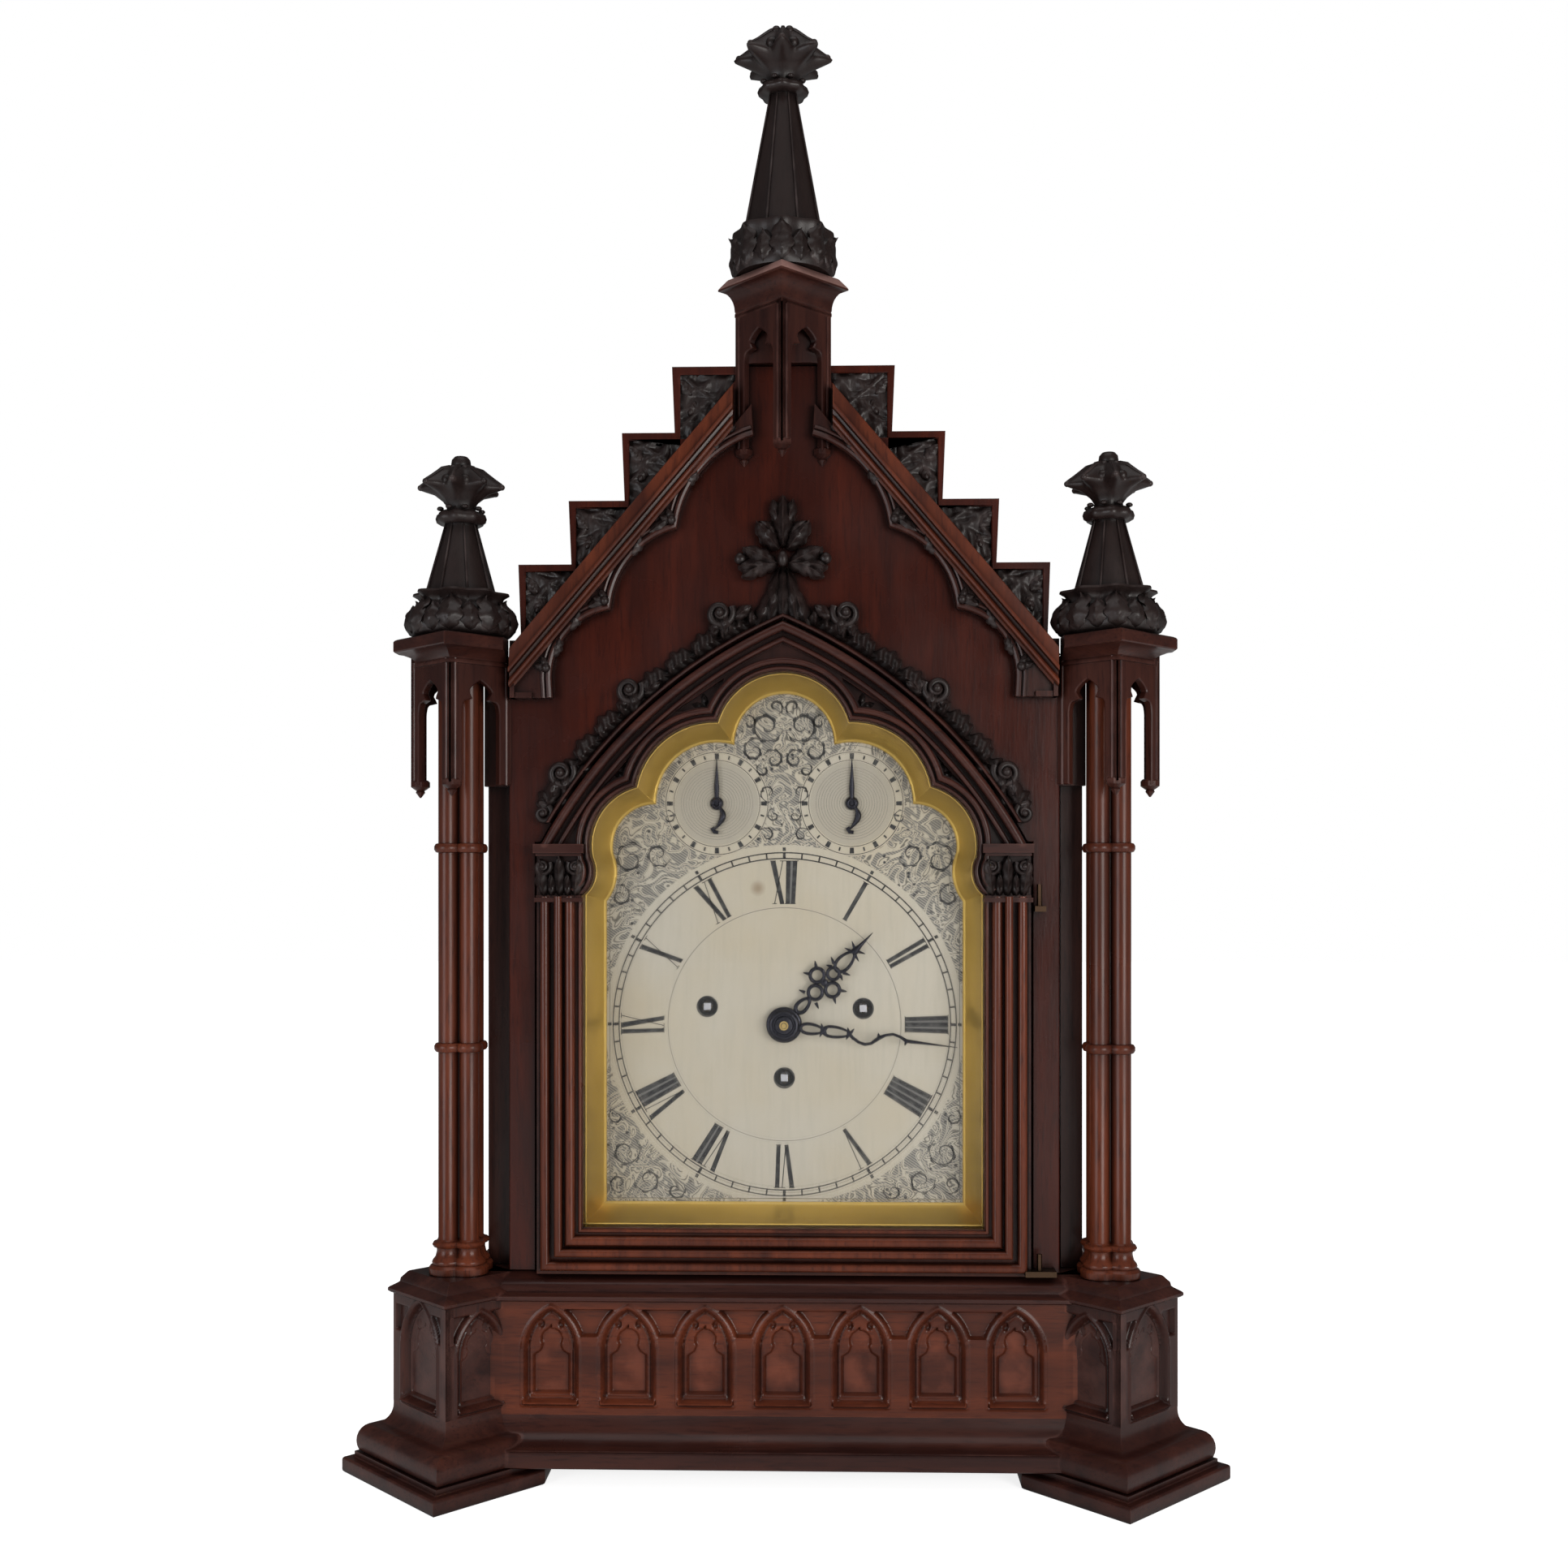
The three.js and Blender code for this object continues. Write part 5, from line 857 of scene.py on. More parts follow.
def add_camera(scene):
    """A level camera as in the photograph."""
    camera = bpy.data.objects.new("camera", bpy.data.cameras.new("camera"))
    scene.collection.objects.link(camera)
    scene.camera = camera
    turn = math.radians(EYE_TURN)
    camera.location = (math.sin(turn) * -EYE[1] * MM, (COLUMN_Y + math.cos(turn) * EYE[1]) * MM, EYE[2] * MM)
    camera.rotation_euler = (math.radians(90), 0, turn)
    camera.data.sensor_width = SENSOR
    camera.data.lens = SENSOR * FOCAL_PIXELS / FRAME_PIXELS
    camera.data.shift_y = (HORIZON_PIXEL - FRAME_PIXELS / 2) / FRAME_PIXELS
    camera.data.shift_x = (FRAME_PIXELS / 2 - PRINCIPAL_PIXEL) / FRAME_PIXELS
    camera.data.clip_start = 0.05


def add_floor(scene):
    """A pale floor that keeps shadows: its glow shows to camera and glass, and a share of it to mirrors."""
    mesh = bpy.data.meshes.new("floor")
    corners = [(x * FLOOR_SIDE, y * FLOOR_SIDE, 0) for x, y in ((-1, -1), (1, -1), (1, 1), (-1, 1))]
    mesh.from_pydata(corners, [], [[0, 1, 2, 3]])
    floor = bpy.data.objects.new("floor", mesh)
    scene.collection.objects.link(floor)
    material = bpy.data.materials.new("floor")
    material.use_nodes = True
    tree = material.node_tree
    tree.nodes.clear()
    out = add_node(tree, "ShaderNodeOutputMaterial")
    diffuse = add_node(tree, "ShaderNodeBsdfDiffuse", {"Color": (0.8, 0.8, 0.8, 1)})
    glow = add_node(tree, "ShaderNodeEmission", {"Color": (1, 1, 1, 1), "Strength": FLOOR_GLOW})
    path = add_node(tree, "ShaderNodeLightPath").outputs
    mirrored_part = calc(tree, "MULTIPLY", path["Is Glossy Ray"], GLOW_MIRRORED)
    seen = calc(tree, "MAXIMUM", path["Is Camera Ray"], mirrored_part)
    shown = calc(tree, "MAXIMUM", seen, path["Is Transmission Ray"])
    both = add_node(tree, "ShaderNodeAddShader", {0: diffuse.outputs[0], 1: glow.outputs[0]})
    choose = add_node(tree, "ShaderNodeMixShader", {"Fac": shown, 1: diffuse.outputs[0], 2: both.outputs[0]})
    tree.links.new(choose.outputs[0], out.inputs["Surface"])
    mesh.materials.append(material)


def add_world(scene):
    """A world white to camera and glass, dimmer as light, and dimmest in what polished pieces mirror."""
    world = bpy.data.worlds.new("studio")
    scene.world = world
    world.use_nodes = True
    tree = world.node_tree
    tree.nodes.clear()
    out = add_node(tree, "ShaderNodeOutputWorld")
    path = add_node(tree, "ShaderNodeLightPath").outputs
    seen = calc(tree, "MAXIMUM", path["Is Camera Ray"], path["Is Transmission Ray"])
    lit = scaled(tree, path["Is Glossy Ray"], 0.0, 1.0, WORLD_LIGHT, WORLD_MIRRORED)
    strength = scaled(tree, seen, 0.0, 1.0, lit, 1.0)
    background = add_node(tree, "ShaderNodeBackground", {"Color": (1, 1, 1, 1), "Strength": strength})
    tree.links.new(background.outputs[0], out.inputs["Surface"])


def build_stage():
    """Camera as in the photograph, a pale floor, and soft lights."""
    scene = bpy.context.scene
    scene.view_settings.view_transform = "Standard"
    add_camera(scene)
    add_floor(scene)
    add_world(scene)
    middle = (0, -0.05, 0.35)
    area_light("key", (0.95, -1.5, 0.42), middle, (0.8, 0.7), 15, (1.0, 0.98, 0.95))
    area_light("fill", (-1.15, -1.35, 0.35), middle, (0.8, 0.8), 9, (0.93, 0.96, 1.0))
    area_light("top", (0.0, -0.5, 1.9), middle, (1.4, 1.0), 6, (1.0, 1.0, 1.0))


class CLOCK_OT_stage(bpy.types.Operator):
    """Camera, floor and soft lights."""
    bl_idname = "clock.stage"
    bl_label = "Stage"

    def execute(self, context):
        build_stage()
        return {"FINISHED"}


# ---------------------------------------------------------------- base: feet, plinth, pedestals
FRIEZE_FACE = -13.0
FRIEZE_FOOT = 37.0
FRIEZE_TOP = 99.5
ARCH_FOOT = 43.0
ARCH_SPRING = 72.0
ARCH_RADIUS = 26.7
ARCH_WIDTH = 30.0
ARCH_PITCH = 42.6
ARCH_COUNT = 7


def lancet_depth(u, v, half, sink):
    """Depth of one traceried lancet about u = 0: a splay at its edge, a cusped inner panel, two eyes."""
    spot = np.stack([u, v], axis=-1)
    outer = inside(spot, lancet(half, ARCH_FOOT, ARCH_SPRING, ARCH_RADIUS * 2 * half / ARCH_WIDTH, 9))
    inner_half = half - 5.3
    shoulder = ARCH_SPRING - 3
    head = arc(0, ARCH_SPRING + 5.5, inner_half * 0.62, -0.55, math.pi / 2, 7)
    inner_line = mirrored(np.vstack([
        [[inner_half, ARCH_FOOT + 5], [inner_half, shoulder], [inner_half * 0.66, shoulder + 2.2]], head,
        [[0, ARCH_SPRING + 5.5 + inner_half * 0.85]],
    ]))
    inner = inside(spot, inner_line)
    depth = sink * smooth_step(outer, 0.0, 2.6)
    depth -= 0.9 * np.exp(-((outer - 3.6) / 0.9) ** 2)
    depth += 2.3 * smooth_step(inner, -0.5, 0.8)
    sill = smooth_step(ARCH_FOOT + 4.5 - v, 0.0, 4.5) * (outer > 0)
    depth -= 2.2 * sill
    for side in (-1, 1):
        eye = np.hypot((u - side * half * 0.36) / 1.6, (v - ARCH_SPRING - 14.0) / 2.6)
        depth += 1.6 * smooth_step(1.15 - eye, 0.0, 0.6) * (outer > 2.5)
    bead = 0.8 * np.exp(-((outer + 1.0) / 0.7) ** 2)
    return depth - bead, outer


def frieze_face(u, v, sink):
    """Depth of the frieze: a row of lancets, and curved triangles sunk between their heads."""
    depth = np.zeros_like(u)
    nearest = np.full_like(u, -np.inf)
    for i in range(ARCH_COUNT):
        cx = (i - (ARCH_COUNT - 1) / 2) * ARCH_PITCH
        here, outer = lancet_depth(u - cx, v, ARCH_WIDTH / 2, sink)
        close = np.abs(u - cx) < ARCH_PITCH / 2
        depth = np.where(close, here, depth)
        nearest = np.maximum(nearest, outer)
    gusset = np.minimum(-nearest - 3.0, np.minimum(v - ARCH_SPRING - 8, FRIEZE_TOP - 4.5 - v))
    reach = (ARCH_COUNT - 1) / 2 * ARCH_PITCH
    gusset = np.minimum(gusset, reach - np.abs(u))
    return depth + 3.0 * smooth_step(gusset, -0.3, 0.9)


def rectangle_ring(half, front, back, z):
    """Corners of a level rectangle about the middle of the clock."""
    return np.array([[-half, front, z], [half, front, z], [half, back, z], [-half, back, z]], float)


def build_plinth(sizes):
    """The plinth as one shell: base cove, sides, lip, sloping top and the well; the carved frieze in front."""
    low, high = extent("plinth")
    back = high[1] - COLUMN_Y
    half = high[0] - 15
    cove = [(15 - 15 * math.sin(a), FRIEZE_FOOT - 15 * math.cos(a)) for a in np.linspace(0, math.pi / 2, 9)]
    top = high[2]
    profile = [(14.2, 12), (15, 12.8), (15, 20), (14.2, 21), *[(p - 0.2, z) for p, z in cove],
               (0, FRIEZE_FOOT)]
    rings = [rectangle_ring(half + p, FRIEZE_FACE - p, back, z) for p, z in profile]
    setback = 7.0
    rings += [rectangle_ring(half, FRIEZE_FACE + setback, back, z) for z in (FRIEZE_FOOT + 0.1,
                                                                             FRIEZE_TOP - 0.1)]
    lip = [(0, FRIEZE_TOP), (2.2, FRIEZE_TOP + 0.2), (4, FRIEZE_TOP + 1.2), (4, FRIEZE_TOP + 2.8),
           (3.2, FRIEZE_TOP + 3.6), (-1.6, FRIEZE_TOP + 5), (-2.5, FRIEZE_TOP + 8), (-6, FRIEZE_TOP + 11),
           (-12, top)]
    rings += [rectangle_ring(half + p, FRIEZE_FACE - p, back, z) for p, z in lip]
    rings += [rectangle_ring(156, 16, back - 14, z) for z in (top, 25)]
    body = loft(rings)
    step = sizes.relief_step / MM
    u = np.arange(-half, half + step / 2, step)
    v = np.arange(FRIEZE_FOOT, FRIEZE_TOP + step / 2, step)
    depth = frieze_face(*np.meshgrid(u, v), sizes.sink / MM)
    points, faces = slab(u, v, depth, setback + 3.0)
    frieze = (points + [0, FRIEZE_FACE, 0], faces)
    rail = np.array([[-1, -1], [1, -1], [1, 1], [-1, 1]], float) * [1, 25 / 193]
    rear = stack(rail, [(192, 0), (193, 1), (193, 7.5), (191.5, 8.5), (188, 8.6), (188, 12.4)], 0,
                 back - 25.5)
    make_piece("plinth_body", [body, rear], brown_wood(), "mahogany", nodes=["plinth"])
    make_piece("plinth_frieze", [frieze], red_wood(False), "mahogany", smooth=50)


def pedestal_shells(sizes):
    """Pedestal at 45 degrees: torus and cove base, die with a lancet on each shown face, stepped cap."""
    die, lip = 38.0, 41.3
    torus = [(die + 11 + 10 * math.cos(a), 17.7 + 10 * math.sin(a)) for a in np.linspace(-0.55, math.pi / 2,
                                                                                         9)]
    cove = [(die + 11 - 11 * math.sin(a), 38.7 - 11 * math.cos(a)) for a in np.linspace(0.12, math.pi / 2, 9)]
    cap = [(die, 100.7), (lip - 1.5, 100.9), (lip, 101.8), (lip, 103.2), (lip - 1, 104), (35.5, 106.3),
           (34.5, 107), (34, 109), (30, 112.5), (29, 113)]
    inner = die - 6
    profile = [*torus, *cove, (die, 40.5), (inner, 40.6), (inner, 100.6), *cap]
    body = stack(DIAMOND, profile, COLUMN_X, 0)
    side = die * math.sqrt(2)
    step = sizes.relief_step / MM
    u = np.arange(-side / 2, side / 2 + step / 2, step)
    v = np.arange(40.4, 100.8, step)
    wide, high = np.meshgrid(u, v)
    faces = []
    for turn, shift, half in ((45, 0.0, 17.6), (-45, 4.6, 14.6)):
        depth, outer = lancet_depth(wide - shift, high, half, sizes.sink / MM)
        spare = np.minimum(-outer - 3.0, np.minimum(high - ARCH_SPRING - 9, FRIEZE_TOP - 4.5 - high))
        depth += 2.4 * smooth_step(np.minimum(spare, side / 2 - 3.0 - np.abs(wide)), -0.3, 0.9)
        points, quads = slab(u, v, depth, 5.0)
        points = points + [0, -die / math.sqrt(2), 0]
        faces.append(turned_shell((points, quads), turn, COLUMN_X, 0))
    return body, faces


def foot_shell():
    """Square foot plate at 45 degrees with eased edges, and the fillet that stands on it."""
    reach, back, inner = 67.0, 51.0, 130.0

    def plan(inset):
        r, b, i = reach - inset, back - inset, inner + inset
        return [[COLUMN_X, -r], [COLUMN_X + r, 0], [COLUMN_X + r - b, b], [i, b], [i, COLUMN_X - i - r]]
    levels = [(1.2, 0), (0.2, 0.7), (0, 1.6), (0, 6.9), (0.3, 7.8), (1.3, 8.5), (6, 8.6), (7, 9.2), (7, 11.8)]
    return loft([raised(plan(inset), z) for inset, z in levels])


def build_base():
    """Feet, plinth and pedestals."""
    sizes = bpy.context.scene.clock_sizes
    make_pair("foot", [foot_shell()], brown_wood(), "mahogany", nodes=["front_foot"])
    build_plinth(sizes)
    body, faces = pedestal_shells(sizes)
    make_pair("pedestal_body", [body], brown_wood(), "mahogany", nodes=["pedestal"])
    make_pair("pedestal_panels", faces, brown_wood(True), "mahogany", smooth=50)


class CLOCK_OT_base(bpy.types.Operator):
    """Feet, plinth with its carved frieze, and pedestals."""
    bl_idname = "clock.base"
    bl_label = "Base"

    def execute(self, context):
        build_base()
        return {"FINISHED"}


# ---------------------------------------------------------------- columns
SHAFT_LOBE = 5.6
SHAFT_REACH = 8.3


def cluster(count=10, swell=0.0):
    """Plan of four round shafts set diagonally about a core, grown outwards by swell."""
    lobe = SHAFT_LOBE + swell
    reach = 0.75 * math.pi - math.acos(min(1.0, SHAFT_REACH / math.sqrt(2) / lobe))
    parts = []
    for quarter in range(4):
        turn = math.pi / 4 + quarter * math.pi / 2
        cx, cy = SHAFT_REACH * math.cos(turn), SHAFT_REACH * math.sin(turn)
        parts.append(arc(cx, cy, lobe, turn - reach, turn + reach, count))
    return np.vstack(parts)


def column_ring(swell, z):
    """The cluster's plan on the column's own axis, grown by swell, at a height."""
    return raised(cluster(swell=swell) + [COLUMN_X, 0], z)


def build_columns():
    """Clustered shafts on moulded bases, with two annulets each."""
    foot = level("column_right", False)
    top = level("column_right")
    base = [(4.9, 0), (5.1, 3.4), (4.2, 4.6), (3.0, 5.2), (3.4, 6.5), (3.0, 7.5), (1.4, 9.5), (0.7, 12.5),
            (0.8, 14.2), (2.4, 14.8), (3.2, 16.2), (2.4, 17.6), (0.5, 18.2), (0.0, 19.0)]
    profile = [(swell, foot + z) for swell, z in base]
    for height in (238.4, 348.9):
        profile += [(0.0, height - 2.7), (1.3, height - 2.3), (2.1, height - 0.9), (2.1, height + 0.9),
                    (1.3, height + 2.3), (0.0, height + 2.7)]
    profile.append((0.0, top))
    shaft = loft([column_ring(swell, z) for swell, z in profile])
    make_pair("clustered_column", [shaft], red_wood(), "mahogany", nodes=["column"], smooth=40)


class CLOCK_OT_columns(bpy.types.Operator):
    """Corner columns."""
    bl_idname = "clock.columns"
    bl_label = "Columns"

    def execute(self, context):
        build_columns()
        return {"FINISHED"}


# ---------------------------------------------------------------- carving
def offset_line(points, distance):
    """An open line moved sideways, to the left of its way, with mitred corners."""
    points = np.asarray(points, float)
    run = np.diff(points, axis=0)
    run /= np.linalg.norm(run, axis=1, keepdims=True)
    normal = np.column_stack([-run[:, 1], run[:, 0]])
    before = np.vstack([normal[:1], normal])
    after = np.vstack([normal, normal[-1:]])
    joint = (before + after) / (1 + np.sum(before * after, axis=1, keepdims=True))
    return points + distance * joint


def leaf(size, width, lift, lobes=3, curl=0.5, rows=15, columns=9):
    """A carved leaf growing up from the origin: lobed edge, raised midrib, veins, a tip curled forwards."""
    u = np.linspace(0.0, 1.0, rows)[:, None]
    v = np.linspace(-1.0, 1.0, columns)[None, :]
    lobe = 0.72 + 0.28 * np.abs(np.sin(lobes * math.pi * u ** 0.85))
    half = width / 2 * np.sin(math.pi * (u * 0.9 + 0.06)) ** 0.7 * lobe
    bulge = lift * (0.35 + 0.65 * np.sin(math.pi * (u * 0.8 + 0.12)))
    veins = 0.10 * lift * np.cos(2 * math.pi * (lobes * u - 1.1 * np.abs(v)))
    forward = bulge * (1 - 0.75 * v ** 2) + veins + 0.22 * lift * np.exp(-(v / 0.16) ** 2) + curl * lift * u ** 3
    flat = 0.0 * v
    front = np.stack([half * v, -forward, size * (u - 0.10 * np.abs(v) * u)], axis=-1)
    back = np.stack([half * v[:, ::-1], 0.5 - 0.55 * curl * lift * u ** 3 + flat, size * u + flat], axis=-1)
    return loft(np.concatenate([front, back], axis=1))


def placed(shell, x, z, y=0.0, turn=0.0, tilt=0.0):
    """A shell tilted forwards, turned clockwise in the front view, and moved; angles in degrees."""
    points, faces = shell
    a, b = math.radians(tilt), math.radians(turn)
    px, py, pz = points.T
    py, pz = py * math.cos(a) - pz * math.sin(a), py * math.sin(a) + pz * math.cos(a)
    px, pz = px * math.cos(b) + pz * math.sin(b), -px * math.sin(b) + pz * math.cos(b)
    return np.column_stack([px + x, py + y, pz + z]), faces


def volute(x, z, y, radius, hand=1, turns=1.6, start=0.0, thick=0.34):
    """A carved scroll: a round coil that winds in to a button and rises towards it."""
    share = np.linspace(0, 1, 34)
    angle = start + hand * share * turns * 2 * math.pi
    reach = radius * (1 - 0.82 * share) * (1 - thick / 2)
    path = np.column_stack([x + reach * np.cos(angle), y - radius * 0.55 * share, z + reach * np.sin(angle)])
    coil = tube(path, radius * thick * (1 - 0.45 * share), around=8)
    return [coil, ball((x, y - radius * 0.62, z), (radius * 0.3,) * 3, 7, 10)]


# ---------------------------------------------------------------- pierced hoods: canopies and tower
def pierced_wall(half, low, high, spring, leg, thickness):
    """A wall hanging on two legs, its opening a pointed arch with a cusp on each side."""
    opening = half - leg
    radius = opening * 1.7
    right = arc(opening - radius, spring, radius, 0, math.acos(1 - 1 / 1.7), 17)
    order = np.arange(len(right))
    right = right - np.exp(-((order - 7) / 1.4) ** 2)[:, None] * opening * np.array([[0.36, 0.12]])
    left = right * [-1, 1]
    ring = np.vstack([
        [[half, low], [half, high], [-half, high], [-half, low], [-opening, low]],
        left, right[::-1][1:], [[opening, low]],
    ])
    return plate(ring, 0, thickness, bevel=0.6)


def hanging_hood(cx, reach, low, spring, high, leg, drop, turns):
    """Walls square at 45 degrees with beaded legs at the corners that end in pointed pendants."""
    shells = []
    half = reach / math.sqrt(2)
    for turn in turns:
        points, faces = pierced_wall(half, low + drop, high, spring, leg, 4.5)
        shells.append(turned_shell((points + [0, -half, 0], faces), turn, cx, 0))
        bead = roll(0, -half + 0.2, 0.9, count=9)[:-1]
        for u in (half - leg * 0.45, -half + leg * 0.45):
            plan = np.array([[u + dx, y] for dx, y in bead])
            strip = loft([raised(plan, z) for z in (low + drop, high - 3)])
            shells.append(turned_shell(strip, turn, cx, 0))
    octagon = polygon(8, math.pi / 8)
    centre = reach - leg / math.sqrt(2)
    width = leg * 0.66
    pendant = [(width * 0.08, low), (width * 0.5, low + drop * 0.42), (width * 0.42, low + drop * 0.55),
               (width * 0.72, low + drop * 0.7), (width, low + drop * 0.86), (width, low + drop * 1.25),
               (width * 0.8, low + drop * 1.4)]
    for quarter in (-90, 0, 180, 90):
        angle = math.radians(quarter)
        px, py = cx + centre * math.cos(angle), centre * math.sin(angle)
        if py > 1 or (cx > 0 and quarter == 180):
            continue
        shells.append(stack(octagon, pendant, px, py))
    return shells


def slab_ring(reach, z):
    """Plan of a slab at 45 degrees beside the case, its outer corner cut blunt."""
    plan = [
        [CASE_HALF + 0.6, -(reach - (COLUMN_X - CASE_HALF - 0.6))], [COLUMN_X, -reach],
        [COLUMN_X + reach - 5, -5], [COLUMN_X + reach - 5, 5], [COLUMN_X, reach],
        [COLUMN_X - 11.4, reach - 11.4], [COLUMN_X - 11.4, 1], [CASE_HALF + 0.6, 1],
    ]
    return raised(plan, z)


def scalloped(cx, reach, depth, z, count=96, power=1.0):
    """A level ring of eight lobes, drawn in by a share of its reach between them."""
    angle = full_turn(count)
    reach = reach * (1 - depth * (0.5 - 0.5 * np.cos(8 * angle)) ** power)
    return np.column_stack([cx + reach * np.cos(angle), reach * np.sin(angle), np.full(count, z)])


def spoke(cx, reach, angle, z):
    """A point, or a line of points, at a distance and an angle from an upright axis."""
    parts = np.broadcast_arrays(cx + reach * math.cos(angle), reach * math.sin(angle), z)
    return np.stack(parts, axis=-1)


def crown_shells(cx, foot, profile, lobe_depth, leaf_height, leaf_width):
    """A crown of eight carved leaves: a scalloped ring by its profile, with a ribbed leaf laid on each lobe."""
    top = profile[-1][1]
    shells = [loft([scalloped(cx, radius, lobe_depth * smooth_step(z / top, -0.2, 0.8), foot + z)
                    for radius, z in profile])]
    widest = max(radius for radius, z in profile)
    for i in range(8):
        for swing, share, inset in ((0, 1.0, 0.985), (22.5, 0.8, 0.95)):
            points, faces = leaf(leaf_height * share, leaf_width * share, widest * 0.10, 3, 0.5)
            bend = np.interp(points[:, 2], [z for r, z in profile], [r for r, z in profile])
            points = np.column_stack([points[:, 0], points[:, 1] - bend * inset + 0.6,
                                      foot + 1 + points[:, 2]])
            shells.append(turned_shell((points, faces), i * 45 + swing, cx, 0))
    return shells


def spire_shells(cx, base, shoulder, tip, tip_z, collar, collar_top):
    """Eight-sided tapering spire with ridges and its round collar."""
    taper = [(shoulder * 1.02, base - 8), (shoulder, base), (tip * 1.02, tip_z - 2), (tip, tip_z)]
    shells = [stack(polygon(8, math.pi / 8), taper, cx, 0)]
    share = np.linspace(0, 1, 6)
    reach = shoulder + (tip - shoulder) * share
    for i in range(8):
        path = spoke(cx, reach, math.pi / 8 + i * math.pi / 4, base + (tip_z - base) * share)
        shells.append(tube(path, 0.8 - 0.35 * share, around=6))
    waist = collar_top - tip_z
    profile = [(tip, 0), (collar * 0.80, 0.02), (collar * 0.96, 0.2), (collar, 0.45), (collar * 0.95, 0.72),
               (collar * 0.78, 0.92), (tip * 0.9, 1.0)]
    shells.append(loft([scalloped(cx, radius, 0.09, tip_z + waist * rise, 64) for radius, rise in profile]))
    for i in range(8):
        middle = spoke(cx, collar * 0.8, i * math.pi / 4 + math.pi / 8, collar_top + 0.6)
        shells.append(ball(middle, (2.0, 2.0, 1.3), 7, 8))
    return shells


def poppyhead(cx, foot, radius, profile, knob):
    """An umbrella of eight drooping leaves: a ring scalloped more towards its rim, ribs, curled tips, a rosette."""
    shells = [loft([scalloped(cx, reach * radius, depth, foot + z, power=0.7) for reach, z,
                    depth in profile])]
    upper = np.array(profile)[len(profile) // 2:]
    rim_reach, rim_z, _ = upper[0]
    for i in range(8):
        angle = i * math.pi / 4
        path = spoke(cx, upper[:, 0] * radius * 0.985, angle, foot + upper[:, 1])
        shells.append(tube(path[:-1], np.linspace(0.7, 1.5, len(path) - 1), around=6))
        shells.append(ball(spoke(cx, rim_reach * radius * 0.93, angle, foot + rim_z), (1.9, 1.9, 1.7), 7, 10))
        between = spoke(cx, radius * 0.55, angle + math.pi / 8, foot + rim_z + 1.6)
        shells.append(ball(between, (radius * 0.13,) * 3, 7, 10))
    for i in range(6):
        petal = spoke(cx, radius * 0.26, i * math.pi / 3, foot + profile[-3][1] + 0.4)
        shells.append(ball(petal, (radius * 0.10,) * 3, 7, 10))
    if knob:
        top = foot + profile[-1][1]
        rise = [(3.6, -1.5), (5.0, -0.5), (5.6, 2), (5.2, 4.6), (3.6, 6.4), (1.2, 7.0)]
        shells.append(stack(polygon(16), [(width, top + z) for width, z in rise], cx, 0))
    return shells


SIDE_CROWN = [(24.5, 0), (27.5, 1.6), (29.2, 4.4), (29.5, 8), (28.6, 11.6), (25.8, 15.4), (23.0, 18.4),
              (22.4, 20.4), (24.4, 22.6), (27.2, 24.2), (26.8, 25.4), (22.5, 25.8), (19.5, 25.0),
              (18.4, 23.0)]
TOWER_CROWN = [(26.6, 0), (27.6, 2.4), (27.9, 6), (27.2, 10), (26.4, 14), (26.6, 18), (27.6, 21),
               (28.4, 23.2),
               (28.2, 24.6), (24.6, 25.0), (22.6, 24.4), (22.0, 22.0)]
SIDE_POPPY = [(0.34, 0, 0), (0.32, 2.8, 0), (0.42, 6.0, 0.08), (0.61, 9.6, 0.16), (0.86, 11.6, 0.28),
              (0.98, 12.6, 0.34), (1.0, 13.8, 0.36), (0.93, 15.2, 0.34), (0.78, 17.6, 0.3),
              (0.62, 20.4, 0.24), (0.5, 22.6, 0.16),
              (0.3, 24.0, 0.08), (0.12, 24.4, 0)]
TOWER_POPPY = [(0.29, 0, 0), (0.30, 2.0, 0), (0.38, 6.0, 0.06), (0.58, 8.6, 0.16), (0.80, 11.2, 0.26),
               (0.97, 13.2, 0.34), (1.0, 14.6, 0.38), (0.96, 15.8, 0.38), (0.84, 17.6, 0.34),
               (0.68, 20.6, 0.28), (0.52, 24.2, 0.2),
               (0.36, 27.6, 0.12), (0.2, 30.0, 0.04), (0.06, 31.0, 0)]


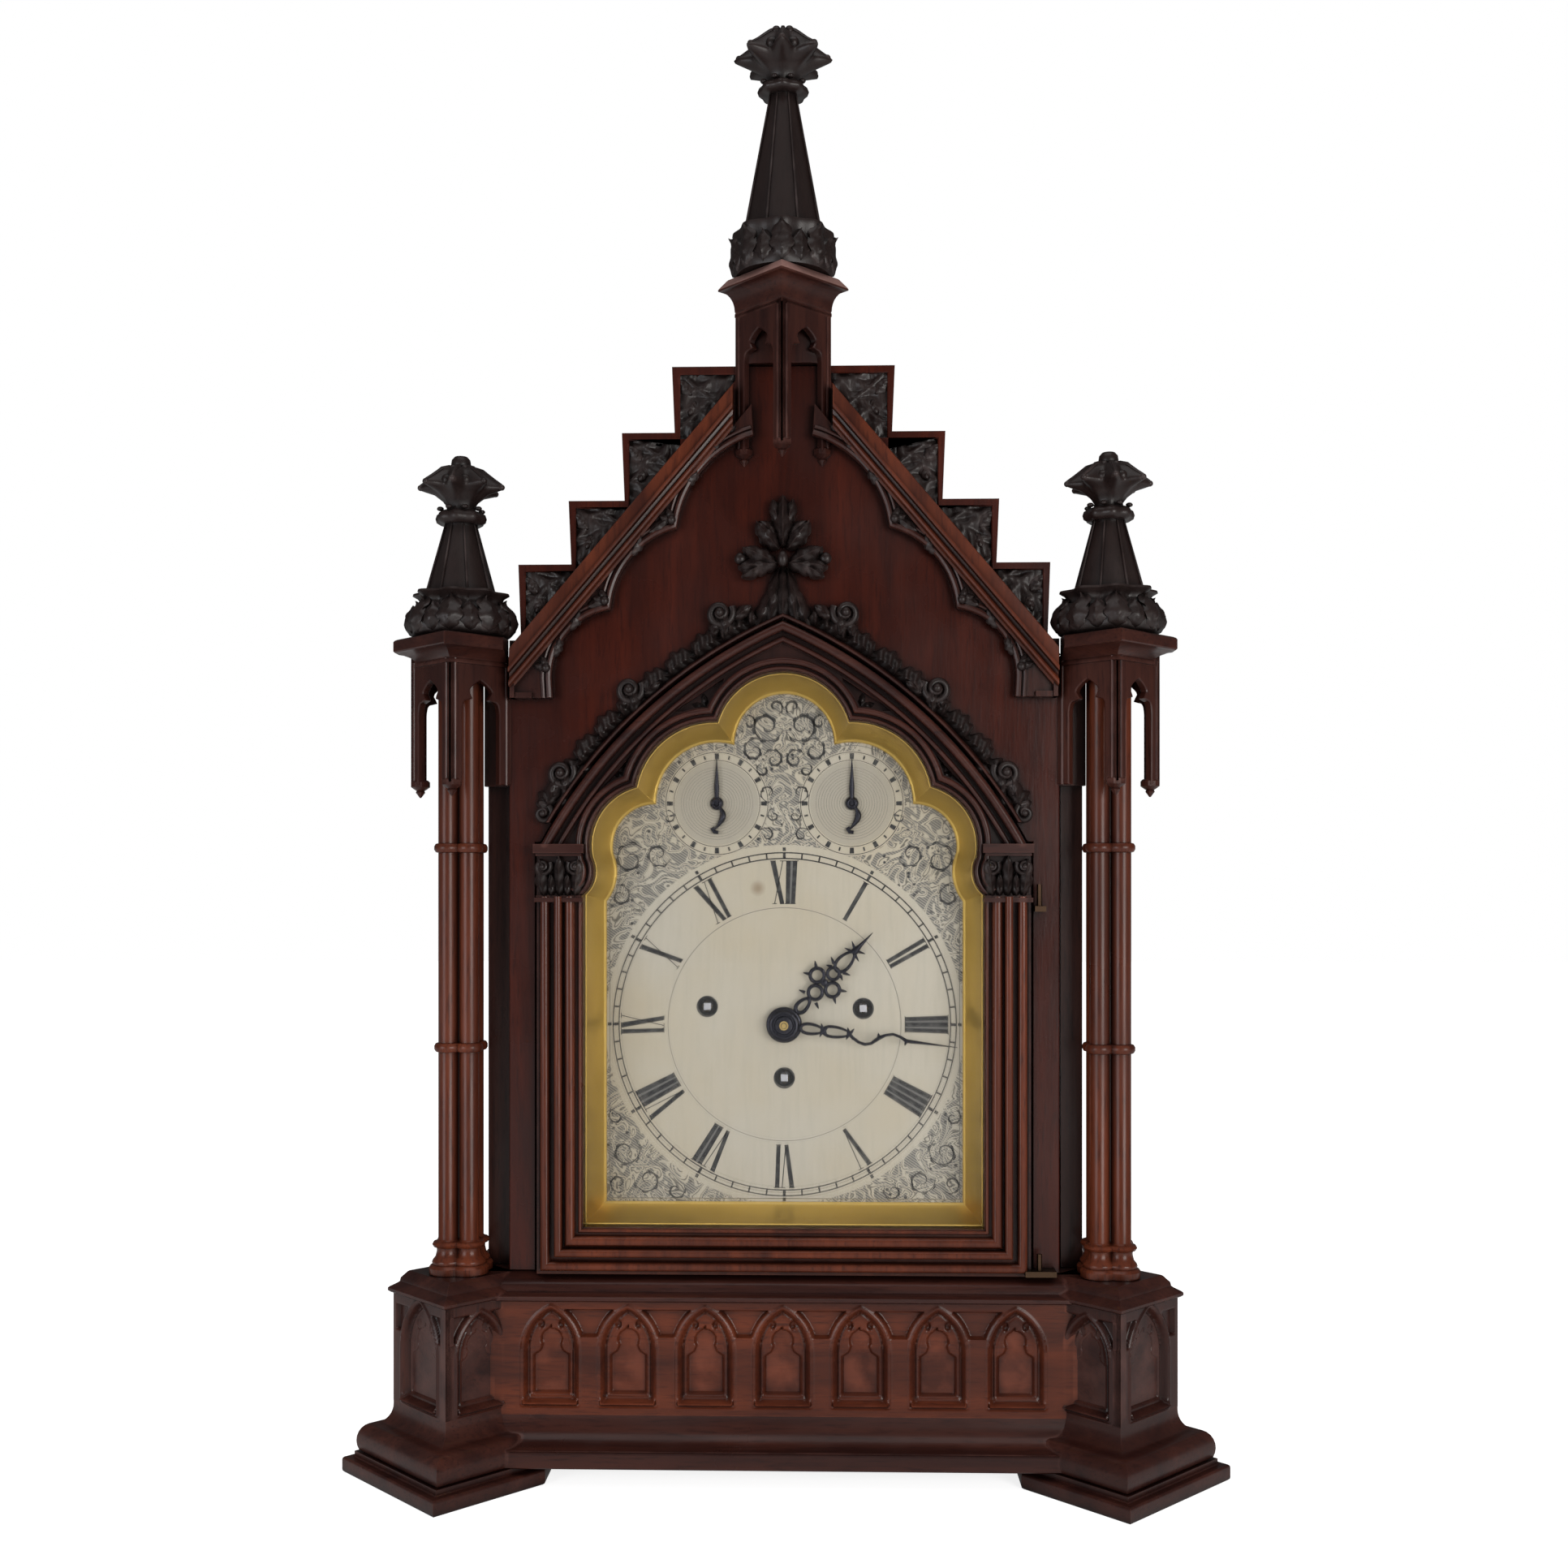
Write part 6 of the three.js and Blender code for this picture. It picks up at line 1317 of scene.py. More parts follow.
def build_towers():
    """Canopies and pinnacles at the sides, the tower and its spire in the middle."""
    slab_top = level("canopy_right")
    slab_foot = slab_top - 7
    low = level("canopy_right", False)
    canopy = hanging_hood(COLUMN_X, 28.5, low, slab_foot - 36, slab_foot - 3, 8, 7, (45, -45, 135))
    slab = loft([slab_ring(reach, slab_foot + z) for reach, z in (
        (27.5, -9), (29.5, -8.5), (29.5, -7), (28.6, -6), (30, -5), (33.5, -2.6), (38.5, -0.8), (41.2, -0.4),
        (41.9, 0.3), (41.9, 5.4), (41.2, 6.2), (39.6, 6.8), (32, 7))])
    board_back = extent("case_front")[1][1] - COLUMN_Y
    backing = box_shell((CASE_HALF - 2, board_back - 6, 384), (CASE_HALF + 16, board_back, slab_foot - 3))
    make_pair("canopy_backing", [backing], brown_wood(True), "mahogany")
    make_pair("canopy_walls", canopy, brown_wood(True), "mahogany", nodes=["canopy"])
    make_pair("canopy_slab", [slab], brown_wood(), "mahogany")
    foot = level("pinnacle_right", False)
    side = crown_shells(COLUMN_X, foot, SIDE_CROWN, 0.16, 21, 15)
    side += spire_shells(COLUMN_X, foot + 25.7, 19, 8.8, foot + 63.7, 14.4, foot + 71.7)
    side += poppyhead(COLUMN_X, foot + 71.2, 24.4, SIDE_POPPY, True)
    make_pair("side_pinnacle", side, carved_wood(), "dark_carving", nodes=["pinnacle"], smooth=50)

    low = level("tower", False)
    top = level("tower")
    walls = hanging_hood(0, 27, low, 616, top - 19, 7.5, 7, (45, -45))
    core = np.array([[-15.5, -4.4], [15.5, -4.4], [26.6, 0.4], [0, 27], [-26.6, 0.4]])
    walls.append(loft([raised(core, z) for z in (STEP_TOPS[-1] + 0.4, top - 18)]))
    cornice = stack(DIAMOND, [
        (25, top - 22), (27, top - 21), (27, top - 19.4), (26.6, top - 18.6),
        *[(36 - 9 * math.cos(a), top - 18 + 11.4 * math.sin(a)) for a in np.linspace(0, math.pi / 2, 9)],
        (36.3, top - 6.4), (36.3, top - 5.6)])
    weathering = stack(DIAMOND, [(35.9, top - 5.6), (36.0, top - 5.2), (31.2, top - 0.5), (30.4, top),
                                 (27, top)])
    make_piece("tower_walls", walls, brown_wood(True), "mahogany", nodes=["tower"])
    make_piece("tower_cornice", [cornice], brown_wood(), "mahogany")
    make_piece("tower_weathering", [weathering], sheen_painted_wood(), "mahogany")
    foot = level("central_spire", False)
    crown = crown_shells(0, foot, TOWER_CROWN, 0.10, 22, 14)
    crown += spire_shells(0, foot + 24.7, 22.2, 7.8, foot + 100.7, 14.4, foot + 107.2)
    crown += poppyhead(0, foot + 106.8, 27.5, TOWER_POPPY, False)
    make_piece("crowning_spire", crown, carved_wood(), "dark_carving", nodes=["central_spire"], smooth=50)


class CLOCK_OT_towers(bpy.types.Operator):
    """Canopies, pinnacles, tower and spire."""
    bl_idname = "clock.towers"
    bl_label = "Towers"

    def execute(self, context):
        build_towers()
        return {"FINISHED"}


# ---------------------------------------------------------------- front board and gable
STEP_TOPS = (507.3, 542.7, 580.4, 617.1)
STEP_HALVES = (148, 119.8, 90, 62)
SLAB_TOP = 465
RAKE_FOOT = np.array([151, 459.5])
RAKE_HEAD = np.array([27, 604.7])
GABLE_CUSPS = np.array([[59, 526], [96, 481.2], [128.8, 443.5]])
GABLE_FOOT = 432
CASE_FOOT = 113.3


def rake_x(z):
    """Where the rake's outer edge stands at a height."""
    share = (z - RAKE_FOOT[1]) / (RAKE_HEAD[1] - RAKE_FOOT[1])
    return RAKE_FOOT[0] + share * (RAKE_HEAD[0] - RAKE_FOOT[0])


def front_outline():
    """The stepped board with the door's opening cut up from below, as one line."""
    steps = []
    low = SLAB_TOP
    for top, half in zip(STEP_TOPS, STEP_HALVES):
        steps += [[half - 1.5, low], [half, top]]
        low = top
    outer = mirrored(np.array([[CASE_HALF, CASE_FOOT], [CASE_HALF, SLAB_TOP], *steps], float))
    opening = door_outline(1.2)
    opening[0, 1] = opening[-1, 1] = CASE_FOOT
    return np.vstack([outer, opening[::-1]])


def step_panels():
    """Three-cornered sunk fields behind each step, right-hand side."""
    panels = []
    for top, half in zip(STEP_TOPS, STEP_HALVES):
        outer, high = half - 4.2, top - 4.2
        width, rise = RAKE_FOOT[0] - RAKE_HEAD[0], RAKE_HEAD[1] - RAKE_FOOT[1]
        meet = RAKE_FOOT[1] + (RAKE_FOOT[0] - outer) * rise / width
        panels.append(np.array([[outer, meet + 3.2], [outer, high], [rake_x(high) + 2.7, high]]))
    return panels


def foliage(u, v, scale):
    """Relief of crowded leaves: two crossing waves bent by a third, in millimetres of height."""
    bend = 1.3 * np.sin(u / scale * 0.9 + 1.7 * np.cos(v / scale * 0.8))
    a = np.cos((u + v) / scale * 1.9 + bend)
    b = np.cos((u - 1.3 * v) / scale * 1.5 - bend)
    veins = np.cos(u / scale * 7 + 4 * a) * 0.18
    return np.maximum(a, b) * 0.9 + veins


BOLT_FRONT, BOLT_BACK = 3.0, 6.0       # the bolt slides between these depths behind the column plane
BOLT_HEIGHTS = (285.6, 296.2)
BOLT_EDGES = (-146, -130)              # the edges that it crosses, of board and door, stand between these
BOARD_SLOT, DOOR_SLOT = -142.5, -118   # how far its slot reaches into each


def notched(outline, deep, low, high):
    """The outline with a slot for the bolt cut into the edge beside the door's left, between two heights."""
    after = np.roll(outline, -1, axis=0)
    low_x, high_x = BOLT_EDGES
    beside = np.all([(low_x < line[:, 0]) & (line[:, 0] < high_x) for line in (outline, after)], axis=0)
    spans = (np.minimum(outline[:, 1], after[:, 1]) < low) & (np.maximum(outline[:, 1], after[:, 1]) > high)
    first = int(np.flatnonzero(beside & spans)[0])
    edge = outline[first, 0]
    start, end = (high, low) if outline[first, 1] > after[first, 1] else (low, high)
    return np.insert(outline, first + 1, [[edge, start], [deep, start], [deep, end], [edge, end]], axis=0)


def build_front():
    """Front board, its carved step panels, and the raking boards with reeds and cusps."""
    panels = step_panels()
    holes = [*panels, *[p * [-1, 1] for p in panels]]
    outline = front_outline()
    layers = [plate(outline, 0, BOLT_FRONT, holes, bevel=0.5), plate(outline, BOLT_BACK, 16, holes),
              plate(notched(outline, BOARD_SLOT, *BOLT_HEIGHTS), BOLT_FRONT, BOLT_BACK, holes)]
    make_piece("front_board", layers, gable_wood(), "mahogany", nodes=["case_front"])
    fields = []
    for panel in panels:
        low, high = panel.min(axis=0) - 1.5, panel.max(axis=0) + 1.5
        u = np.arange(low[0], high[0], 0.8)
        v = np.arange(low[1], high[1], 0.8)
        wide, tall = np.meshgrid(u, v)
        fields.append(slab(u, v, 2.6 - 1.1 * foliage(wide, tall, 4.2), 7.0))
        middle = panel[1] - [6.5, 6.5]
        fields += [placed(leaf(12, 9, 2.6), middle[0], middle[1] - 5, 3.4, 40),
                   placed(leaf(9, 7, 2.2), middle[0] - 2, middle[1] - 8, 3.4, 160)]
    make_pair("step_carving", fields, carved_wood(), "dark_carving", smooth=60)

    reed = [(0.0, -0.4), (0.0, -10.5), (0.5, -11.4), (6.4, -12.2), (7.0, -12.4), (7.3, -14.6), (8.2, -15.0),
            (9.0, -14.4), (9.3, -10.8), (10.8, -10.2), (11.6, -10.8), (11.9, -12.8), (12.9, -13.5),
            (13.9, -12.9),
            (14.4, -9.4), (15.5, -8.6), (15.5, -0.4)]
    along = (RAKE_HEAD - RAKE_FOOT) / np.linalg.norm(RAKE_HEAD - RAKE_FOOT)
    inward = np.array([-along[1], along[0]])
    feet, heads = [], []
    for distance, depth in reed:
        start = RAKE_FOOT + inward * distance
        start = start + along * (start[0] - RAKE_FOOT[0]) / -along[0]
        reach_x = 27.5
        end = start + along * (start[0] - reach_x) / -along[0]
        if end[1] > STEP_TOPS[-1]:
            end = start + along * (STEP_TOPS[-1] - start[1]) / along[1]
        feet.append([start[0], depth, start[1]])
        heads.append([end[0], depth, end[1]])
    reeds = loft([feet, heads])

    low, middle, high = GABLE_CUSPS[2], GABLE_CUSPS[1], GABLE_CUSPS[0]
    lobe_z = high[1] - math.sqrt((high[0] + 0.3) ** 2 - high[0] ** 2)
    start_angle = math.atan2(high[1] - lobe_z, high[0])
    top_lobe = arc(0, lobe_z, high[0] + 0.3, start_angle, math.radians(74), 18)
    edge = np.vstack([
        [[128.2, GABLE_FOOT + 0.3], [low[0], low[1]]],
        bulge_line(low, middle, 9.5)[1:], bulge_line(middle, high, 9.5)[1:], top_lobe[1:],
    ])
    inner_line = RAKE_FOOT + inward * 14
    back_low = inner_line + along * (inner_line[0] - RAKE_FOOT[0]) / -along[0]
    back_high = inner_line + along * (inner_line[0] - edge[-1][0] - 1) / -along[0]
    field = np.vstack([edge, [back_high], [back_low], [[151, GABLE_FOOT + 0.3]]])
    spandrel = plate(field, -6.2, -0.4, bevel=0.3)
    rolls = []
    for shift, depth, radius in ((-1.2, -6.6, 1.7), (-4.4, -6.6, 1.1)):
        line3 = offset_line(edge, shift)
        path = np.column_stack([line3[:, 0], np.full(len(line3), depth), line3[:, 1]])
        rolls.append(tube(path, radius, around=8))
    rolls.append(box_shell((139, -8.5, GABLE_FOOT), (151, -0.4, GABLE_FOOT + 3)))
    rolls.append(box_shell((148.6, -9.5, GABLE_FOOT), (151, -0.4, 460)))
    leaves = []
    for x, z, size, turn in ((108, 482, 13, 118), (118, 470, 12, 150), (127, 455, 11, 160),
                             (74, 523, 13, 125),
                             (84, 511, 12, 150), (56, 549, 12, 130), (44, 566, 11, 120), (34, 578, 9, 115)):
        leaves.append(placed(leaf(size, size * 0.62, 2.6), x, z, -5.8, turn + 180))
    for x, z in ((61.5, 530), (98.5, 485.5), (131, 448.5)):
        leaves.append(ball((x, -8.4, z), (2.5, 2.2, 2.5), 7, 10))
        leaves += [placed(leaf(7, 5, 2), x, z, -7.2, turn) for turn in (20, 75)]
    make_pair("rake_reeds", [reeds], red_wood(), "mahogany", nodes=["gable_rake"], smooth=28)
    make_pair("rake_spandrel", [spandrel, *rolls], brown_wood(True), "mahogany")
    make_pair("rake_carving", leaves, carved_wood(), "dark_carving", smooth=60)


def bulge_line(a, b, rise, count=14):
    """An arc from a to b that rises to the right of the way by a height."""
    a, b = np.asarray(a, float), np.asarray(b, float)
    chord = np.linalg.norm(b - a)
    radius = (chord ** 2 / 4 + rise ** 2) / (2 * rise)
    ux, uz = (b - a) / chord
    centre = (a + b) / 2 + np.array([-uz, ux]) * (radius - rise)
    return arc_between((centre[0], centre[1], radius), a, b, count)


class CLOCK_OT_front(bpy.types.Operator):
    """Stepped front board and raking boards."""
    bl_idname = "clock.front"
    bl_label = "Front"

    def execute(self, context):
        build_front()
        return {"FINISHED"}


# ---------------------------------------------------------------- hood mould
def running_leaves(offset_in, offset_out, proud, pitch, from_z):
    """A band of overlapping leaves that climbs the right arc of the hood."""
    radius = HOOD_RADIUS
    start = math.asin((from_z - HOOD_CENTRE[1]) / radius)
    end = math.acos(-HOOD_CENTRE[0] / radius) - 0.045
    count = int((end - start) * radius / 0.8)
    angle = np.linspace(start, end, count)
    run = (angle - start) * radius / pitch
    phase = run % 1.0
    across = np.linspace(0, 1, 13)
    edge = 0.50 + 0.50 * np.sin(math.pi * np.clip(phase, 0.02, 0.98) ** 0.8) ** 0.6
    edge += 0.10 * np.sin(2 * math.pi * 3 * phase)
    rings = []
    for a, f, wide in zip(angle, phase, edge):
        reach = radius + offset_in + (offset_out - offset_in) * wide * across
        body = np.sin(math.pi * np.clip(across, 0.02, 0.98)) ** 0.55
        veins = 0.16 * np.cos(2 * math.pi * (3.2 * f - 1.5 * np.abs(across - 0.42)))
        rib = 0.20 * np.exp(-((across - 0.42) / 0.10) ** 2)
        rise = proud * body * (0.42 + 0.58 * (1 - f) ** 0.8 + veins + rib)
        x, z = HOOD_CENTRE[0] + reach * math.cos(a), HOOD_CENTRE[1] + reach * math.sin(a)
        front = np.column_stack([x, -0.6 - rise, z])
        back = front[::-1] * [1, 0, 1] + [0, -0.3, 0]
        rings.append(np.vstack([front, back[[0, -1]]]))
    return loft(rings)


# leaves of the finial, right-hand side: size, width, lift, lobes, curl, then x, rise over the apex, y and turn
FINIAL_LEAVES = (
    (33, 11, 5.5, 3, 0.1, 7.5, -9, -1.8, -9), (29, 10, 5, 3, 0.1, 15, -13, -1.4, -20),
    (22, 12, 6, 3, 0.7, 3, 26, -3.6, 96), (20, 11, 6, 3, 0.7, 4, 26, -4.4, 66),
    (15, 9, 5, 2, 0.6, 10, 26, -4.6, 122), (19, 11, 5.5, 3, 0.6, 3, 34, -3.6, 38),
    (12, 8, 4, 2, 0.6, 4, 42, -3.2, 52), (15, 8, 4, 2, 0.5, 2, 47, -3.0, 14),
)


def build_hood_mould():
    """Label round the door's head, running leaves with scrolls along it, and the leafy finial."""
    foot = DOOR_SPRING + 12
    label = moulding(lambda o: mirrored(hood(o, foot)), [
        (0.9, -0.4), (0.9, -7.4), (1.6, -8.8), (2.6, -9.0), (3.4, -7.8), (3.8, -5.0), (4.6, -4.0),
        (5, -0.4)], False)
    shells = [running_leaves(3.2, 15.5, 6.2, 17.0, foot + 2)]
    for x, z in ((34.8, 478.6), (85, 436.5), (123, 390.5)):
        shells += volute(x, z, -4.5, 8.6, 1, 1.6, 2.6, 0.30)
        shells += [placed(leaf(15, 9, 4.5, 3, 0.6), x - 3, z - 13, -3.5, 4),
                   placed(leaf(13, 8, 4.0, 3, 0.6), x + 4, z - 13, -2.5, -14),
                   placed(leaf(12, 8, 4.0, 2, 0.6), x - 8, z - 3, -3.5, -52)]
    shells += volute(133, 368, -4, 6.6, 1, 1.4, 1.2)
    shells += [placed(leaf(24, 10, 5, 3, 0.4), 130.5, 371, -2, -16),
               placed(leaf(20, 9, 4, 3, 0.4), 125, 366, -3, -24)]
    apex = HOOD_CENTRE[1] + math.sqrt((HOOD_RADIUS + 5) ** 2 - HOOD_CENTRE[0] ** 2)
    finial = [placed(leaf(31, 11, 6, 3, 0.1), 0, apex - 6, -2.0)]
    for side in (-1, 1):
        finial += [placed(leaf(*shape), side * x, apex + rise, y, side * turn)
                   for *shape, x, rise, y, turn in FINIAL_LEAVES]
        finial += [
            ball((side * 23.5, -7.0, apex + 28.5), (3.4, 2.6, 3.4), 7, 12),
            ball((side * 19.5, -7.4, apex + 22.5), (2.6, 2.4, 2.6), 7, 12),
        ]
    finial += [placed(leaf(28, 11, 6, 3, 0.2), 0, apex + 36, -3.2),
               ball((0, -9.0, apex + 28), (3.0, 3.0, 4.4), 7, 12)]
    make_piece("hood_label", [label], brown_wood(), "mahogany", nodes=["hood_mould"])
    make_pair("hood_crockets", shells, carved_wood(), "dark_carving", smooth=60)
    make_piece("hood_finial", finial, carved_wood(), "dark_carving", smooth=60)


class CLOCK_OT_hood(bpy.types.Operator):
    """Hood mould with its crockets and finial."""
    bl_idname = "clock.hood"
    bl_label = "Hood mould"

    def execute(self, context):
        build_hood_mould()
        return {"FINISHED"}


# ---------------------------------------------------------------- door
CAPITAL_FOOT = 319


def stile_path(offset):
    """Up the right stile, along the bottom rail and up the left stile, outside the dial by a distance."""
    side, low = DIAL_HALF + offset, DIAL_BOTTOM - offset
    return np.array([[side, CAPITAL_FOOT + 3], [side, low], [-side, low], [-side, CAPITAL_FOOT + 3]])


def bead_profile(beads, start, end, floor, back):
    """A run of half-round beads (centre, radius, proud) standing on a floor between two offsets."""
    profile = [(start, back), (start, floor)]
    for centre, radius, proud in beads:
        angle = np.linspace(math.pi, 0, 9)
        profile.append((centre - radius, floor))
        profile += list(zip(centre + radius * np.cos(angle), -proud + radius - radius * np.sin(angle)))
        profile.append((centre + radius, floor))
    return profile + [(end, floor), (end, back)]


def build_capitals():
    """Leafy capitals with scrolls under a moulded abacus, right-hand side."""
    inner, outer = 110.5, 137.0
    shells = []
    for low, high, grow, proud in ((346, 351, 0.6, 12.5), (344.4, 346, -0.6, 11), (319, 321.4, 0.2, 10.6),
                                   (321.4, 322.6, -0.6, 9.4)):
        shells.append(box_shell((inner - grow, -proud, low), (outer + grow, -1, high)))
    bell_plan = np.array([[inner + 2, -1], [outer - 2, -1], [outer - 2, -7], [inner + 2, -7]], float)
    shells.append(loft([raised(bell_plan, z) for z in (322, 345)]))
    carved = []
    for x, size, turn in ((115, 21, -6), (123.5, 23, 0), (132, 21, 6)):
        carved.append(placed(leaf(size, 9.5, 5.0, 3, 0.9), x, 322, -5.5, turn))
    for x, turn in ((119, 0), (128, 0)):
        carved.append(placed(leaf(13, 6, 4.0, 2, 0.7), x, 322, -6.5, turn))
    carved += volute(114.5, 338.5, -9.0, 5.2, -1, 1.5, 0.6)
    carved += volute(132.5, 338.5, -9.0, 5.2, 1, 1.5, 2.6)
    return shells, carved


def build_door():
    """Door frame: panel with sunk tracery, mitred stile mouldings, hood rolls, cusped rolls and capitals."""
    triangles = []
    for points in ([[36.5, 424], [60, 425], [33, 442.5]], [[82, 387], [99.5, 383], [79.5, 405.5]]):
        right = np.array(points, float)
        triangles += [right, right * [-1, 1]]
    front = plate(door_outline(-0.2), -4, -0.5, [foils(9.6), *triangles], bevel=0.3)
    middle = plate(door_outline(-0.2), -0.5, BOLT_FRONT, [foils(9.6)])
    back = plate(notched(door_outline(-0.2), DOOR_SLOT, *BOLT_HEIGHTS), BOLT_FRONT, BOLT_BACK, [foils(9.6)])
    stiles = moulding(stile_path, bead_profile(
        [(11.2, 1.0, 6.4), (16.6, 2.9, 10.2), (22.6, 2.2, 12.4), (30.2, 2.6, 10.6)], 9.8, 35.3, -4.4, 2),
        False)
    hood_rolls = moulding(lambda o: mirrored(hood(o, DOOR_SPRING - 2)), bead_profile(
        [(-9.4, 1.5, 8.6), (-3.2, 2.4, 12.0)], -11.4, -0.1, -5.0, 2), False)
    cusped = moulding(lambda o: mirrored(foil_head(o)), bead_profile(
        [(11.3, 1.1, 7.2), (15.0, 1.7, 9.4)], 9.8, 17.6, -4.6, 1), False)
    rim = moulding(door_outline, [(-1.8, -4), (-1.8, -5.4), (-0.4, -5.4), (-0.2, -4)], True)
    make_piece("door_panel", [front, middle, back], brown_wood(True), "mahogany", "front_door",
               ["door_frame"])
    make_piece("door_stiles", [stiles], red_wood(), "mahogany", "front_door", smooth=30)
    make_piece("door_tracery", [hood_rolls, cusped, rim], brown_wood(), "mahogany", "front_door", smooth=30)
    shells, carved = build_capitals()
    for name, parts, material, slot in (("capital_blocks", shells, brown_wood(), "mahogany"),
                                        ("capital_leaves", carved, carved_wood(), "dark_carving")):
        make_piece(name, both_sides(parts), material, slot, "front_door", smooth=45)
    eyes = []
    for cx, cz in ((43, 430), (87, 391.5)):
        for side in (-1, 1):
            eyes += [placed(leaf(8, 5, 2), side * cx, cz - 3, 0.5, side * turn) for turn in (10, 75, -60)]
    make_piece("tracery_leaves", eyes, carved_wood(), "dark_carving", "front_door", smooth=60)
    # The keyhole is a near-black plate on the door's face: painted shade standing in for its opening.
    outline = np.vstack([arc(-125, 292.4, 1.9, 0, math.pi, 9), [[-126.4, 286.2], [-123.6, 286.2]]])
    make_piece("keyhole", [plate(outline, -4.9, -4.2)], plain("keyhole_painted_shade", (0.006, 0.005, 0.005), 0.8),
               "brass", "front_door")


class CLOCK_OT_door(bpy.types.Operator):
    """Front door."""
    bl_idname = "clock.door"
    bl_label = "Door"

    def execute(self, context):
        build_door()
        return {"FINISHED"}


# ---------------------------------------------------------------- dial
DIAL_FACE = 24.3
NUMERALS = ("XII", "I", "II", "III", "IIII", "V", "VI", "VII", "VIII", "IX", "X", "XI")
LETTER_WIDTH = {"I": 3.9, "V": 8.2, "X": 8.6}
WINDERS = {"strike": (-44, 259), "chime": (45, 258), "time": (0, 218.3)}      # winding holes
DIAL_MIDDLE = np.array([0, DIAL_CENTRE_Z])
# scrolls: x, z, radius, hand, angle that they start at, and turns
SIDE_SCROLLS = ((88, 343, 9.5, -1, 2.4, 1.3), (94, 322, 6.5, 1, 1.2, 1.2), (72, 346, 7.5, 1, 3.6, 1.2),
                (91, 176, 9.0, 1, 2.2, 1.3), (78, 160, 8.0, -1, 0.2, 1.3), (95, 158, 5.5, 1, 4.0, 1.2),
                (62, 154, 5.5, 1, 2.6, 1.1), (96, 196, 4.8, -1, 1.4, 1.1))
HEAD_SCROLLS = ((10, 419, 9.5, 1, 3.4, 1.4), (17, 405, 7.0, -1, 2.0, 1.2), (6, 400, 6.0, 1, 0.4, 1.2),
                (5, 430, 4.5, -1, 4.4, 1.0), (20, 421, 4.2, 1, 1.0, 1.0), (12, 394, 4.0, -1, 1.0, 1.0))
SMALL_SCROLLS = ((9, 381, 5.5, 1, 4.2, 1.1), (6, 368, 4.0, -1, 1.6, 1.1), (10, 357, 4.6, 1, 0.2, 1.1),
                 (66, 367, 4, 1, 1.0, 1.1))
INK = 0.06                      # how far wax stands above the silvering, only so that it shows


def stroke(a, b, wide, end=None, y=DIAL_FACE):
    """A straight mark from a to b as a thin prism, tapering from one width to another."""
    a, b = np.asarray(a, float), np.asarray(b, float)
    run = b - a
    normal = np.array([-run[1], run[0]]) / (np.linalg.norm(run) + 1e-9)
    last = wide if end is None else end
    corners = [a + normal * wide / 2, a - normal * wide / 2, b - normal * last / 2, b + normal * last / 2]
    plan = np.array(corners)
    return loft([np.column_stack([plan[:, 0], np.full(4, depth), plan[:, 1]]) for depth in (y - INK,
                                                                                            y + 0.02)])


def ribbon(points, widths, y=DIAL_FACE):
    """A curved mark: a flat strip along a line with a width at each point."""
    points = np.asarray(points, float)
    run = np.gradient(points, axis=0)
    normal = np.column_stack([-run[:, 1], run[:, 0]]) / (np.linalg.norm(run, axis=1, keepdims=True) + 1e-9)
    half = np.broadcast_to(np.asarray(widths, float), (len(points),))[:, None] / 2
    left, right = points + normal * half, points - normal * half
    corners = ((left, -INK), (right, -INK), (right, 0.02), (left, 0.02))
    return loft(np.stack([np.insert(edge, 1, y + depth, axis=1) for edge, depth in corners], axis=1))


def ring_mark(cx, cz, radius, wide, y=DIAL_FACE, count=96):
    """A circle drawn with a line of a width."""
    outlines = [circle(cx, cz, r, count) for r in (radius - wide / 2, radius + wide / 2)]
    rows = [np.insert(o, 1, d, axis=1) for o, d in (
        (outlines[0], y + 0.02), (outlines[0], y - INK), (outlines[1], y - INK), (outlines[1], y + 0.02))]
    return loop(rows)


def clock_way(turn):
    """The direction on the dial that lies clockwise from twelve by an angle."""
    return np.array([math.sin(turn), math.cos(turn)])


def hour_ways(hour):
    """The directions outwards and clockwise at an hour."""
    turn = math.radians(hour * 30)
    return clock_way(turn), np.array([math.cos(turn), -math.sin(turn)])


def numeral_marks(text, hour):
    """Strokes of one Roman numeral, standing on the inner circle and read from the middle."""
    low, high = 68.8, 93.2
    total = sum(LETTER_WIDTH[c] for c in text)
    out, across = hour_ways(hour)

    def at(u, r):
        return DIAL_MIDDLE + across * u * (0.80 + 0.20 * (r - low) / (high - low)) + out * r
    marks = []
    left = -total / 2
    for letter in text:
        mid = left + LETTER_WIDTH[letter] / 2
        if letter == "I":
            marks.append(stroke(at(mid, low), at(mid, high), 2.3, 2.5))
            marks += [stroke(at(mid - 1.9, r), at(mid + 1.9, r), 0.4) for r in (low, high)]
        elif letter == "V":
            marks.append(stroke(at(mid - 2.4, high), at(mid + 0.5, low), 2.7, 2.2))
            marks.append(stroke(at(mid + 3.2, high), at(mid + 0.9, low), 0.5))
            marks += [stroke(at(u - 1.7, high), at(u + 1.7, high), 0.4) for u in (mid - 2.4, mid + 3.2)]
        else:
            marks.append(stroke(at(mid - 2.6, high), at(mid + 2.4, low), 2.9, 2.4))
            marks.append(stroke(at(mid + 3.0, high), at(mid - 3.0, low), 0.5))
            marks += [stroke(at(u - 1.6, r), at(u + 1.6, r), 0.4)
                      for u, r in ((mid - 2.6, high), (mid + 3.0, high), (mid + 2.4, low), (mid - 3.0, low))]
        left += LETTER_WIDTH[letter]
    return marks


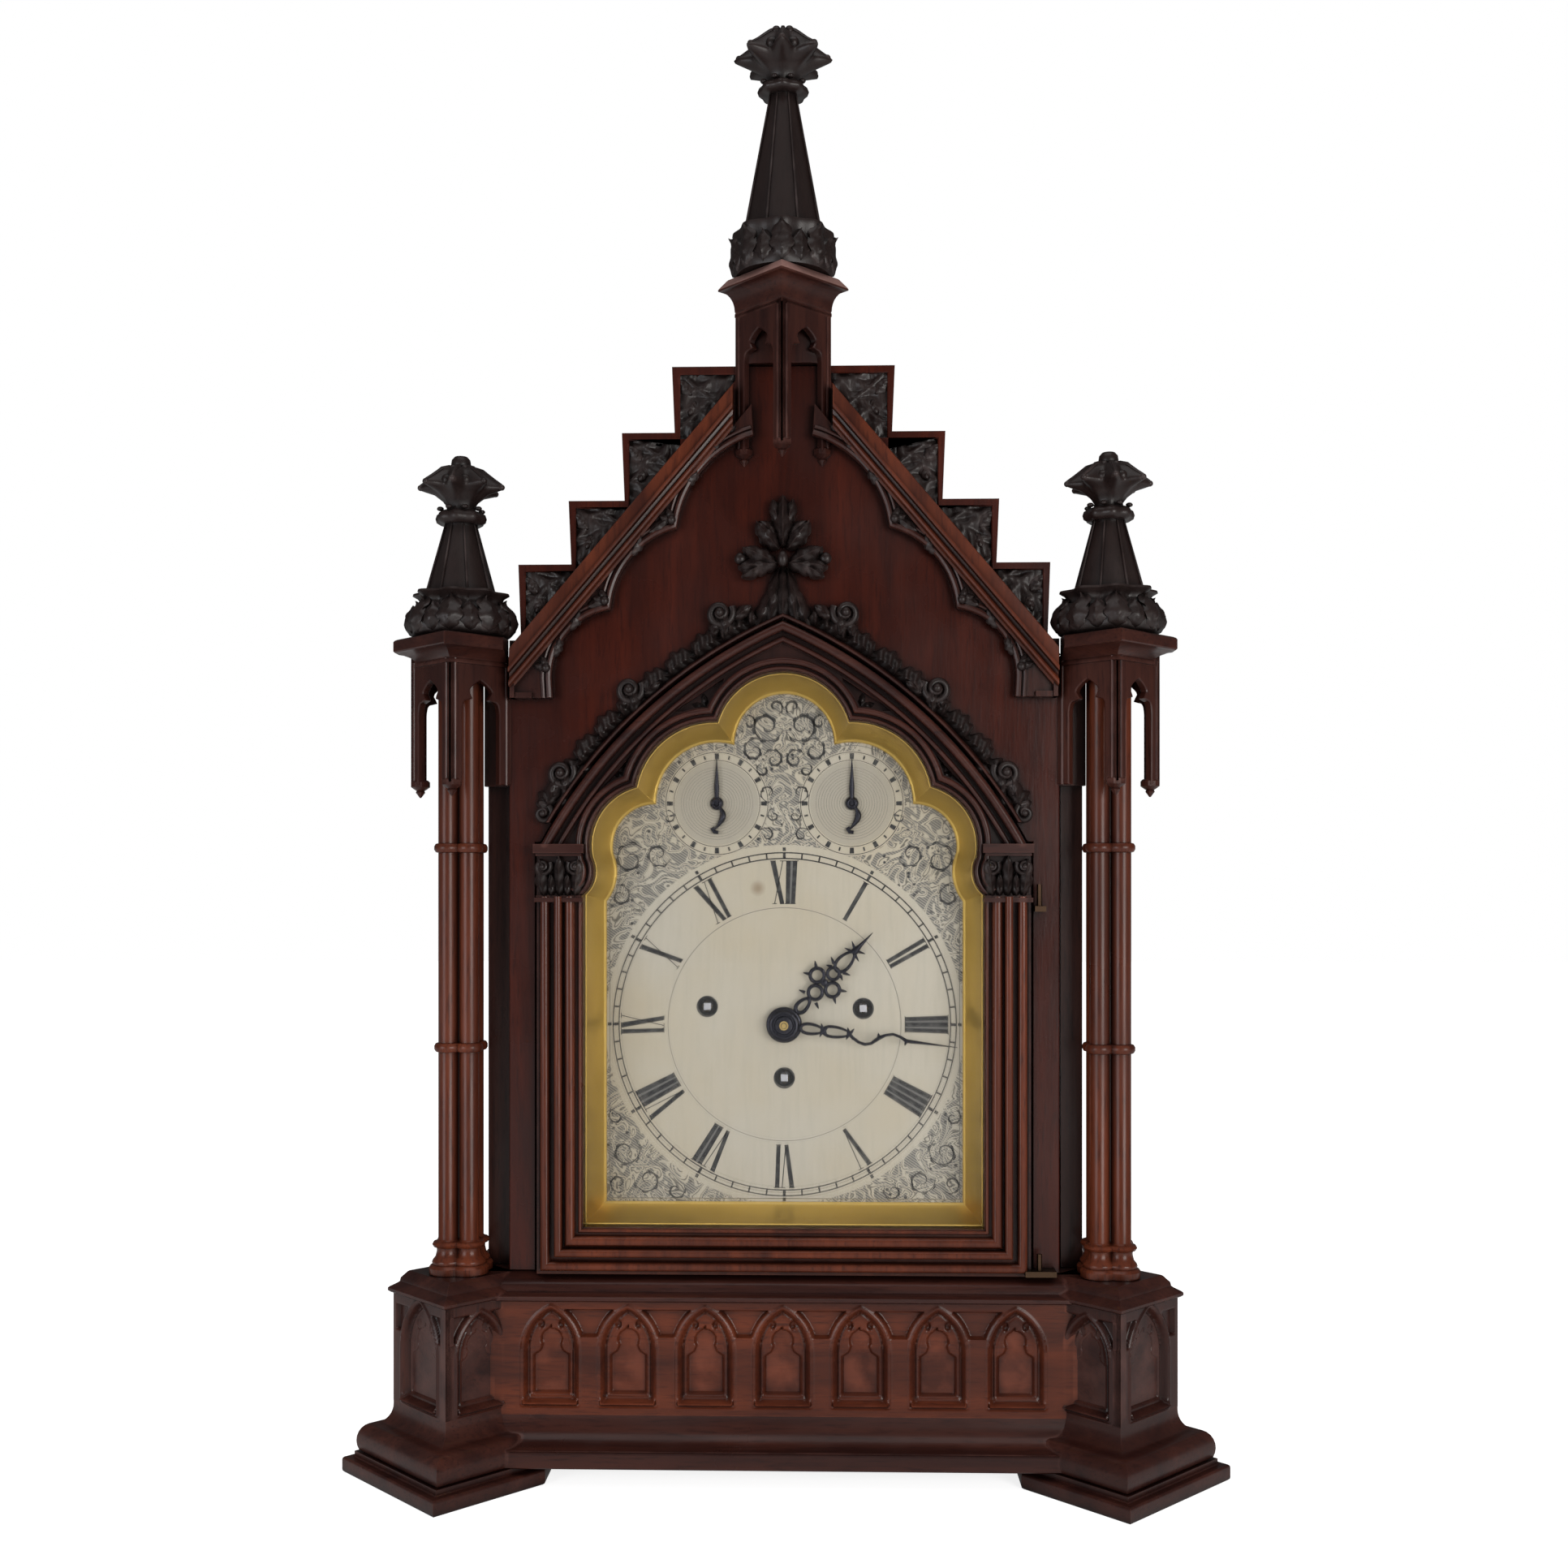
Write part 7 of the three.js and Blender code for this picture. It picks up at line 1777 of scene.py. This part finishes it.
def numeral_smear(text, hour):
    """Grey wax left between the close strokes of a numeral with several ones."""
    ones = text.count("I")
    if ones < 2 or text == "II":
        return []
    start = sum(LETTER_WIDTH[c] for c in text if c != "I")
    total = start + LETTER_WIDTH["I"] * ones
    left, right = start - total / 2 + 1.2, total / 2 - 1.2
    out, across = hour_ways(hour)
    middle = DIAL_MIDDLE + across * (left + right) / 2 * 0.9
    return [stroke(middle + out * 69.0, middle + out * 93.0, (right - left) * 0.82, right - left,
                   DIAL_FACE + 0.02)]


def scroll(x, z, radius, hand, start, turns=1.35, weight=1.0, leaves=5):
    """An engraved scroll: a spiral line with small leaves thrown off its outside."""
    share = np.linspace(0, 1, 40)
    angle = start + hand * share * turns * 2 * math.pi
    reach = radius * (1 - 0.8 * share)
    points = np.column_stack([x + reach * np.cos(angle), z + reach * np.sin(angle)])
    marks = [ribbon(points, weight * (0.35 + 0.75 * np.sin(math.pi * share) ** 2))]
    for i in range(leaves):
        at = int(2 + i * 24 / leaves)
        base = points[at]
        outward = angle[at] + hand * 0.9
        size = radius * (0.5 - 0.25 * share[at])
        bend = np.linspace(0, 1, 8)
        curl = outward + hand * 0.9 * bend
        tip = base + np.column_stack([np.cos(curl), np.sin(curl)]) * (size * bend)[:, None]
        swell = np.sin(math.pi * (0.08 + 0.92 * bend))
        marks.append(ribbon(tip, weight * 0.15 + weight * 1.5 * swell * radius / 16))
    return marks


def minute_marks():
    """Minute strokes between the two outer circles, heavier at each five, which has a dash outside too."""
    marks = []
    for minute in range(60):
        way = clock_way(math.radians(minute * 6))
        heavy = minute % 5 == 0
        marks.append(stroke(DIAL_MIDDLE + way * 94.6, DIAL_MIDDLE + way * 97.9, 1.6 if heavy else 0.9))
        if heavy:
            marks.append(stroke(DIAL_MIDDLE + way * 98.9, DIAL_MIDDLE + way * 100.9, 1.8))
    return marks


def small_dial_marks(cx, cz):
    """Circles and hour marks of a small dial, and the fine rings inside them, as dark and pale marks."""
    middle = np.array([cx, cz])
    dark = [ring_mark(cx, cz, 29.2, 0.4), ring_mark(cx, cz, 24.6, 0.35)]
    for i in range(24):
        way = clock_way(i * math.pi / 12)
        if i % 2 == 0:
            dark.append(stroke(middle + way * 25.2, middle + way * 28.6, 2.2, 2.6))
        else:
            dark.append(stroke(middle + way * 25.8, middle + way * 28.0, 1.0))
    return dark, [ring_mark(cx, cz, r, 0.16, count=64) for r in np.arange(4, 22, 1.5)]


def dial_marks():
    """Hour numerals, minute circles, small dials and engraved scrolls, as dark and pale marks."""
    dark, pale = [], []
    for i, text in enumerate(NUMERALS):
        dark += numeral_marks(text, i)
        pale += numeral_smear(text, i)
    dark += [ring_mark(0, DIAL_CENTRE_Z, radius, 0.7, count=180) for radius in (94.6, 97.9)]
    pale.append(ring_mark(0, DIAL_CENTRE_Z, 66.5, 0.3, count=140))
    dark += minute_marks()
    for side in (-1, 1):
        marks, rings = small_dial_marks(side * UPPER_FOIL[0], UPPER_FOIL[1])
        spandrels = [mark for spec in SIDE_SCROLLS for mark in scroll(*spec)]
        dark += marks + (spandrels if side > 0 else [flipped(mark) for mark in spandrels])
        pale += rings
    for scrolls, weight, leaves in ((HEAD_SCROLLS, 1.25, 6), (SMALL_SCROLLS, 0.8, 4)):
        for spec in scrolls:
            dark += both_sides(scroll(*spec, weight, leaves))
    low, high = DIAL_FACE + 0.02, DIAL_FACE - INK
    pale.append(moulding(foils, [(-1.9, low), (-1.9, high), (-1.5, high), (-1.5, low)], True))
    # Painted shadow: a dark ring in the wax's colour round each winding hole's rim.
    dark += [ring_mark(x, z, 5.6, 1.0, count=40) for x, z in WINDERS.values()]
    return dark, pale


def build_dial():
    """Gilt slip, silvered plate and its engraving."""
    slip = moulding(foils, [
        (13, DIAL_FACE - 0.4), (13, 7.6), (11.4, 7.5), (10.6, 7.0), (9.9, 6.9), (9.3, 7.4), (8.9, 8.6),
        (8.6, 10.4),
        (1.6, 22.4), (1.0, 22.8), (0.35, 23.2), (0, 23.7), (0, DIAL_FACE - 0.4)], True)
    make_piece("gilt_slip", [slip], gilt(), "gilt", nodes=["dial_mask"], smooth=30)
    holes = [circle(x, z, 5.2, 32) for x, z in WINDERS.values()]
    holes.append(circle(0, DIAL_CENTRE_Z, 4.3, 32))
    holes += [circle(side * UPPER_FOIL[0], UPPER_FOIL[1], 1.8, 16) for side in (-1, 1)]
    make_piece("dial_face", [plate(foils(5), DIAL_FACE, DIAL_FACE + 2, holes)], silvering(), "silvered",
               nodes=["dial_plate"])
    dark, pale = dial_marks()
    make_piece("dial_wax_and_shadow", dark, wax(), "silvered")
    make_piece("dial_hatching", pale, plain("engraved_line", (0.15, 0.145, 0.135), 0.6), "silvered")
    # Painted shadow: a near-black ring sunk in each winding hole stands in for the shade inside it.
    hole_shadows = [ring_mark(x, z, 4.1, 2.6, DIAL_FACE + 1.2, 32) for x, z in WINDERS.values()]
    make_piece("winding_hole_shadows", hole_shadows, plain("hole_shadow_dark", (0.01, 0.009, 0.008), 0.7), "silvered")
    for train, (x, z) in WINDERS.items():
        square = box_shell((x - 2.1, DIAL_FACE + 0.3, z - 2.1), (x + 2.1, DIAL_FACE + 3, z + 2.1))
        make_piece(f"winding_square_{train}", [square], steel(), "steel", f"{train}_fusee_arbor", bevel=0.3)


class CLOCK_OT_dial(bpy.types.Operator):
    """Gilt slip and silvered dial."""
    bl_idname = "clock.dial"
    bl_label = "Dial"

    def execute(self, context):
        build_dial()
        return {"FINISHED"}


# ---------------------------------------------------------------- hands
def clockwise(shells, angle, cx=0.0, cz=DIAL_CENTRE_Z):
    """Shells drawn pointing at twelve about the origin, turned clockwise and moved."""
    return [placed(shell, cx, cz, 0.0, angle) for shell in shells]


def wire(points, radius, y, flat=0.8, around=8):
    """A bent wire in the plane of the hand."""
    points = np.asarray(points, float)
    path = np.column_stack([points[:, 0], np.full(len(points), y), points[:, 1]])
    return tube(path, radius, around=around, flat=flat)


def eyelet(x, z, radius, thick, y):
    """A small closed ring of wire."""
    angle = full_turn(24)
    rows = []
    for t in full_turn(8):
        reach = radius + thick * math.cos(t)
        depth = np.full(24, y + thick * 0.7 * math.sin(t))
        rows.append(np.column_stack([x + reach * np.cos(angle), depth, z + reach * np.sin(angle)]))
    return loop(rows)


def pear(x, low, high, half, thick, y):
    """A closed loop of wire, pointed at its far end and full near its foot."""
    angle = full_turn(32)
    share = 0.5 - 0.5 * np.cos(angle)
    spread = half * np.sin(angle) * (1.15 - 0.45 * share)
    tall = high - low
    rows = []
    for t in full_turn(8):
        grow = 1 + thick * math.cos(t) / half
        along = (low + high) / 2 + (tall * share - tall / 2) * (1 + thick * math.cos(t) / tall * 2)
        rows.append(np.column_stack([x + spread * grow, np.full(32, y + thick * 0.7 * math.sin(t)), along]))
    return loop(rows)


def barb(x0, z0, x1, z1, y):
    """A short thorn from one point to another."""
    return wire([[x0, z0], [(x0 + x1) / 2, (z0 + z1) / 2], [x1, z1]], [1.0, 0.75, 0.2], y)


def boss(radius, y):
    """Turned boss with a groove and a raised button, axis front to back."""
    profile = [(radius, y + 1.3), (radius, y + 0.2), (radius - 0.7, y - 0.5), (radius - 1.9, y - 0.5),
               (radius - 2.3, y + 0.1), (radius - 3.1, y + 0.1), (radius - 3.6, y - 0.9),
               (radius * 0.3, y - 1.3),
               (0.2, y - 1.3)]
    angle = full_turn(40)
    rings = [np.column_stack([r * np.cos(angle), np.full(40, depth), r * np.sin(angle)]) for r,
             depth in profile]
    return loft(rings)


# thorns on the right of each hand: from x and z to x and z
HOUR_BARBS = ((4.2, 21.6, 7.8, 20.2), (9.6, 30.8, 12.8, 29.0), (9.6, 36.4, 12.6, 38.4),
              (3.6, 44.6, 7.6, 46.4),
              (3.4, 42.6, 6.4, 41.2), (0, 57.0, 5.6, 55.4), (0, 58.4, 5.2, 61.0))
MINUTE_BARBS = ((0, 22.4, 3.8, 20.8), (0, 23.0, 3.6, 25.2), (0, 37.2, 3.4, 35.8), (0, 37.6, 3.2, 39.6))
WIRE_DEPTH = 0.6                # middle of a hand's wire behind the front of its node


def hand_depth(node):
    """Depth at which a hand's wires lie."""
    return extent(node)[0][1] - COLUMN_Y + WIRE_DEPTH


def barbs(side, table, y):
    """The thorns of a table, on one side of a hand."""
    return [barb(side * x0, z0, side * x1, z1, y) for x0, z0, x1, z1 in table]


def hour_hand_shells(y):
    """Hour hand: boss, loops of wire up the middle, a ring with thorns on each side, and a point."""
    shells = [boss(10.2, y), pear(0, 10.5, 20.5, 3.0, 1.15, y), eyelet(0, 25.6, 4.0, 1.05, y),
              eyelet(0, 40.4, 3.4, 1.0, y), pear(0, 43.0, 57.0, 3.9, 1.0, y),
              ball((0, y, 33.2), (2.2, 0.9, 2.2), 7, 12)]
    for side in (-1, 1):
        shells += [eyelet(side * 6.0, 33.4, 4.0, 1.05, y), *barbs(side, HOUR_BARBS, y)]
    return shells + [wire([[0, 56], [0, 58], [0, 62], [0, 72.7]], [1.6, 2.2, 1.2, 0.15], y)]


def minute_hand_shells(y):
    """Minute hand: boss, two loops of wire, thorns, and a bent wire out to the point."""
    snake = np.array([[0, 37], [2.0, 39.5], [4.0, 43], [4.8, 46.6], [3.9, 50], [0.2, 54.1], [-1.8, 57.6],
                      [-2.9, 61.8], [-1.9, 66], [0, 69.7], [0, 80], [0, 98.6]])
    shells = [boss(8.5, y), pear(0, 9.5, 22.5, 2.9, 0.95, y), pear(0, 22.0, 37.5, 3.0, 0.9, y),
              ball((0, y, 22.3), (2.0, 0.8, 1.6), 7, 12), ball((0, y, 37.2), (1.8, 0.8, 1.5), 7, 12),
              wire(snake, [1.0, 0.9, 0.85, 0.9, 0.85, 1.2, 0.8, 0.8, 0.8, 1.1, 0.7, 0.15], y),
              barb(0.2, 54.1, -2.6, 53.4, y), barb(0, 69.7, 2.6, 69.0, y)]
    return shells + barbs(-1, MINUTE_BARBS, y) + barbs(1, MINUTE_BARBS, y)


def pointer_shells(y):
    """Small pointer: boss, a straight point, and a tail that curls back."""
    bend = np.linspace(0, 1, 14)
    tail = np.column_stack([3.6 * np.sin(bend * math.pi * 1.15), -bend * 15.5])
    curl = np.array([[1.0, -16.6], [-1.4, -16.2], [-2.4, -14.6], [-1.2, -13.6]])
    return [
        boss(3.7, y), eyelet(0, 0, 2.2, 0.7, y - 1.0),
        wire([[0, 0], [0, 4.4], [0, 9], [0, 25.8]], [1.7, 1.3, 1.5, 0.15], y),
        wire(tail, 0.5 + 1.3 * np.sin(math.pi * bend) ** 2, y), wire(curl, [1.0, 1.1, 1.3, 0.7], y),
    ]


def build_hands():
    """Pierced Gothic hands in blued steel and the two small pointers."""
    hour = clockwise(hour_hand_shells(hand_depth("hour_hand")), 43.8)
    make_piece("hour_hand_steel", hour, blued(), "blued_steel", "hour_pipe", ["hour_hand"], smooth=50)
    minute = clockwise(minute_hand_shells(hand_depth("minute_hand")), 97.1)
    make_piece("minute_hand_steel", minute, blued(), "blued_steel", "minute_arbor", ["minute_hand"],
               smooth=50)
    for name, side in (("strike", -1), ("chime", 1)):
        shells = clockwise(pointer_shells(hand_depth("strike_pointer")), 0, side * UPPER_FOIL[0],
                           UPPER_FOIL[1])
        make_piece(f"{name}_pointer_steel", shells, blued(), "blued_steel", f"{name}_hand",
                   [f"{name}_pointer"],
                   smooth=50)


class CLOCK_OT_hands(bpy.types.Operator):
    """Hands and pointers."""
    bl_idname = "clock.hands"
    bl_label = "Hands"

    def execute(self, context):
        build_hands()
        return {"FINISHED"}


# ---------------------------------------------------------------- finishes of the pieces that keep their frame shape
def build_finishes():
    """Wood, brass, steel and glass for carcass, doors' fittings and movement."""
    dress(brown_wood(True), "case_side_right", "case_side_left", "back_frame", "rear_door", "dial_surround")
    dress(brown_wood(), "roof", "seat_board")
    dress(brass(), "sound_fret_right", "sound_fret_left", "rear_hinge", "rear_knob", "lock_bolt",
          "front_plate", "back_plate", "time_barrel", "strike_barrel", "chime_barrel",
          "time_fusee", "strike_fusee", "chime_fusee", "centre_wheel", "third_wheel", "escape_wheel",
          "cannon_wheel",
          "minute_wheel", "hour_wheel", "pendulum_bob", "bell")
    dress(old_bronze(), "hinge_lower", "hinge_upper", "door_lock")
    dress(steel(), "anchor", "pendulum_rod", "bell_hammer")
    dress(glass(), "door_glass", "rear_glass")


def build_cloth():
    """Cloth stretched behind the pierced sound frets."""
    low, high = extent("sound_fret_right")
    inset = 0.4
    sheet = box_shell((low[0] - 0.9, low[1] - COLUMN_Y, low[2]),
                      (low[0] - inset, high[1] - COLUMN_Y, high[2]))
    make_pair("fret_cloth", [sheet], plain("sound_cloth", (0.085, 0.012, 0.012), 0.9), "mahogany")


class CLOCK_OT_finishes(bpy.types.Operator):
    """Finishes of carcass, fittings and movement."""
    bl_idname = "clock.finishes"
    bl_label = "Finishes"

    def execute(self, context):
        build_cloth()
        build_finishes()
        return {"FINISHED"}


# ---------------------------------------------------------------- panel, registration and main
OPERATORS = (CLOCK_OT_stage, CLOCK_OT_base, CLOCK_OT_columns, CLOCK_OT_towers, CLOCK_OT_front, CLOCK_OT_hood,
             CLOCK_OT_door, CLOCK_OT_dial, CLOCK_OT_hands, CLOCK_OT_finishes)


class CLOCK_PT_panel(bpy.types.Panel):
    """Lists the clock's builders and settings."""
    bl_idname = "CLOCK_PT_panel"
    bl_label = "Gothic Bracket Clock"
    bl_space_type = "VIEW_3D"
    bl_region_type = "UI"
    bl_category = "Clock"

    def draw(self, context):
        for operator in OPERATORS:
            self.layout.operator(operator.bl_idname)
        for group in (context.scene.clock_sizes, context.scene.clock_colours):
            for name in group.__annotations__:
                self.layout.prop(group, name)


CLASSES = (ClockSizes, ClockColours, *OPERATORS, CLOCK_PT_panel)


def register():
    """Registers the classes and hangs the settings on the scene."""
    for cls in CLASSES:
        bpy.utils.register_class(cls)
    bpy.types.Scene.clock_sizes = PointerProperty(type=ClockSizes)
    bpy.types.Scene.clock_colours = PointerProperty(type=ClockColours)


def unregister():
    """Takes the settings and the classes away again."""
    del bpy.types.Scene.clock_colours
    del bpy.types.Scene.clock_sizes
    for cls in reversed(CLASSES):
        bpy.utils.unregister_class(cls)


def main():
    """Builds everything in order."""
    register()
    for operator in OPERATORS:
        group, name = operator.bl_idname.split(".")
        getattr(getattr(bpy.ops, group), name)()


if __name__ == "__main__":
    main()
